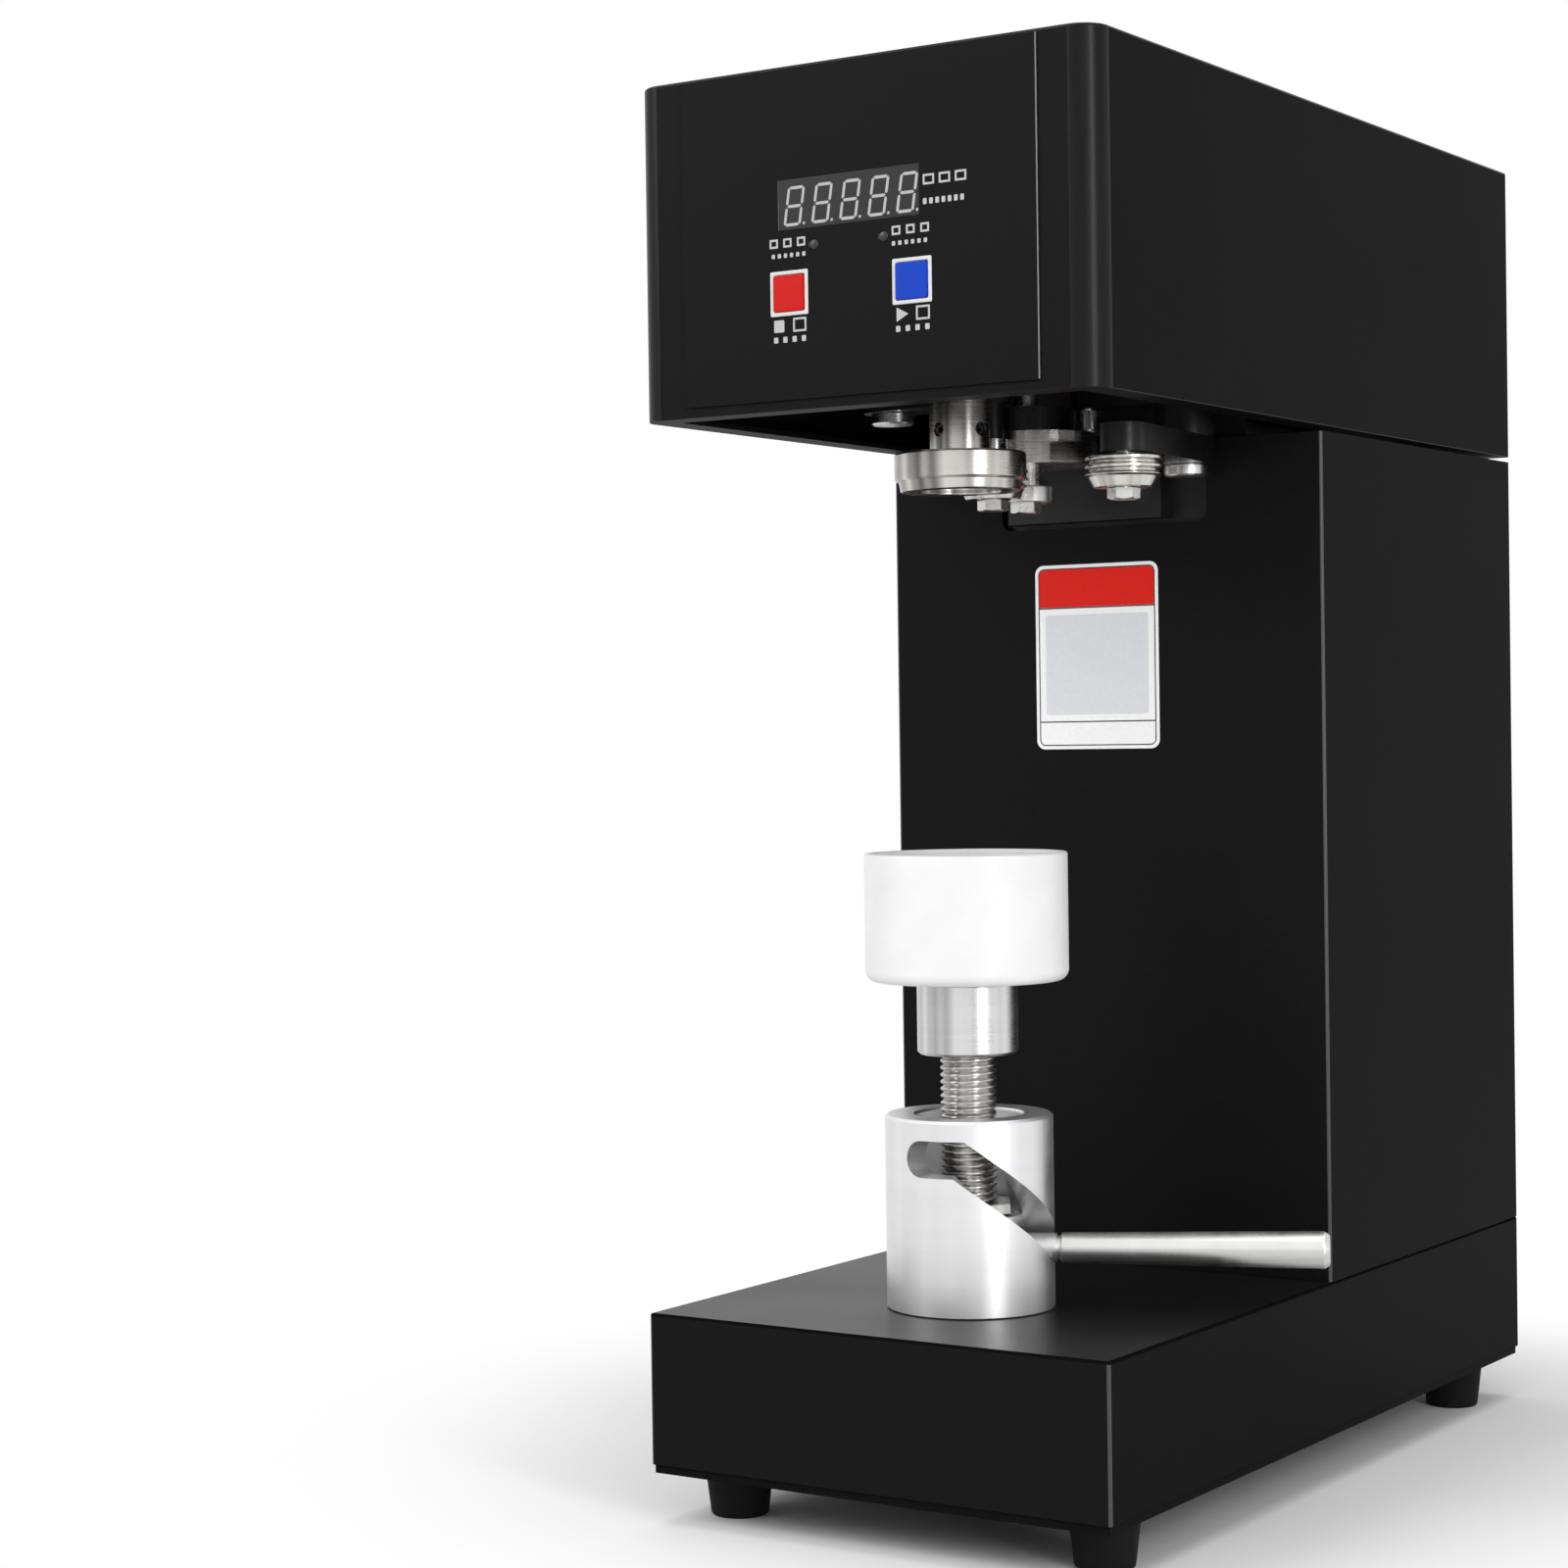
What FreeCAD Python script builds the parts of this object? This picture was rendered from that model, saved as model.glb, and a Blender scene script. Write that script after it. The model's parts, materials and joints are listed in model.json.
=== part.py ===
import FreeCAD, Part
import math
import os
import re
import Sketcher

# Desktop can sealing machine.
#
# A folded steel base, a column at the back and a hood over the front form a C. A cam barrel on the
# base lifts the can in a nylon cup when its lever is swung. A motor in the column turns the chuck
# in the hood, and a slow cam shaft behind the chuck swings two seaming rollers against the can lid.
#
# Frame: X to the right, Y to the back, Z up, origin on the floor under the middle of the body.
# All lengths are millimetres and all angles degrees. Every size that can be set by itself is one
# cell of the spreadsheet. Places are sums of those sizes, written as expressions.

doc = FreeCAD.newDocument("CanSealingMachine")
sheet = doc.addObject("Spreadsheet::Sheet", "Sizes")
aliases = []
nodes = []


def size(alias, value, meaning):
    """Put one driving size in the spreadsheet, with its name and what it measures."""
    row = len(aliases) + 1
    sheet.set(f"A{row}", str(value))
    sheet.setAlias(f"A{row}", alias)
    sheet.set(f"B{row}", meaning)
    aliases.append(alias)


# Body panels
size("body_width", 184, "width over the side panels")
size("body_depth", 362, "depth from the front panel to the back")
size("sheet_gauge", 2, "thickness of the folded steel sheet")
size("foot_height", 18, "height of a rubber foot")
size("base_height", 57, "height of the base above the feet")
size("plate_gauge", 3, "thickness of the plate that closes the base")
size("throat_depth", 174, "from the front panel back to the column")
size("column_height", 314, "height of the column above the base")
size("hood_gap", 2, "shadow gap between the column and the hood")
size("hood_height", 118, "height of the hood")
size("corner_radius", 10, "radius of the two front corners of the hood")
size("edge_round", 1, "radius of a folded sheet edge")
size("lip_width", 9, "width of the lip folded in under the hood")
size("overlay_gauge", 1, "thickness of the control panel plate")
size("overlay_margin", 21.4, "from the side of the hood to the edge of the control panel plate")
size("overlay_rise", 3.5, "height of the foot of the control panel plate above the foot of the hood")
size("overlay_fall", 1.2, "distance from the top of the hood to the top of the front panel")
size("fit_gap", 0.3, "air gap kept between a moving piece and its neighbour")
size("slip_fit", 0.06, "radial clearance of a shaft that turns or slides in its bore")
# Column openings and inner frame
size("notch_left", 43, "from the middle to the left side of the notch in the column")
size("notch_right", 45, "from the middle to the right side of the notch in the column")
size("notch_depth", 31, "depth of the notch below the top of the column")
size("notch_radius", 4, "radius of the lower corners of the notch")
size("frame_width", 120, "width of the inner frame")
size("frame_gauge", 6, "thickness of the web and the flanges of the inner frame")
size("frame_depth", 43, "depth of the inner frame")
size("flange_gauge", 8, "thickness of the end flanges of the inner frame")
size("bed_gauge", 8, "thickness of the bed plate under the top of the base")
size("bed_reach", 38, "how far the bed plate reaches in front of the barrel")
size("flange_width", 12, "width of the flanges folded in at the back of the column")
size("vent_width", 52, "length of one vent slot in the back cover")
size("vent_height", 3.2, "height of one vent slot")
size("vent_pitch", 9, "distance from one vent slot to the next")
size("vent_rows", 9, "number of vent slots above each other")
size("vent_drop", 50, "from the top of the back cover down to the first vent slot")
size("vent_spacing", 70, "distance between the middles of the two rows of vent slots")
# Head
size("head_rise", 29, "from the foot of the hood up to the head plate")
size("head_gauge", 10, "thickness of the head plate")
size("head_front_gap", 22, "from the spindle housing forward to the front edge of the head plate")
size("spindle_setback", 69, "from the front panel back to the spindle axis")
size("chuck_drop", 25.6, "how far the chuck reaches below the hood")
size("chuck_nose_radius", 22, "radius of the chuck's nose, which enters the can lid")
size("chuck_nose_depth", 3.6, "depth of the chuck's nose")
size("chuck_radius", 23.5, "radius of the chuck's flange")
size("chuck_flange", 10, "height of the chuck's flange")
size("chuck_recess", 14, "radius of the recess in the chuck's nose")
size("hub_radius", 10.7, "radius of the chuck's hub")
size("spigot_radius", 6, "radius of the spindle's lower end in the chuck")
size("spindle_radius", 8.5, "radius of the spindle in its bearings")
size("housing_drop", 16, "how far the spindle housing reaches below the head plate")
size("housing_radius", 26, "radius of the spindle housing")
size("housing_flange", 37, "radius of the spindle housing's flange")
size("housing_flange_gauge", 7, "thickness of the spindle housing's flange")
size("housing_height", 48, "height of the spindle housing")
size("bearing_radius", 17.5, "outer radius of a spindle bearing")
size("bearing_width", 10, "width of a spindle bearing")
size("housing_shoulder", 14, "bore radius between the two bearings")
size("set_screw_radius", 2.5, "radius of a set screw in the chuck's hub")
size("set_screw_drop", 16.7, "from the top of the hub down to its set screws")
size("pulley_lift", 4, "from the top of the spindle housing up to the pulleys")
size("pulley_width", 12, "width over the flanges of a pulley")
size("spindle_pulley_radius", 34, "belt radius of the spindle pulley")
size("motor_pulley_radius", 23, "belt radius of the motor pulley")
size("pulley_bore", 7, "bore radius of both pulleys")
size("belt_gauge", 3, "thickness of the drive belt")
size("motor_back", 207, "from the spindle axis back to the motor axis")
size("motor_radius", 44, "radius of the drive motor")
size("motor_height", 118, "height of the drive motor")
size("motor_flange", 92, "side of the drive motor's square flange")
# Seaming cams, arms and rollers
size("cam_left", 11, "from the middle to the left to the cam shaft axis")
size("cam_back", 67, "from the spindle axis back to the cam shaft axis")
size("cam_shaft_radius", 5, "radius of the cam shaft")
size("first_cam_gauge", 12, "thickness of the first cam")
size("first_cam_low", 18, "smallest radius of the first cam")
size("second_cam_gauge", 9, "thickness of the second cam")
size("second_cam_low", 19, "base radius of the second cam")
size("second_cam_high", 32, "radius of the lobe of the second cam")
size("second_cam_lobe", 220, "direction of the lobe of the second cam at rest")
size("second_cam_spread", 34, "half of the angle that the lobe takes")
size("cam_turn", 125, "turn of the cam shaft during the first seaming operation")
size("gearmotor_radius", 16, "radius of the cam gearmotor")
size("gearmotor_height", 56, "height of the cam gearmotor")
size("roller_radius", 13, "radius of the first seaming roller")
size("second_roller_radius", 13.6, "radius of the second seaming roller")
size("roller_height", 11, "height of a seaming roller's rim")
size("roller_neck", 5, "radius of a seaming roller's neck")
size("roller_bolt", 3, "radius of the bolt that carries a roller")
size("follower_radius", 6, "radius of the bearing that follows the first cam")
size("second_follower_radius", 6.3, "radius of the bearing that follows the second cam")
size("follower_width", 7, "width of a follower bearing")
size("first_roller_angle", 269.3, "direction from the cam shaft to the first roller at rest")
size("second_follower_angle", 52.7, "direction from the cam shaft to the second follower at rest")
size("first_pivot_left", 60, "from the middle to the left to the pivot of the first arm")
size("first_pivot_back", 52, "from the spindle axis back to the pivot of the first arm")
size("second_pivot_right", 44, "from the middle to the right to the pivot of the second arm")
size("second_pivot_gap", 15, "from the column forward to the pivot of the second arm")
size("second_roller_right", 53, "from the middle to the right to the second roller at rest")
size("second_roller_back", 23.2, "from the spindle axis back to the second roller at rest")
size("arm_gauge", 8, "thickness of an arm")
size("arm_tip_radius", 8, "radius of an arm round its roller")
size("arm_hub_radius", 11, "radius of an arm round its pivot")
size("lower_bar_gauge", 10, "thickness of the lower bar of the second arm")
size("pivot_radius", 5, "radius of an arm's pivot bolt")
size("pivot_head_radius", 8, "radius of the head of a pivot bolt")
size("spring_wire", 0.8, "radius of the wire of an arm's return spring")
size("spring_turns", 3, "turns of an arm's return spring")
size("bolt_head", 4, "height of a hexagon bolt head under a roller")
size("bolt_head_radius", 5.8, "radius over the corners of a hexagon bolt head")
# Lift
size("barrel_radius", 30, "outer radius of the cam barrel")
size("barrel_bore", 19, "bore radius of the cam barrel")
size("barrel_height", 69, "height of the cam barrel")
size("barrel_floor", 3, "thickness of the floor of the cam barrel")
size("slot_width", 13, "width of the cam slot")
size("slot_rise", 34.5, "rise of the cam slot, which is the lift")
size("slot_low", 21, "height of the low end of the cam slot above the base")
size("lever_angle", 25, "direction of the lever at rest")
size("lever_swing", 92, "swing of the lever up the slot")
size("slot_dwell", 27, "angle of the level end of the cam slot")
size("sleeve_height", 30, "height of the piston sleeve")
size("lever_root", 5.2, "radius of the lever where it passes the slot")
size("lever_thin", 5.4, "radius of the lever just outside the barrel")
size("lever_thick", 6.6, "radius of the lever at its tip")
size("lever_length", 127, "from the barrel axis to the tip of the lever")
size("screw_radius", 9.94, "radius of the lift screw")
size("nut_height", 4, "height of the lock nut on the sleeve")
size("nut_radius", 16.5, "radius over the corners of the lock nut")
size("collar_radius", 18, "radius of the height collar")
size("collar_height", 25.7, "height of the height collar")
size("collar_lift", 21.3, "clear height of screw between the barrel and the collar")
size("collar_engaged", 12, "length of screw inside the collar at rest")
size("cup_bearing_radius", 17.5, "outer radius of the bearing under the cup")
size("cup_bearing_height", 8, "height of the bearing under the cup")
size("cup_radius", 36.3, "outer radius of the can cup")
size("cup_bore", 33.5, "bore radius of the can cup")
size("cup_height", 46, "height of the can cup")
size("cup_depth", 35, "depth of the can cup")
size("cup_chamfer", 4, "rounding of the lower edge of the can cup")
# Controls
size("window_left", 30.5, "from the middle to the left edge of the display window")
size("window_right", 26, "from the middle to the right edge of the display window")
size("window_low", 61.5, "height of the display window above the foot of the hood")
size("window_height", 17.5, "height of the display window")
size("button_side", 12.4, "side of a square button cap")
size("button_frame", 1.5, "width of the pale frame round a button")
size("button_travel", 1, "travel of a button")
size("button_proud", 0.8, "how far a button stands out of the panel")
size("button_rise", 40, "height of the buttons' middle above the foot of the hood")
size("stop_left", 26.4, "from the middle to the left to the stop button")
size("start_right", 22.8, "from the middle to the right to the start button")
size("lamp_radius", 1.8, "radius of an indicator lamp")
size("lamp_rise", 55.8, "height of the indicator lamps above the foot of the hood")
size("ready_lamp_left", 16.2, "from the middle to the left to the ready lamp")
size("work_lamp_right", 11.7, "from the middle to the right to the work lamp")
size("board_standoff", 8, "length of a standoff behind the front of the hood")
size("board_width", 116, "width of the control board")
size("board_height", 78, "height of the control board")
size("board_gauge", 1.6, "thickness of the control board")
# Power entry and feet
size("inlet_width", 28, "width of the mains inlet's socket")
size("inlet_height", 20, "height of the mains inlet's socket")
size("inlet_left", 40, "from the middle to the left to the mains inlet")
size("switch_right", 30, "from the middle to the right to the power switch")
size("switch_width", 13, "width of the power switch's rocker")
size("switch_height", 19, "height of the power switch's rocker")
size("switch_tilt", 9, "tilt of the rocker either side of level")
size("switch_pin", 1, "radius of the pivot pins at the rocker's ends")
size("switch_pin_reach", 1.2, "how far a pivot pin stands out of the rocker")
size("entry_rise", 29, "height of the inlet and the switch above the foot of the base")
size("foot_radius", 12.5, "radius of a foot at its top")
size("foot_taper", 2.2, "how much narrower a foot is at the floor")
size("foot_inset_x", 18, "from the side of the body to the middle of a foot")
size("foot_inset_y", 29, "from the front or back of the body to the middle of a foot")
size("screw_shank", 2, "radius of a small cover screw")
size("screw_head", 3.8, "radius of the head of a small cover screw")
doc.recompute()


WORD = re.compile(r"[a-z_]+")


def linked(expression):
    """Write the spreadsheet's name before each size that an expression names."""
    return WORD.sub(lambda word: f"Sizes.{word[0]}" if word[0] in aliases else word[0], expression)


def number(expression):
    """Work out an expression of the sizes as a plain number."""
    return float(sheet.evalExpression(linked(expression)))


def tie(item, **properties):
    """Bind properties of an item to expressions of the sizes."""
    for name, expression in properties.items():
        item.setExpression(name, linked(expression))


def put(item, x, y, z):
    """Bind the place of an item to expressions of the sizes."""
    for axis, expression in zip("xyz", (x, y, z)):
        item.setExpression(f"Placement.Base.{axis}", linked(expression))


def node(item, label):
    """Keep an item as one sub-part of the machine under its own label."""
    item.Label = label
    nodes.append(item)
    return item


# Named places, as expressions of the sizes

FRONT = "(-body_depth / 2)"
BACK = "(body_depth / 2)"
SIDE = "(body_width / 2)"
BASE_TOP = "(foot_height + base_height)"
COLUMN_FRONT = f"({FRONT} + throat_depth)"
COLUMN_TOP = f"({BASE_TOP} + column_height)"
HOOD_FOOT = f"({COLUMN_TOP} + hood_gap)"
HOOD_TOP = f"({HOOD_FOOT} + hood_height)"
HOOD_FACE = f"({FRONT} + overlay_gauge)"
HOOD_INSIDE = f"({HOOD_FACE} + sheet_gauge)"
SPINDLE_Y = f"({FRONT} + spindle_setback)"
MOTOR_Y = f"({SPINDLE_Y} + motor_back)"
HEAD_LOW = f"({HOOD_FOOT} + head_rise)"
HEAD_TOP = f"({HEAD_LOW} + head_gauge)"
CHUCK_LOW = f"({HOOD_FOOT} - chuck_drop)"
CHUCK_TOP = f"({CHUCK_LOW} + chuck_nose_depth + chuck_flange)"
HOUSING_LOW = f"({HEAD_LOW} - housing_drop)"
HOUSING_TOP = f"({HOUSING_LOW} + housing_height)"
PULLEY_LOW = f"({HOUSING_TOP} + pulley_lift)"
PULLEY_TOP = f"({PULLEY_LOW} + pulley_width)"
CAM_MIDDLE = f"({CHUCK_TOP} + first_cam_gauge)"
CAM_TOP = f"({CAM_MIDDLE} + second_cam_gauge)"
ARM_LOW = f"({CAM_TOP} + 1)"
ARM_TOP = f"({ARM_LOW} + arm_gauge)"
CAM_X = "(-cam_left)"
CAM_Y = f"({SPINDLE_Y} + cam_back)"
FIRST_PIVOT_X = "(-first_pivot_left)"
FIRST_PIVOT_Y = f"({SPINDLE_Y} + first_pivot_back)"
FIRST_REACH = "(first_cam_low + follower_radius + fit_gap)"
FIRST_ROLLER_X = f"({CAM_X} + {FIRST_REACH} * cos(first_roller_angle * 1deg))"
FIRST_ROLLER_Y = f"({CAM_Y} + {FIRST_REACH} * sin(first_roller_angle * 1deg))"
SECOND_PIVOT_X = "second_pivot_right"
SECOND_PIVOT_Y = f"({COLUMN_FRONT} - second_pivot_gap)"
SECOND_ROLLER_X = "second_roller_right"
SECOND_ROLLER_Y = f"({SPINDLE_Y} + second_roller_back)"
SECOND_REACH = "(second_cam_low + second_follower_radius + fit_gap)"
SECOND_FOLLOWER_X = f"({CAM_X} + {SECOND_REACH} * cos(second_follower_angle * 1deg))"
SECOND_FOLLOWER_Y = f"({CAM_Y} + {SECOND_REACH} * sin(second_follower_angle * 1deg))"
BARREL_TOP = f"({BASE_TOP} + barrel_height)"
LEVER_Z = f"({BASE_TOP} + slot_low)"
DWELL_Z = f"({LEVER_Z} + slot_rise)"
SLEEVE_LOW = f"({BASE_TOP} + barrel_floor + fit_gap)"
SLEEVE_TOP = f"({SLEEVE_LOW} + sleeve_height)"
COLLAR_LOW = f"({BARREL_TOP} + collar_lift)"
COLLAR_TOP = f"({COLLAR_LOW} + collar_height)"
CUP_FLOOR = f"({COLLAR_TOP} + cup_height - cup_depth)"
CUP_TOP = f"({COLLAR_TOP} + cup_height)"
BUTTON_Z = f"({HOOD_FOOT} + button_rise)"
LAMP_Z = f"({HOOD_FOOT} + lamp_rise)"
WINDOW_LOW = f"({HOOD_FOOT} + window_low)"
WINDOW_TOP = f"({WINDOW_LOW} + window_height)"
BOARD_FACE = f"({HOOD_INSIDE} + board_standoff)"


# Ways to make a shape

def origin_plane(body, role):
    """Find one of a body's own origin planes by its role."""
    return [item for item in body.Origin.OriginFeatures if item.Role == role][0]


def new_body(name):
    """Start an empty body."""
    return doc.addObject("PartDesign::Body", name)


def new_sketch(body, role, lift="0"):
    """Add an empty sketch to a body, on an origin plane or lifted off it."""
    sketch = body.newObject("Sketcher::SketchObject", f"{body.Name}_sketch")
    sketch.AttachmentSupport = (origin_plane(body, role), [""])
    sketch.MapMode = "FlatFace"
    sketch.setExpression("AttachmentOffset.Base.z", linked(lift))
    return sketch


def pin_point(sketch, line, end, x, y):
    """Tie one end of a sketch line to its distances from the sketch's origin."""
    for kind, axis, expression in (("DistanceX", -2, x), ("DistanceY", -1, y)):
        value = number(expression)
        if expression == "0":
            sketch.addConstraint(Sketcher.Constraint("PointOnObject", line, end, axis))
        else:
            index = sketch.addConstraint(Sketcher.Constraint(kind, -1, 1, line, end, value))
            sketch.setExpression(f"Constraints[{index}]", linked(expression))


def outline(sketch, points):
    """Draw a closed outline of straight lines through points given as pairs of expressions."""
    corners = [FreeCAD.Vector(number(x), number(y), 0) for x, y in points]
    for start, end in zip(corners, corners[1:] + corners[:1]):
        sketch.addGeometry(Part.LineSegment(start, end))
    for line in range(len(points)):
        following = (line + 1) % len(points)
        sketch.addConstraint(Sketcher.Constraint("Coincident", line, 2, following, 1))
    for line, (x, y) in enumerate(points):
        pin_point(sketch, line, 1, x, y)


def turned(name, x, y, profile):
    """Turn a closed profile of radius and height pairs about a vertical axis."""
    body = new_body(name)
    sketch = new_sketch(body, "XZ_Plane")
    outline(sketch, profile)
    turn = body.newObject("PartDesign::Revolution", f"{name}_turn")
    turn.Profile = sketch
    turn.ReferenceAxis = (sketch, ["V_Axis"])
    turn.Angle = 360
    sketch.Visibility = False
    put(body, x, y, "0")
    return body


def ring(name, x, y, inner, outer, low, high):
    """Turn a plain ring between two radii and two heights."""
    return turned(name, x, y, [(inner, low), (outer, low), (outer, high), (inner, high)])


def slab(name, points, low, high):
    """Pad a closed outline of straight lines in plan from one height up to another."""
    body = new_body(name)
    sketch = new_sketch(body, "XY_Plane", low)
    outline(sketch, points)
    pad = body.newObject("PartDesign::Pad", f"{name}_pad")
    pad.Profile = sketch
    tie(pad, Length=f"({high}) - ({low})")
    return body


def oblong(left, right, front, back):
    """Give the four corners of a rectangle in plan."""
    return [(left, front), (right, front), (right, back), (left, back)]


def link(name, start, start_radius, end, end_radius, low, high):
    """Pad a bar whose two round ends are joined by their common tangents."""
    ax, ay = (number(place) for place in start)
    bx, by = (number(place) for place in end)
    ra, rb = number(start_radius), number(end_radius)
    heading = math.atan2(by - ay, bx - ax)
    lean = math.acos((ra - rb) / math.hypot(bx - ax, by - ay))
    centre_a, centre_b = FreeCAD.Vector(ax, ay, 0), FreeCAD.Vector(bx, by, 0)

    def on_end(centre, radius, angle):
        return centre + FreeCAD.Vector(math.cos(angle), math.sin(angle), 0) * radius

    up = FreeCAD.Vector(0, 0, 1)
    body = new_body(name)
    sketch = new_sketch(body, "XY_Plane", low)
    circle_a, circle_b = Part.Circle(centre_a, up, ra), Part.Circle(centre_b, up, rb)
    sketch.addGeometry(Part.ArcOfCircle(circle_a, heading + lean, heading - lean + math.tau))
    sketch.addGeometry(Part.LineSegment(
        on_end(centre_a, ra, heading - lean), on_end(centre_b, rb, heading - lean)))
    sketch.addGeometry(Part.ArcOfCircle(circle_b, heading - lean, heading + lean))
    sketch.addGeometry(Part.LineSegment(
        on_end(centre_b, rb, heading + lean), on_end(centre_a, ra, heading + lean)))
    for first, first_end, second, second_end in ((0, 2, 1, 1), (1, 2, 2, 1), (2, 2, 3, 1), (3, 2, 0, 1)):
        sketch.addConstraint(Sketcher.Constraint("Tangent", first, first_end, second, second_end))
    pin_point(sketch, 0, 3, *start)
    pin_point(sketch, 2, 3, *end)
    for arc, radius in ((0, start_radius), (2, end_radius)):
        index = sketch.addConstraint(Sketcher.Constraint("Radius", arc, number(radius)))
        sketch.setExpression(f"Constraints[{index}]", linked(radius))
    pad = body.newObject("PartDesign::Pad", f"{name}_pad")
    pad.Profile = sketch
    tie(pad, Length=f"({high}) - ({low})")
    return body


def soften(body, radius, wanted):
    """Round the edges of a body's last feature that answer to a test."""
    doc.recompute()
    last = body.Tip
    names = [f"Edge{at + 1}" for at, edge in enumerate(last.Shape.Edges) if wanted(edge)]
    fillet = body.newObject("PartDesign::Fillet", f"{body.Name}_round")
    fillet.Base = (last, names)
    tie(fillet, Radius=radius)
    return body


def upright(edge):
    """Tell whether an edge is vertical."""
    box = edge.BoundBox
    return box.XLength < 1e-4 and box.YLength < 1e-4


def level_at(height):
    """Make a test for edges that lie level at a height."""
    return lambda edge: edge.BoundBox.ZLength < 1e-4 and abs(edge.BoundBox.ZMin - height) < 1e-4


def block(name, left, right, front, back, low, high):
    """Make a rectangular block between two places on each axis."""
    item = doc.addObject("Part::Box", name)
    tie(item, Length=f"({right}) - ({left})", Width=f"({back}) - ({front})", Height=f"({high}) - ({low})")
    put(item, left, front, low)
    return item


TURNS = {
    "up": FreeCAD.Rotation(),
    "right": FreeCAD.Rotation(FreeCAD.Vector(0, 1, 0), 90),
    "back": FreeCAD.Rotation(FreeCAD.Vector(1, 0, 0), -90),
}


def rod(name, radius, x, y, z, length, heading="up"):
    """Make a round rod from a starting place, heading up, to the right or to the back."""
    item = doc.addObject("Part::Cylinder", name)
    item.Placement = FreeCAD.Placement(FreeCAD.Vector(), TURNS[heading])
    tie(item, Radius=radius, Height=length)
    put(item, x, y, z)
    return item


def hexagon(name, corner_radius, x, y, z, height, heading="up"):
    """Make a hexagonal head or nut."""
    item = doc.addObject("Part::Prism", name)
    item.Polygon = 6
    item.Placement = FreeCAD.Placement(FreeCAD.Vector(), TURNS[heading])
    tie(item, Circumradius=corner_radius, Height=height)
    put(item, x, y, z)
    return item


def joined(name, items):
    """Fuse items into one solid."""
    item = doc.addObject("Part::MultiFuse", name)
    item.Shapes = items
    return item


def group(name, items):
    """Keep separate solids together in one sub-part."""
    item = doc.addObject("Part::Compound", name)
    item.Links = items
    return item


def cut(name, base, tools):
    """Cut one or more tools out of a base."""
    item = doc.addObject("Part::Cut", name)
    item.Base = base
    item.Tool = tools[0] if len(tools) == 1 else joined(f"{name}_tools", tools)
    return item


def screw(name, x, y, seat, head_radius, head_height, shank_radius, shank_length, upward=False):
    """Make a round headed screw on a seat; its shank points down, or up from a head below the seat."""
    head_low, shank_low = (f"{seat} - {head_height}", seat) if upward else (seat, f"{seat} - {shank_length}")
    head = rod(f"{name}_head", head_radius, x, y, head_low, head_height)
    shank = rod(f"{name}_shank", shank_radius, x, y, shank_low, shank_length)
    return joined(name, [head, shank])


# Base

shell = slab("base_outside", oblong(f"-{SIDE}", SIDE, FRONT, BACK), "foot_height + plate_gauge", BASE_TOP)
soften(shell, "edge_round", lambda edge: not level_at(number("foot_height + plate_gauge"))(edge))
BARREL_SCREWS = [f"({angle} * 1deg)" for angle in (90, 210, 330)]
SCREW_CIRCLE = "((barrel_radius + barrel_bore) / 2)"
ENTRY_Z = "(foot_height + entry_rise)"


def round_barrel(angle):
    """Give the place of a barrel screw on its circle."""
    return f"{SCREW_CIRCLE} * cos({angle})", f"{SPINDLE_Y} + {SCREW_CIRCLE} * sin({angle})"


base_tools = [
    block("base_hollow", f"-{SIDE} + sheet_gauge", f"{SIDE} - sheet_gauge", f"{FRONT} + sheet_gauge",
          f"{BACK} - sheet_gauge", "foot_height", f"{BASE_TOP} - sheet_gauge"),
    block("cable_pass", "-frame_width / 4", "frame_width / 4", f"{MOTOR_Y} - 20", f"{MOTOR_Y} + 20",
          f"{BASE_TOP} - sheet_gauge * 2", f"{BASE_TOP} + sheet_gauge"),
    block("inlet_opening", "-inlet_left - inlet_width / 2", "-inlet_left + inlet_width / 2",
          f"{BACK} - sheet_gauge * 2", f"{BACK} + sheet_gauge",
          f"{ENTRY_Z} - inlet_height / 2", f"{ENTRY_Z} + inlet_height / 2"),
    block("switch_opening", "switch_right - switch_width / 2 - 1.5", "switch_right + switch_width / 2 + 1.5",
          f"{BACK} - sheet_gauge * 2", f"{BACK} + sheet_gauge",
          f"{ENTRY_Z} - switch_height / 2 - 1.5", f"{ENTRY_Z} + switch_height / 2 + 1.5"),
]
for index, angle in enumerate(BARREL_SCREWS):
    base_tools.append(rod(f"base_screw_hole_{index}", "3", *round_barrel(angle),
                          f"{BASE_TOP} - sheet_gauge * 2", "sheet_gauge * 3"))
node(cut("base", shell, base_tools), "base_shell")

PLATE_STEP = "(sheet_gauge / 2)"
PLATE_SIDE = f"({SIDE} - {PLATE_STEP})"
node(slab("bottom", oblong(f"-{PLATE_SIDE}", PLATE_SIDE, f"{FRONT} + {PLATE_STEP}", f"{BACK} - {PLATE_STEP}"),
          "foot_height", "foot_height + plate_gauge"), "bottom_plate")

bed_blank = slab("bed", oblong("-frame_width / 2", "frame_width / 2", f"{SPINDLE_Y} - bed_reach",
                               f"{COLUMN_FRONT} + frame_depth + 24"),
                 f"{BASE_TOP} - sheet_gauge - bed_gauge", f"{BASE_TOP} - sheet_gauge")
bed_holes = [rod(f"bed_hole_{index}", "3", *round_barrel(angle), f"{BASE_TOP} - bed_gauge * 2",
                 "bed_gauge * 2") for index, angle in enumerate(BARREL_SCREWS)]
node(cut("bed_drilled", bed_blank, bed_holes), "bed_plate")
base_screws = [
    screw(f"barrel_screw_{index}", *round_barrel(angle), f"{BASE_TOP} - sheet_gauge - bed_gauge",
          "5", "6", "3", "(sheet_gauge + bed_gauge + 10)", upward=True)
    for index, angle in enumerate(BARREL_SCREWS)]

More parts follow.
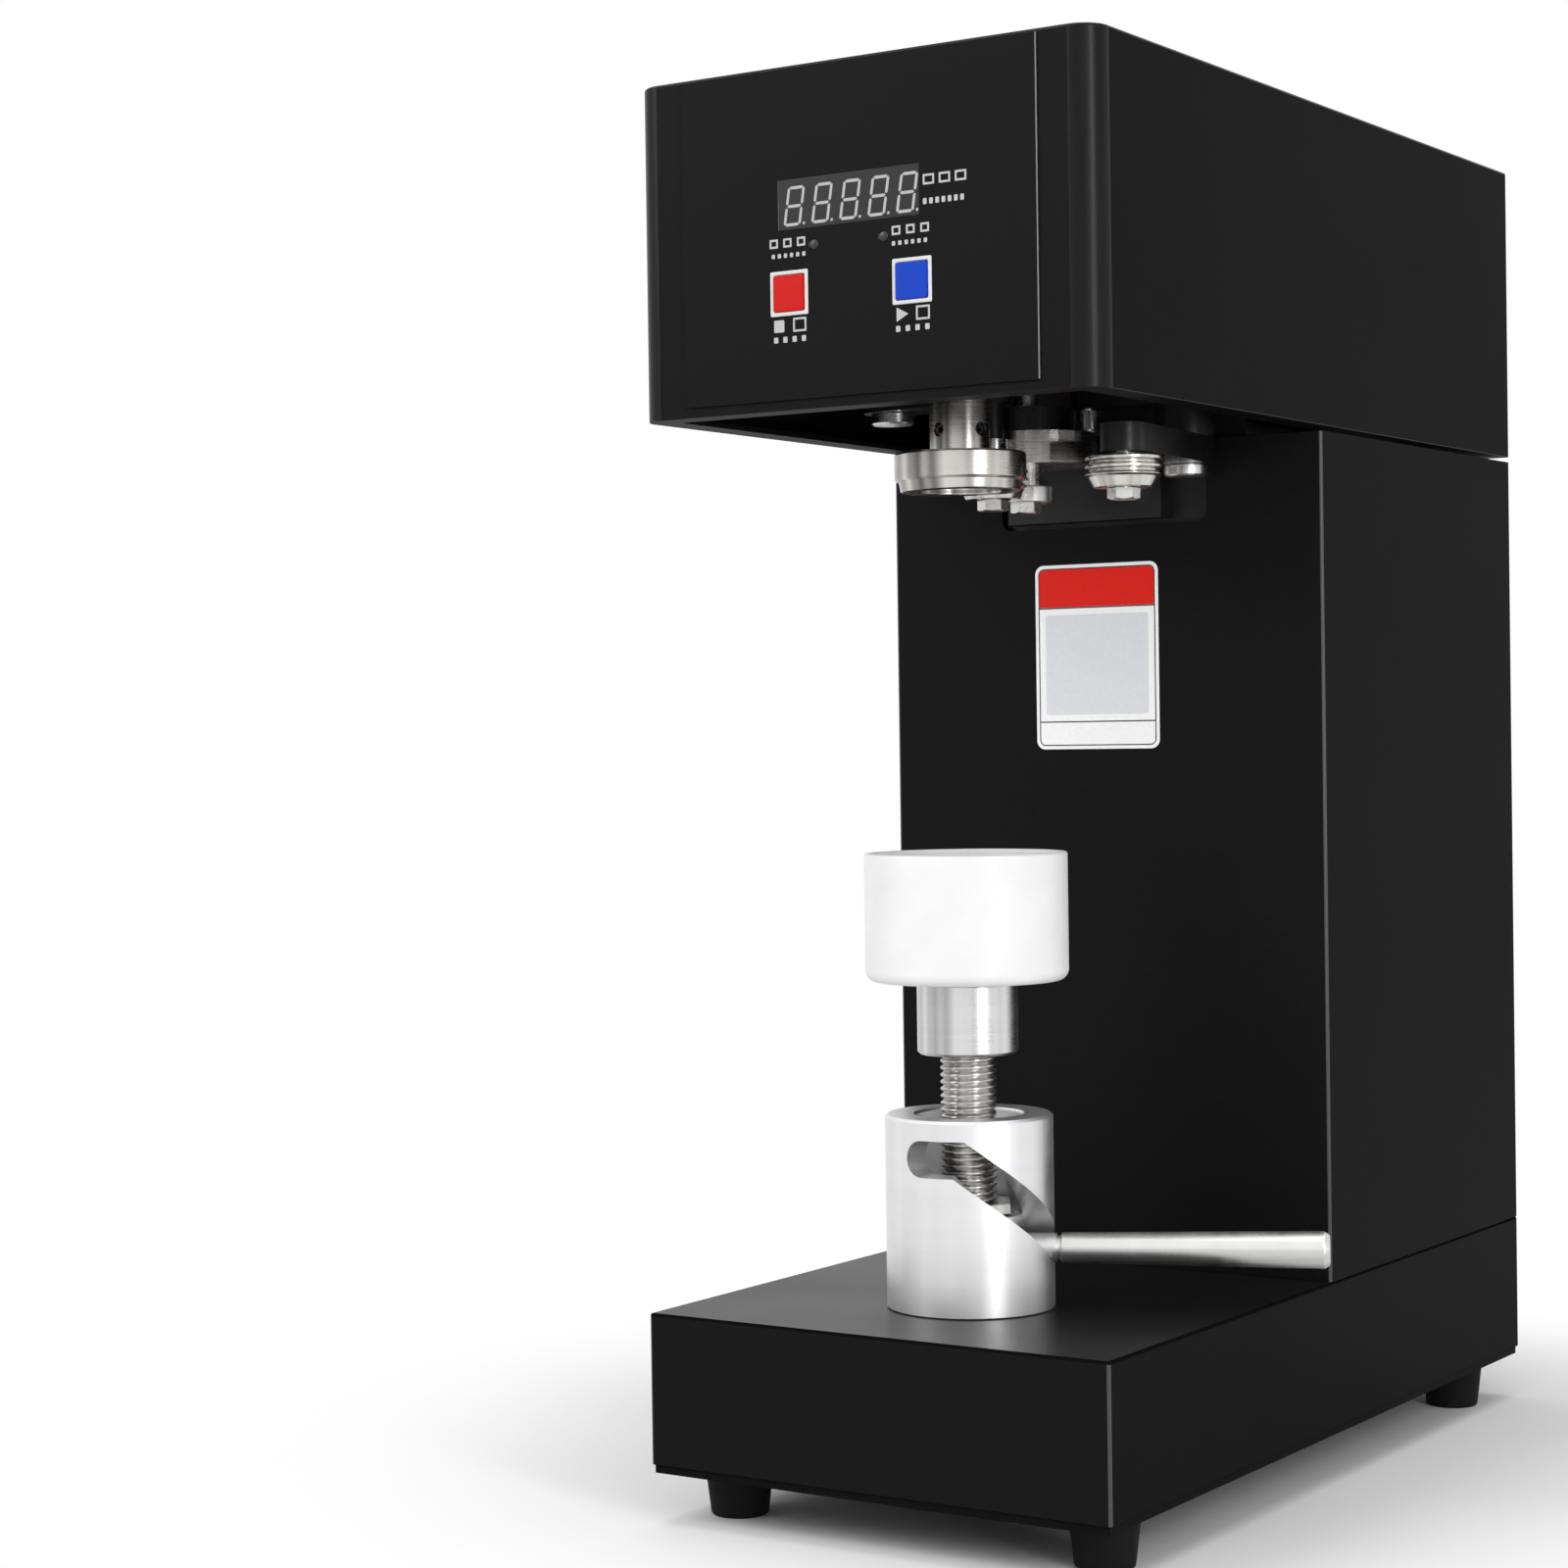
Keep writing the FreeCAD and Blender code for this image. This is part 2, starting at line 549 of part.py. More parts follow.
feet = []
for side, side_name in ((-1, "left"), (1, "right")):
    for end, end_name in ((-1, "front"), (1, "rear")):
        foot_x = f"{side} * ({SIDE} - foot_inset_x)"
        foot_y = f"{end} * (body_depth / 2 - foot_inset_y)"
        foot_name = f"{end_name}_{side_name}_foot"
        feet.append(turned(f"{foot_name}_body", foot_x, foot_y, [
            ("4.5", "0"), ("foot_radius - foot_taper - 1", "0"), ("foot_radius - foot_taper", "1"),
            ("foot_radius", "foot_height"), ("2.2", "foot_height"), ("2.2", "6"), ("4.5", "6")]))
        base_screws.append(screw(f"{foot_name}_screw", foot_x, foot_y, "6", "4", "3.4", "2.1",
                                 "(foot_height - 6)", upward=True))
node(group("foot_set", feet), "rubber_feet")
node(group("base_screw_set", base_screws), "base_screws")

node(block("supply", "-frame_width / 2 + 10", "frame_width / 2 - 10", f"{BACK} - 128", f"{BACK} - 40",
           "foot_height + plate_gauge", "foot_height + plate_gauge + 36"), "power_supply")

# Power entry at the back of the base

inlet_flange = block("inlet_flange", "-inlet_left - inlet_width / 2 - 4", "-inlet_left + inlet_width / 2 + 4",
                     BACK, f"{BACK} + 2", f"{ENTRY_Z} - inlet_height / 2 - 3",
                     f"{ENTRY_Z} + inlet_height / 2 + 3")
inlet_body = block("inlet_body", "-inlet_left - inlet_width / 2", "-inlet_left + inlet_width / 2",
                   f"{BACK} - 24", BACK, f"{ENTRY_Z} - inlet_height / 2", f"{ENTRY_Z} + inlet_height / 2")
inlet_socket = block("inlet_socket", "-inlet_left - inlet_width / 2 + 2", "-inlet_left + inlet_width / 2 - 2",
                     f"{BACK} - 15", f"{BACK} + 3", f"{ENTRY_Z} - inlet_height / 2 + 2",
                     f"{ENTRY_Z} + inlet_height / 2 - 2")
inlet_pins = [
    block(f"inlet_pin_{index}", f"-inlet_left + {offset} - 1", f"-inlet_left + {offset} + 1",
          f"{BACK} - 15", f"{BACK} - 2", f"{ENTRY_Z} + {rise} - 2", f"{ENTRY_Z} + {rise} + 2")
    for index, (offset, rise) in enumerate(((-7, -2), (0, 3), (7, -2)))]
inlet_shell = cut("inlet", joined("inlet_blank", [inlet_flange, inlet_body]), [inlet_socket])
node(group("inlet_set", [inlet_shell] + inlet_pins), "power_inlet")

switch_outside = block("switch_outside", "switch_right - switch_width / 2 - 4",
                       "switch_right + switch_width / 2 + 4",
                       BACK, f"{BACK} + 2", f"{ENTRY_Z} - switch_height / 2 - 4",
                       f"{ENTRY_Z} + switch_height / 2 + 4")
switch_inside = block("switch_inside", "switch_right - switch_width / 2 - 1.5",
                      "switch_right + switch_width / 2 + 1.5",
                      f"{BACK} - 16", BACK, f"{ENTRY_Z} - switch_height / 2 - 1.5",
                      f"{ENTRY_Z} + switch_height / 2 + 1.5")
switch_well = block("switch_well", "switch_right - switch_width / 2 - fit_gap",
                    "switch_right + switch_width / 2 + fit_gap",
                    f"{BACK} - 11", f"{BACK} + 3", f"{ENTRY_Z} - switch_height / 2 - fit_gap",
                    f"{ENTRY_Z} + switch_height / 2 + fit_gap")
SWITCH_PIN_END = "(switch_width / 2 + switch_pin_reach)"
switch_pin_hole = rod("switch_pin_hole", "switch_pin + slip_fit", f"switch_right - {SWITCH_PIN_END}", BACK,
                      ENTRY_Z,
                      f"2 * {SWITCH_PIN_END}", "right")
node(cut("switch_body", joined("switch_blank", [switch_outside, switch_inside]),
         [switch_well, switch_pin_hole]),
     "switch_housing")


def rocker():
    """Build the rocker: two flats that meet at a shallow ridge over a belly, with a pin at each end."""
    half_height = number("switch_height / 2 - fit_gap * 1.6")
    tilt = math.radians(number("switch_tilt"))
    width = number("switch_width - fit_gap")
    inward = 6.0
    ridge = number("switch_pin") + 0.2
    lift = half_height * math.tan(tilt)
    points = [(-half_height, ridge + lift), (0, ridge), (half_height, ridge + lift),
              (half_height * 0.86, -2.6), (half_height * 0.5, -inward), (-half_height * 0.5, -inward),
              (-half_height * 0.86, -2.6)]
    corners = [FreeCAD.Vector(-width / 2, y, z) for z, y in points]
    face = Part.Face(Part.makePolygon(corners + corners[:1]))
    pin_end = width / 2 + number("switch_pin_reach")
    pins = Part.makeCylinder(number("switch_pin"), 2 * pin_end, FreeCAD.Vector(-pin_end, 0, 0),
                             FreeCAD.Vector(1, 0, 0))
    return face.extrude(FreeCAD.Vector(width, 0, 0)).fuse(pins).removeSplitter()


rocker_part = doc.addObject("Part::Feature", "rocker")
rocker_part.Shape = rocker()
rocker_part.Placement = FreeCAD.Placement(
    FreeCAD.Vector(number("switch_right"), number(f"{BACK}"), number(ENTRY_Z)),
    FreeCAD.Rotation(FreeCAD.Vector(1, 0, 0), number("switch_tilt")))
node(rocker_part, "power_rocker")

# Column

column_outside = slab("column_outside", oblong(f"-{SIDE}", SIDE, COLUMN_FRONT, BACK), BASE_TOP, COLUMN_TOP)
soften(column_outside, "edge_round", upright)
NOTCH_LOW = f"({COLUMN_TOP} - notch_depth)"
notch = slab("notch", oblong("-notch_left", "notch_right", f"{COLUMN_FRONT} - sheet_gauge",
                             f"{COLUMN_FRONT} + sheet_gauge * 2"), NOTCH_LOW, f"{COLUMN_TOP} + sheet_gauge")
soften(notch, "notch_radius", lambda edge: edge.BoundBox.YLength > 1 and edge.BoundBox.ZLength < 1e-4
       and edge.BoundBox.XLength < 1e-4 and edge.BoundBox.ZMax < number(COLUMN_TOP))
COVER_SIDE = f"({SIDE} - sheet_gauge - fit_gap)"
COVER_LOW = f"({BASE_TOP} + fit_gap)"
COVER_TOP = f"({COLUMN_TOP} - fit_gap)"
COVER_SCREW_X = f"({SIDE} - flange_width / 2 - sheet_gauge / 2)"
cover_screw_places = [
    (f"{side} * {COVER_SCREW_X}", height) for side in (-1, 1)
    for height in (f"({COVER_LOW} + 12)", f"(({COVER_LOW} + {COVER_TOP}) / 2)", f"({COVER_TOP} - 12)")]


def cover_holes(name, depth):
    """Make cutters for the screw holes of the back cover, reaching in from the back."""
    return [rod(f"{name}_{index}", "screw_shank", x, f"{BACK} - {depth}", z, f"{depth} + 1", "back")
            for index, (x, z) in enumerate(cover_screw_places)]


def pan_screw(name, x, seat, z, grip):
    """Turn a pan head screw that points into the machine from the back, with its head on a seat."""
    shape = turned(name, "0", "0", [
        ("0", "0"), ("screw_shank", "0"), ("screw_shank", grip), ("screw_head", grip),
        ("screw_head", f"{grip} + 2"), ("0", f"{grip} + 2")])
    shape.Placement = FreeCAD.Placement(FreeCAD.Vector(), TURNS["back"])
    put(shape, x, f"{seat} - {grip}", z)
    return shape


node(cut("column", column_outside, cover_holes("flange_hole", "sheet_gauge * 3") + [
    block("column_hollow", f"-{SIDE} + sheet_gauge", f"{SIDE} - sheet_gauge", f"{COLUMN_FRONT} + sheet_gauge",
          f"{BACK} - sheet_gauge * 2", f"{BASE_TOP} - 1", f"{COLUMN_TOP} + 1"),
    block("column_mouth", f"-{SIDE} + flange_width", f"{SIDE} - flange_width", f"{BACK} - sheet_gauge * 3",
          f"{BACK} + 1", f"{BASE_TOP} - 1", f"{COLUMN_TOP} + 1"),
    block("cover_seat", f"-{SIDE} + sheet_gauge", f"{SIDE} - sheet_gauge", f"{BACK} - sheet_gauge",
          f"{BACK} + 1", f"{BASE_TOP} - 1", f"{COLUMN_TOP} + 1"),
    notch,
]), "column_shell")

cover_blank = slab("cover", oblong(f"-{COVER_SIDE}", COVER_SIDE, f"{BACK} - sheet_gauge", BACK),
                   COVER_LOW, COVER_TOP)
vents = []
for row in range(int(number("vent_rows"))):
    for side in (-1, 1):
        vent_x = f"{side} * vent_spacing / 2"
        vent_z = f"{COVER_TOP} - vent_drop - {row} * vent_pitch"
        vents.append(block(f"vent_{row}_{'left' if side < 0 else 'right'}", f"{vent_x} - vent_width / 2",
                           f"{vent_x} + vent_width / 2", f"{BACK} - sheet_gauge - 1", f"{BACK} + 1",
                           f"{vent_z} - vent_height", vent_z))
node(cut("cover_cut", cover_blank, vents + cover_holes("cover_hole", "sheet_gauge * 2")), "back_cover")
panel_screws = [pan_screw(f"cover_screw_{index}", x, BACK, z, "sheet_gauge * 2")
                for index, (x, z) in enumerate(cover_screw_places)]

FRAME_FRONT = f"({COLUMN_FRONT} + sheet_gauge * 2)"
FRAME_BACK = f"({FRAME_FRONT} + frame_depth)"
FRAME_SIDE = "(frame_width / 2)"
channel = slab("channel", [
    (f"-{FRAME_SIDE}", FRAME_FRONT), (FRAME_SIDE, FRAME_FRONT), (FRAME_SIDE, FRAME_BACK),
    (f"{FRAME_SIDE} - frame_gauge", FRAME_BACK),
    (f"{FRAME_SIDE} - frame_gauge", f"{FRAME_FRONT} + frame_gauge"),
    (f"-{FRAME_SIDE} + frame_gauge", f"{FRAME_FRONT} + frame_gauge"),
    (f"-{FRAME_SIDE} + frame_gauge", FRAME_BACK),
    (f"-{FRAME_SIDE}", FRAME_BACK)], BASE_TOP, HEAD_LOW)
low_flange = block("low_flange", f"-{FRAME_SIDE}", FRAME_SIDE, FRAME_FRONT, FRAME_BACK,
                   BASE_TOP, f"{BASE_TOP} + flange_gauge")
top_flange = block("top_flange", f"-{FRAME_SIDE}", FRAME_SIDE, FRAME_FRONT, FRAME_BACK,
                   f"{HEAD_LOW} - flange_gauge", HEAD_LOW)
FRAME_BOLT_Y = f"({FRAME_FRONT} + frame_gauge + 18)"
frame_bolt_places = [(f"{side} * ({FRAME_SIDE} - {inset})", FRAME_BOLT_Y) for side in (-1,
                                                                                       1) for inset in (16,
                                                                                                        40)]
frame_holes = [rod(f"frame_hole_{index}", "4", x, y, f"{HEAD_LOW} - flange_gauge * 1.5", "flange_gauge * 2")
               for index, (x, y) in enumerate(frame_bolt_places)]
node(cut("frame_drilled", joined("frame_welded", [channel, low_flange, top_flange]), frame_holes),
     "column_frame")

# Bracket that ties the head plate to the inner frame through the notch

BRACKET_FRONT = f"({FRAME_FRONT} - 8)"
bracket_plate = slab("bracket_plate", oblong("-notch_left + 5", "notch_right - 17", BRACKET_FRONT,
                                             FRAME_FRONT),
                     f"{NOTCH_LOW} + 2", f"{CAM_MIDDLE} - 1")
bracket_horn = block("bracket_horn", "-notch_left + 5", "-notch_left + 33", BRACKET_FRONT, FRAME_FRONT,
                     f"{NOTCH_LOW} + 4", HEAD_LOW)
node(joined("bracket", [bracket_plate, bracket_horn]), "head_bracket")
BRACKET_SCREW_Z = f"({NOTCH_LOW} + 14)"
head_screws = []
for index, screw_x in enumerate(("-notch_left + 14", "notch_right - 28")):
    head_screws.append(hexagon(f"bracket_screw_{index}", "bolt_head_radius", screw_x,
                               f"{BRACKET_FRONT} - bolt_head", BRACKET_SCREW_Z, "bolt_head", "back"))

# Head plate

HEAD_SIDE = f"({SIDE} - sheet_gauge)"
HEAD_FRONT = f"({SPINDLE_Y} - housing_radius - head_front_gap)"
head_blank = slab("head", oblong(f"-{HEAD_SIDE}", HEAD_SIDE, HEAD_FRONT, f"{BACK} - sheet_gauge"), HEAD_LOW,
                  HEAD_TOP)
soften(head_blank, "corner_radius", lambda edge: upright(edge) and edge.BoundBox.YMin < number(SPINDLE_Y))
housing_screw_places = [
    (f"(housing_radius + housing_flange) / 2 * cos({angle} * 1deg)",
     f"{SPINDLE_Y} + (housing_radius + housing_flange) / 2 * sin({angle} * 1deg)") for angle in (45, 135,
                                                                                                 225, 315)]
MOTOR_BOLT = "(motor_flange / 2 - 8)"
motor_screw_places = [(f"{side} * {MOTOR_BOLT}", f"{MOTOR_Y} + {end} * {MOTOR_BOLT}")
                      for side in (-1, 1) for end in (-1, 1)]
head_holes = [
    rod("housing_hole", "housing_radius", "0", SPINDLE_Y, f"{HEAD_LOW} - 1", "head_gauge + 2"),
    rod("motor_hole", "18", "0", MOTOR_Y, f"{HEAD_LOW} - 1", "head_gauge + 2"),
    rod("bush_hole", "cam_shaft_radius + 2", CAM_X, CAM_Y, f"{HEAD_LOW} - 1", "head_gauge + 2"),
    rod("first_pivot_hole", "pivot_radius", FIRST_PIVOT_X, FIRST_PIVOT_Y, f"{HEAD_LOW} - 1",
        "head_gauge + 2"),
    rod("second_pivot_hole", "pivot_radius", SECOND_PIVOT_X, SECOND_PIVOT_Y, f"{HEAD_LOW} - 1",
        "head_gauge + 2"),
]
for index, (x, y) in enumerate(frame_bolt_places):
    head_holes.append(rod(f"head_frame_hole_{index}", "4", x, y, f"{HEAD_LOW} - 1", "head_gauge + 2"))
for index, (x, y) in enumerate(housing_screw_places):
    head_holes.append(rod(f"head_housing_hole_{index}", "2.5", x, y, f"{HEAD_LOW} - 1", "head_gauge + 2"))
for index, (x, y) in enumerate(motor_screw_places):
    head_holes.append(rod(f"head_motor_hole_{index}", "3", x, y, f"{HEAD_LOW} - 1", "head_gauge + 2"))
node(cut("head_drilled", head_blank, head_holes), "head_plate")


head_screws += [
    screw(f"frame_bolt_{index}", x, y, HEAD_TOP, "6.5", "8", "4", "(head_gauge + flange_gauge)")
    for index, (x, y) in enumerate(frame_bolt_places)]
head_screws += [
    screw(f"motor_screw_{index}", x, y, HEAD_TOP, "5", "6", "3", "(head_gauge + 8)")
    for index, (x, y) in enumerate(motor_screw_places)]
HOUSING_SEAT = f"({HEAD_TOP} + housing_flange_gauge)"
head_screws += [
    screw(f"housing_screw_{index}", x, y, HOUSING_SEAT, "4.2", "5", "2.5",
          "(housing_flange_gauge + head_gauge)") for index, (x, y) in enumerate(housing_screw_places)]
node(group("head_screw_set", head_screws), "head_plate_screws")

# Hood

hood_blank = slab("hood_outside", oblong(f"-{SIDE}", SIDE, HOOD_FACE, BACK), HOOD_FOOT, HOOD_TOP)
soften(hood_blank, "corner_radius", lambda edge: upright(edge) and edge.BoundBox.YMin < 0)
soften(hood_blank, "edge_round", level_at(number(HOOD_TOP)))
hood_hollow = slab("hood_hollow", oblong(f"-{HEAD_SIDE}", HEAD_SIDE, HOOD_INSIDE, f"{BACK} - sheet_gauge"),
                   f"{HOOD_FOOT} + sheet_gauge", f"{HOOD_TOP} - sheet_gauge")
soften(hood_hollow, "corner_radius - sheet_gauge", lambda edge: upright(edge) and edge.BoundBox.YMin < 0)
hood_mouth = slab("hood_mouth", oblong(f"-{SIDE} + sheet_gauge + lip_width",
                                       f"{SIDE} - sheet_gauge - lip_width",
                                       f"{HOOD_INSIDE} + lip_width", f"{BACK} - sheet_gauge - lip_width"),
                  f"{HOOD_FOOT} - 1", f"{HOOD_FOOT} + sheet_gauge * 2")
hood_tools = [
    hood_hollow, hood_mouth,
    block("hood_window", "-window_left - 1", "window_right + 1", f"{HOOD_FACE} - 1", f"{HOOD_INSIDE} + 1",
          f"{WINDOW_LOW} - 1", f"{WINDOW_TOP} + 1"),
]
BUTTONS = (("stop", "-stop_left"), ("start", "start_right"))
LAMPS = (("ready", "-ready_lamp_left"), ("work", "work_lamp_right"))
FRAME_HALF = "(button_side / 2 + button_frame)"
for name, x in BUTTONS:
    hood_tools.append(block(f"hood_{name}_hole", f"{x} - {FRAME_HALF}", f"{x} + {FRAME_HALF}",
                            f"{HOOD_FACE} - 1",
                            f"{HOOD_INSIDE} + 1", f"{BUTTON_Z} - {FRAME_HALF}", f"{BUTTON_Z} + {FRAME_HALF}"))
for name, x in LAMPS:
    hood_tools.append(rod(f"hood_{name}_lamp_hole", "lamp_radius + slip_fit", x, f"{HOOD_FACE} - 1", LAMP_Z,
                          "sheet_gauge + 2", "back"))
hood_screw_places = [(f"{side} * ({SIDE} - 22)", f"({HEAD_LOW} + head_gauge / 2)") for side in (-1, 1)]
hood_screw_holes = [rod(f"hood_screw_hole_{index}", "screw_shank", x, f"{BACK} - sheet_gauge * 2", z,
                        "sheet_gauge * 3", "back") for index, (x, z) in enumerate(hood_screw_places)]
node(cut("hood_cut", hood_blank, hood_tools + hood_screw_holes), "hood")
panel_screws += [pan_screw(f"hood_screw_{index}", x, BACK, z, "sheet_gauge")
                 for index, (x, z) in enumerate(hood_screw_places)]
node(group("panel_screw_set", panel_screws), "panel_screws")

# Control panel

panel_blank = block("panel_blank", f"-{SIDE} + overlay_margin", f"{SIDE} - overlay_margin", FRONT, HOOD_FACE,
                    f"{HOOD_FOOT} + overlay_rise", f"{HOOD_TOP} - overlay_fall")
panel_tools = [block("panel_window", "-window_left", "window_right", f"{FRONT} - 1", f"{HOOD_FACE} + 1",
                     WINDOW_LOW, WINDOW_TOP)]
for name, x in BUTTONS:
    panel_tools.append(block(f"panel_{name}_hole", f"{x} - {FRAME_HALF}", f"{x} + {FRAME_HALF}",
                             f"{FRONT} - 1",
                             f"{HOOD_FACE} + 1", f"{BUTTON_Z} - {FRAME_HALF}", f"{BUTTON_Z} + {FRAME_HALF}"))
for name, x in LAMPS:
    panel_tools.append(rod(f"panel_{name}_lamp_hole", "lamp_radius + slip_fit", x, f"{FRONT} - 1", LAMP_Z,
                           "overlay_gauge + 2", "back"))
node(cut("panel_cut", panel_blank, panel_tools), "front_panel")
node(block("window_plate", "-window_left", "window_right", FRONT, f"{HOOD_INSIDE}", WINDOW_LOW, WINDOW_TOP),
     "display_window")
node(block("digit_block", "-window_left - 1", "window_right + 1", HOOD_INSIDE, BOARD_FACE,
           f"{WINDOW_LOW} - 1", f"{WINDOW_TOP} + 1"), "digit_display")

button_frames = []
switches = []
for name, x in BUTTONS:
    frame_block = block(f"{name}_frame_outside", f"{x} - {FRAME_HALF}", f"{x} + {FRAME_HALF}",
                        f"{FRONT} - 0.3", HOOD_INSIDE, f"{BUTTON_Z} - {FRAME_HALF}",
                        f"{BUTTON_Z} + {FRAME_HALF}")
    opening = block(f"{name}_frame_inside", f"{x} - button_side / 2 - fit_gap / 2",
                    f"{x} + button_side / 2 + fit_gap / 2",
                    f"{FRONT} - 1", f"{HOOD_INSIDE} + 1", f"{BUTTON_Z} - button_side / 2 - fit_gap / 2",
                    f"{BUTTON_Z} + button_side / 2 + fit_gap / 2")
    button_frames.append(cut(f"{name}_frame", frame_block, [opening]))
    cap = slab(f"{name}_cap", oblong(f"{x} - button_side / 2", f"{x} + button_side / 2",
                                     f"{FRONT} - button_proud",
                                     f"{HOOD_INSIDE} - 0.6"),
               f"{BUTTON_Z} - button_side / 2", f"{BUTTON_Z} + button_side / 2")
    soften(cap, "0.5", lambda edge: edge.BoundBox.YMax < number(f"{FRONT} - button_proud") + 1e-3)
    stem = rod(f"{name}_stem", "2.4", x, f"{HOOD_INSIDE} - 0.7", BUTTON_Z, "1.7", "back")
    node(joined(f"{name}_pressed", [cap, stem]), f"{name}_button")
    switches.append(block(f"{name}_switch", f"{x} - 6", f"{x} + 6",
                          f"{HOOD_INSIDE} + 1 + button_travel + fit_gap",
                          BOARD_FACE, f"{BUTTON_Z} - 6", f"{BUTTON_Z} + 6"))
node(group("button_frame_set", button_frames), "button_frames")
node(group("lamp_set", [
    rod(f"{name}_lamp", "lamp_radius", x, f"{FRONT} - 0.3", LAMP_Z, f"{BOARD_FACE} - {FRONT} + 0.3", "back")
    for name, x in LAMPS]), "indicator_lamps")

BOARD_MIDDLE = f"(({HOOD_FOOT} + {HOOD_TOP}) / 2 + 4)"
board = block("board", "-board_width / 2", "board_width / 2", BOARD_FACE, f"{BOARD_FACE} + board_gauge",
              f"{BOARD_MIDDLE} - board_height / 2", f"{BOARD_MIDDLE} + board_height / 2")
standoffs = []
for side in (-1, 1):
    for end in (-1, 1):
        standoffs.append(hexagon(f"standoff_{side + 1}_{end + 1}", "3", f"{side} * (board_width / 2 - 5)",
                                 HOOD_INSIDE, f"{BOARD_MIDDLE} + {end} * (board_height / 2 - 5)",
                                 "board_standoff", "back"))
node(group("board_set", [board] + switches + standoffs), "control_board")

# Spindle, chuck and its bearings

housing_blank = turned("housing_turned", "0", SPINDLE_Y, [
    ("spindle_radius + 3", HOUSING_LOW), ("housing_radius", HOUSING_LOW), ("housing_radius", HEAD_TOP),
    ("housing_flange", HEAD_TOP), ("housing_flange", f"{HEAD_TOP} + housing_flange_gauge"),
    ("housing_radius", f"{HEAD_TOP} + housing_flange_gauge"), ("housing_radius", HOUSING_TOP),
    ("bearing_radius", HOUSING_TOP), ("bearing_radius", f"{HOUSING_TOP} - bearing_width"),
    ("housing_shoulder", f"{HOUSING_TOP} - bearing_width"),
    ("housing_shoulder", f"{HOUSING_LOW} + 1 + bearing_width"),
    ("bearing_radius", f"{HOUSING_LOW} + 1 + bearing_width"), ("bearing_radius", f"{HOUSING_LOW} + 1"),
    ("spindle_radius + 3", f"{HOUSING_LOW} + 1")])
node(cut("housing_drilled", housing_blank, [
    rod(f"housing_screw_hole_{index}", "2.5", x, y, f"{HEAD_TOP} - 1", "housing_flange_gauge + 2")
    for index, (x, y) in enumerate(housing_screw_places)]), "spindle_housing")
node(group("bearing_set", [
    ring(f"{name}_bearing_ring", "0", SPINDLE_Y, "spindle_radius + slip_fit", "bearing_radius",
         low, f"{low} + bearing_width")
    for name, low in (("lower", f"({HOUSING_LOW} + 1)"), ("upper", f"({HOUSING_TOP} - bearing_width)"))]),
     "spindle_bearings")

SPIGOT_LOW = f"({CHUCK_LOW} + 6.6)"
HUB_TOP = f"({HOUSING_LOW} - fit_gap)"
node(turned("spindle_turned", "0", SPINDLE_Y, [
    ("0", SPIGOT_LOW), ("spigot_radius", SPIGOT_LOW), ("spigot_radius", HUB_TOP), ("spindle_radius", HUB_TOP),
    ("spindle_radius", f"{HOUSING_TOP} + 1"), ("pulley_bore", f"{HOUSING_TOP} + 1"),
    ("pulley_bore", f"{PULLEY_TOP} + 3"), ("4", f"{PULLEY_TOP} + 3"), ("4", f"{PULLEY_TOP} + 9"),
    ("0", f"{PULLEY_TOP} + 9")]), "spindle")
chuck_blank = turned("chuck_turned", "0", SPINDLE_Y, [
    ("0", f"{CHUCK_LOW} + 2.6"), ("chuck_recess", f"{CHUCK_LOW} + 2.6"), ("chuck_recess", CHUCK_LOW),
    ("chuck_nose_radius - 0.6", CHUCK_LOW), ("chuck_nose_radius", f"{CHUCK_LOW} + chuck_nose_depth"),
    ("chuck_radius - 0.8", f"{CHUCK_LOW} + chuck_nose_depth"),
    ("chuck_radius", f"{CHUCK_LOW} + chuck_nose_depth + 0.8"), ("chuck_radius", f"{CHUCK_TOP} - 0.6"),
    ("chuck_radius - 0.6", CHUCK_TOP), ("hub_radius", CHUCK_TOP), ("hub_radius", HUB_TOP),
    ("spigot_radius", HUB_TOP), ("spigot_radius", SPIGOT_LOW), ("0", SPIGOT_LOW)])
SET_SCREW_Z = f"({HUB_TOP} - set_screw_drop)"
SET_SCREW_ANGLES = (-105, -15)
screw_bores = []
set_screws = []
for index, angle in enumerate(SET_SCREW_ANGLES):
    outward = FreeCAD.Rotation(FreeCAD.Vector(0, 0, 1), angle) * TURNS["right"]
    bore = rod(f"set_screw_bore_{index}", "set_screw_radius", "0", SPINDLE_Y, SET_SCREW_Z, "hub_radius + 1")
    screw = rod(f"set_screw_{index}", "set_screw_radius", f"spigot_radius * cos({angle} * 1deg)",
                f"{SPINDLE_Y} + spigot_radius * sin({angle} * 1deg)", SET_SCREW_Z,
                "hub_radius - spigot_radius - 1")
    for item in (bore, screw):
        item.Placement = FreeCAD.Placement(item.Placement.Base, outward)
    screw_bores.append(bore)
    set_screws.append(screw)
spigot_core = rod("spigot_core", "spigot_radius", "0", SPINDLE_Y, SPIGOT_LOW, f"{HUB_TOP} - {SPIGOT_LOW}")
bore_tools = joined("bore_tools", screw_bores)
node(cut("chuck_drilled", chuck_blank, [bore_tools, spigot_core]), "seaming_chuck")
trimmed_screws = [cut(f"set_screw_{index}_trimmed", screw, [spigot_core]) for index,
                  screw in enumerate(set_screws)]
node(group("set_screw_set", trimmed_screws), "chuck_screws")


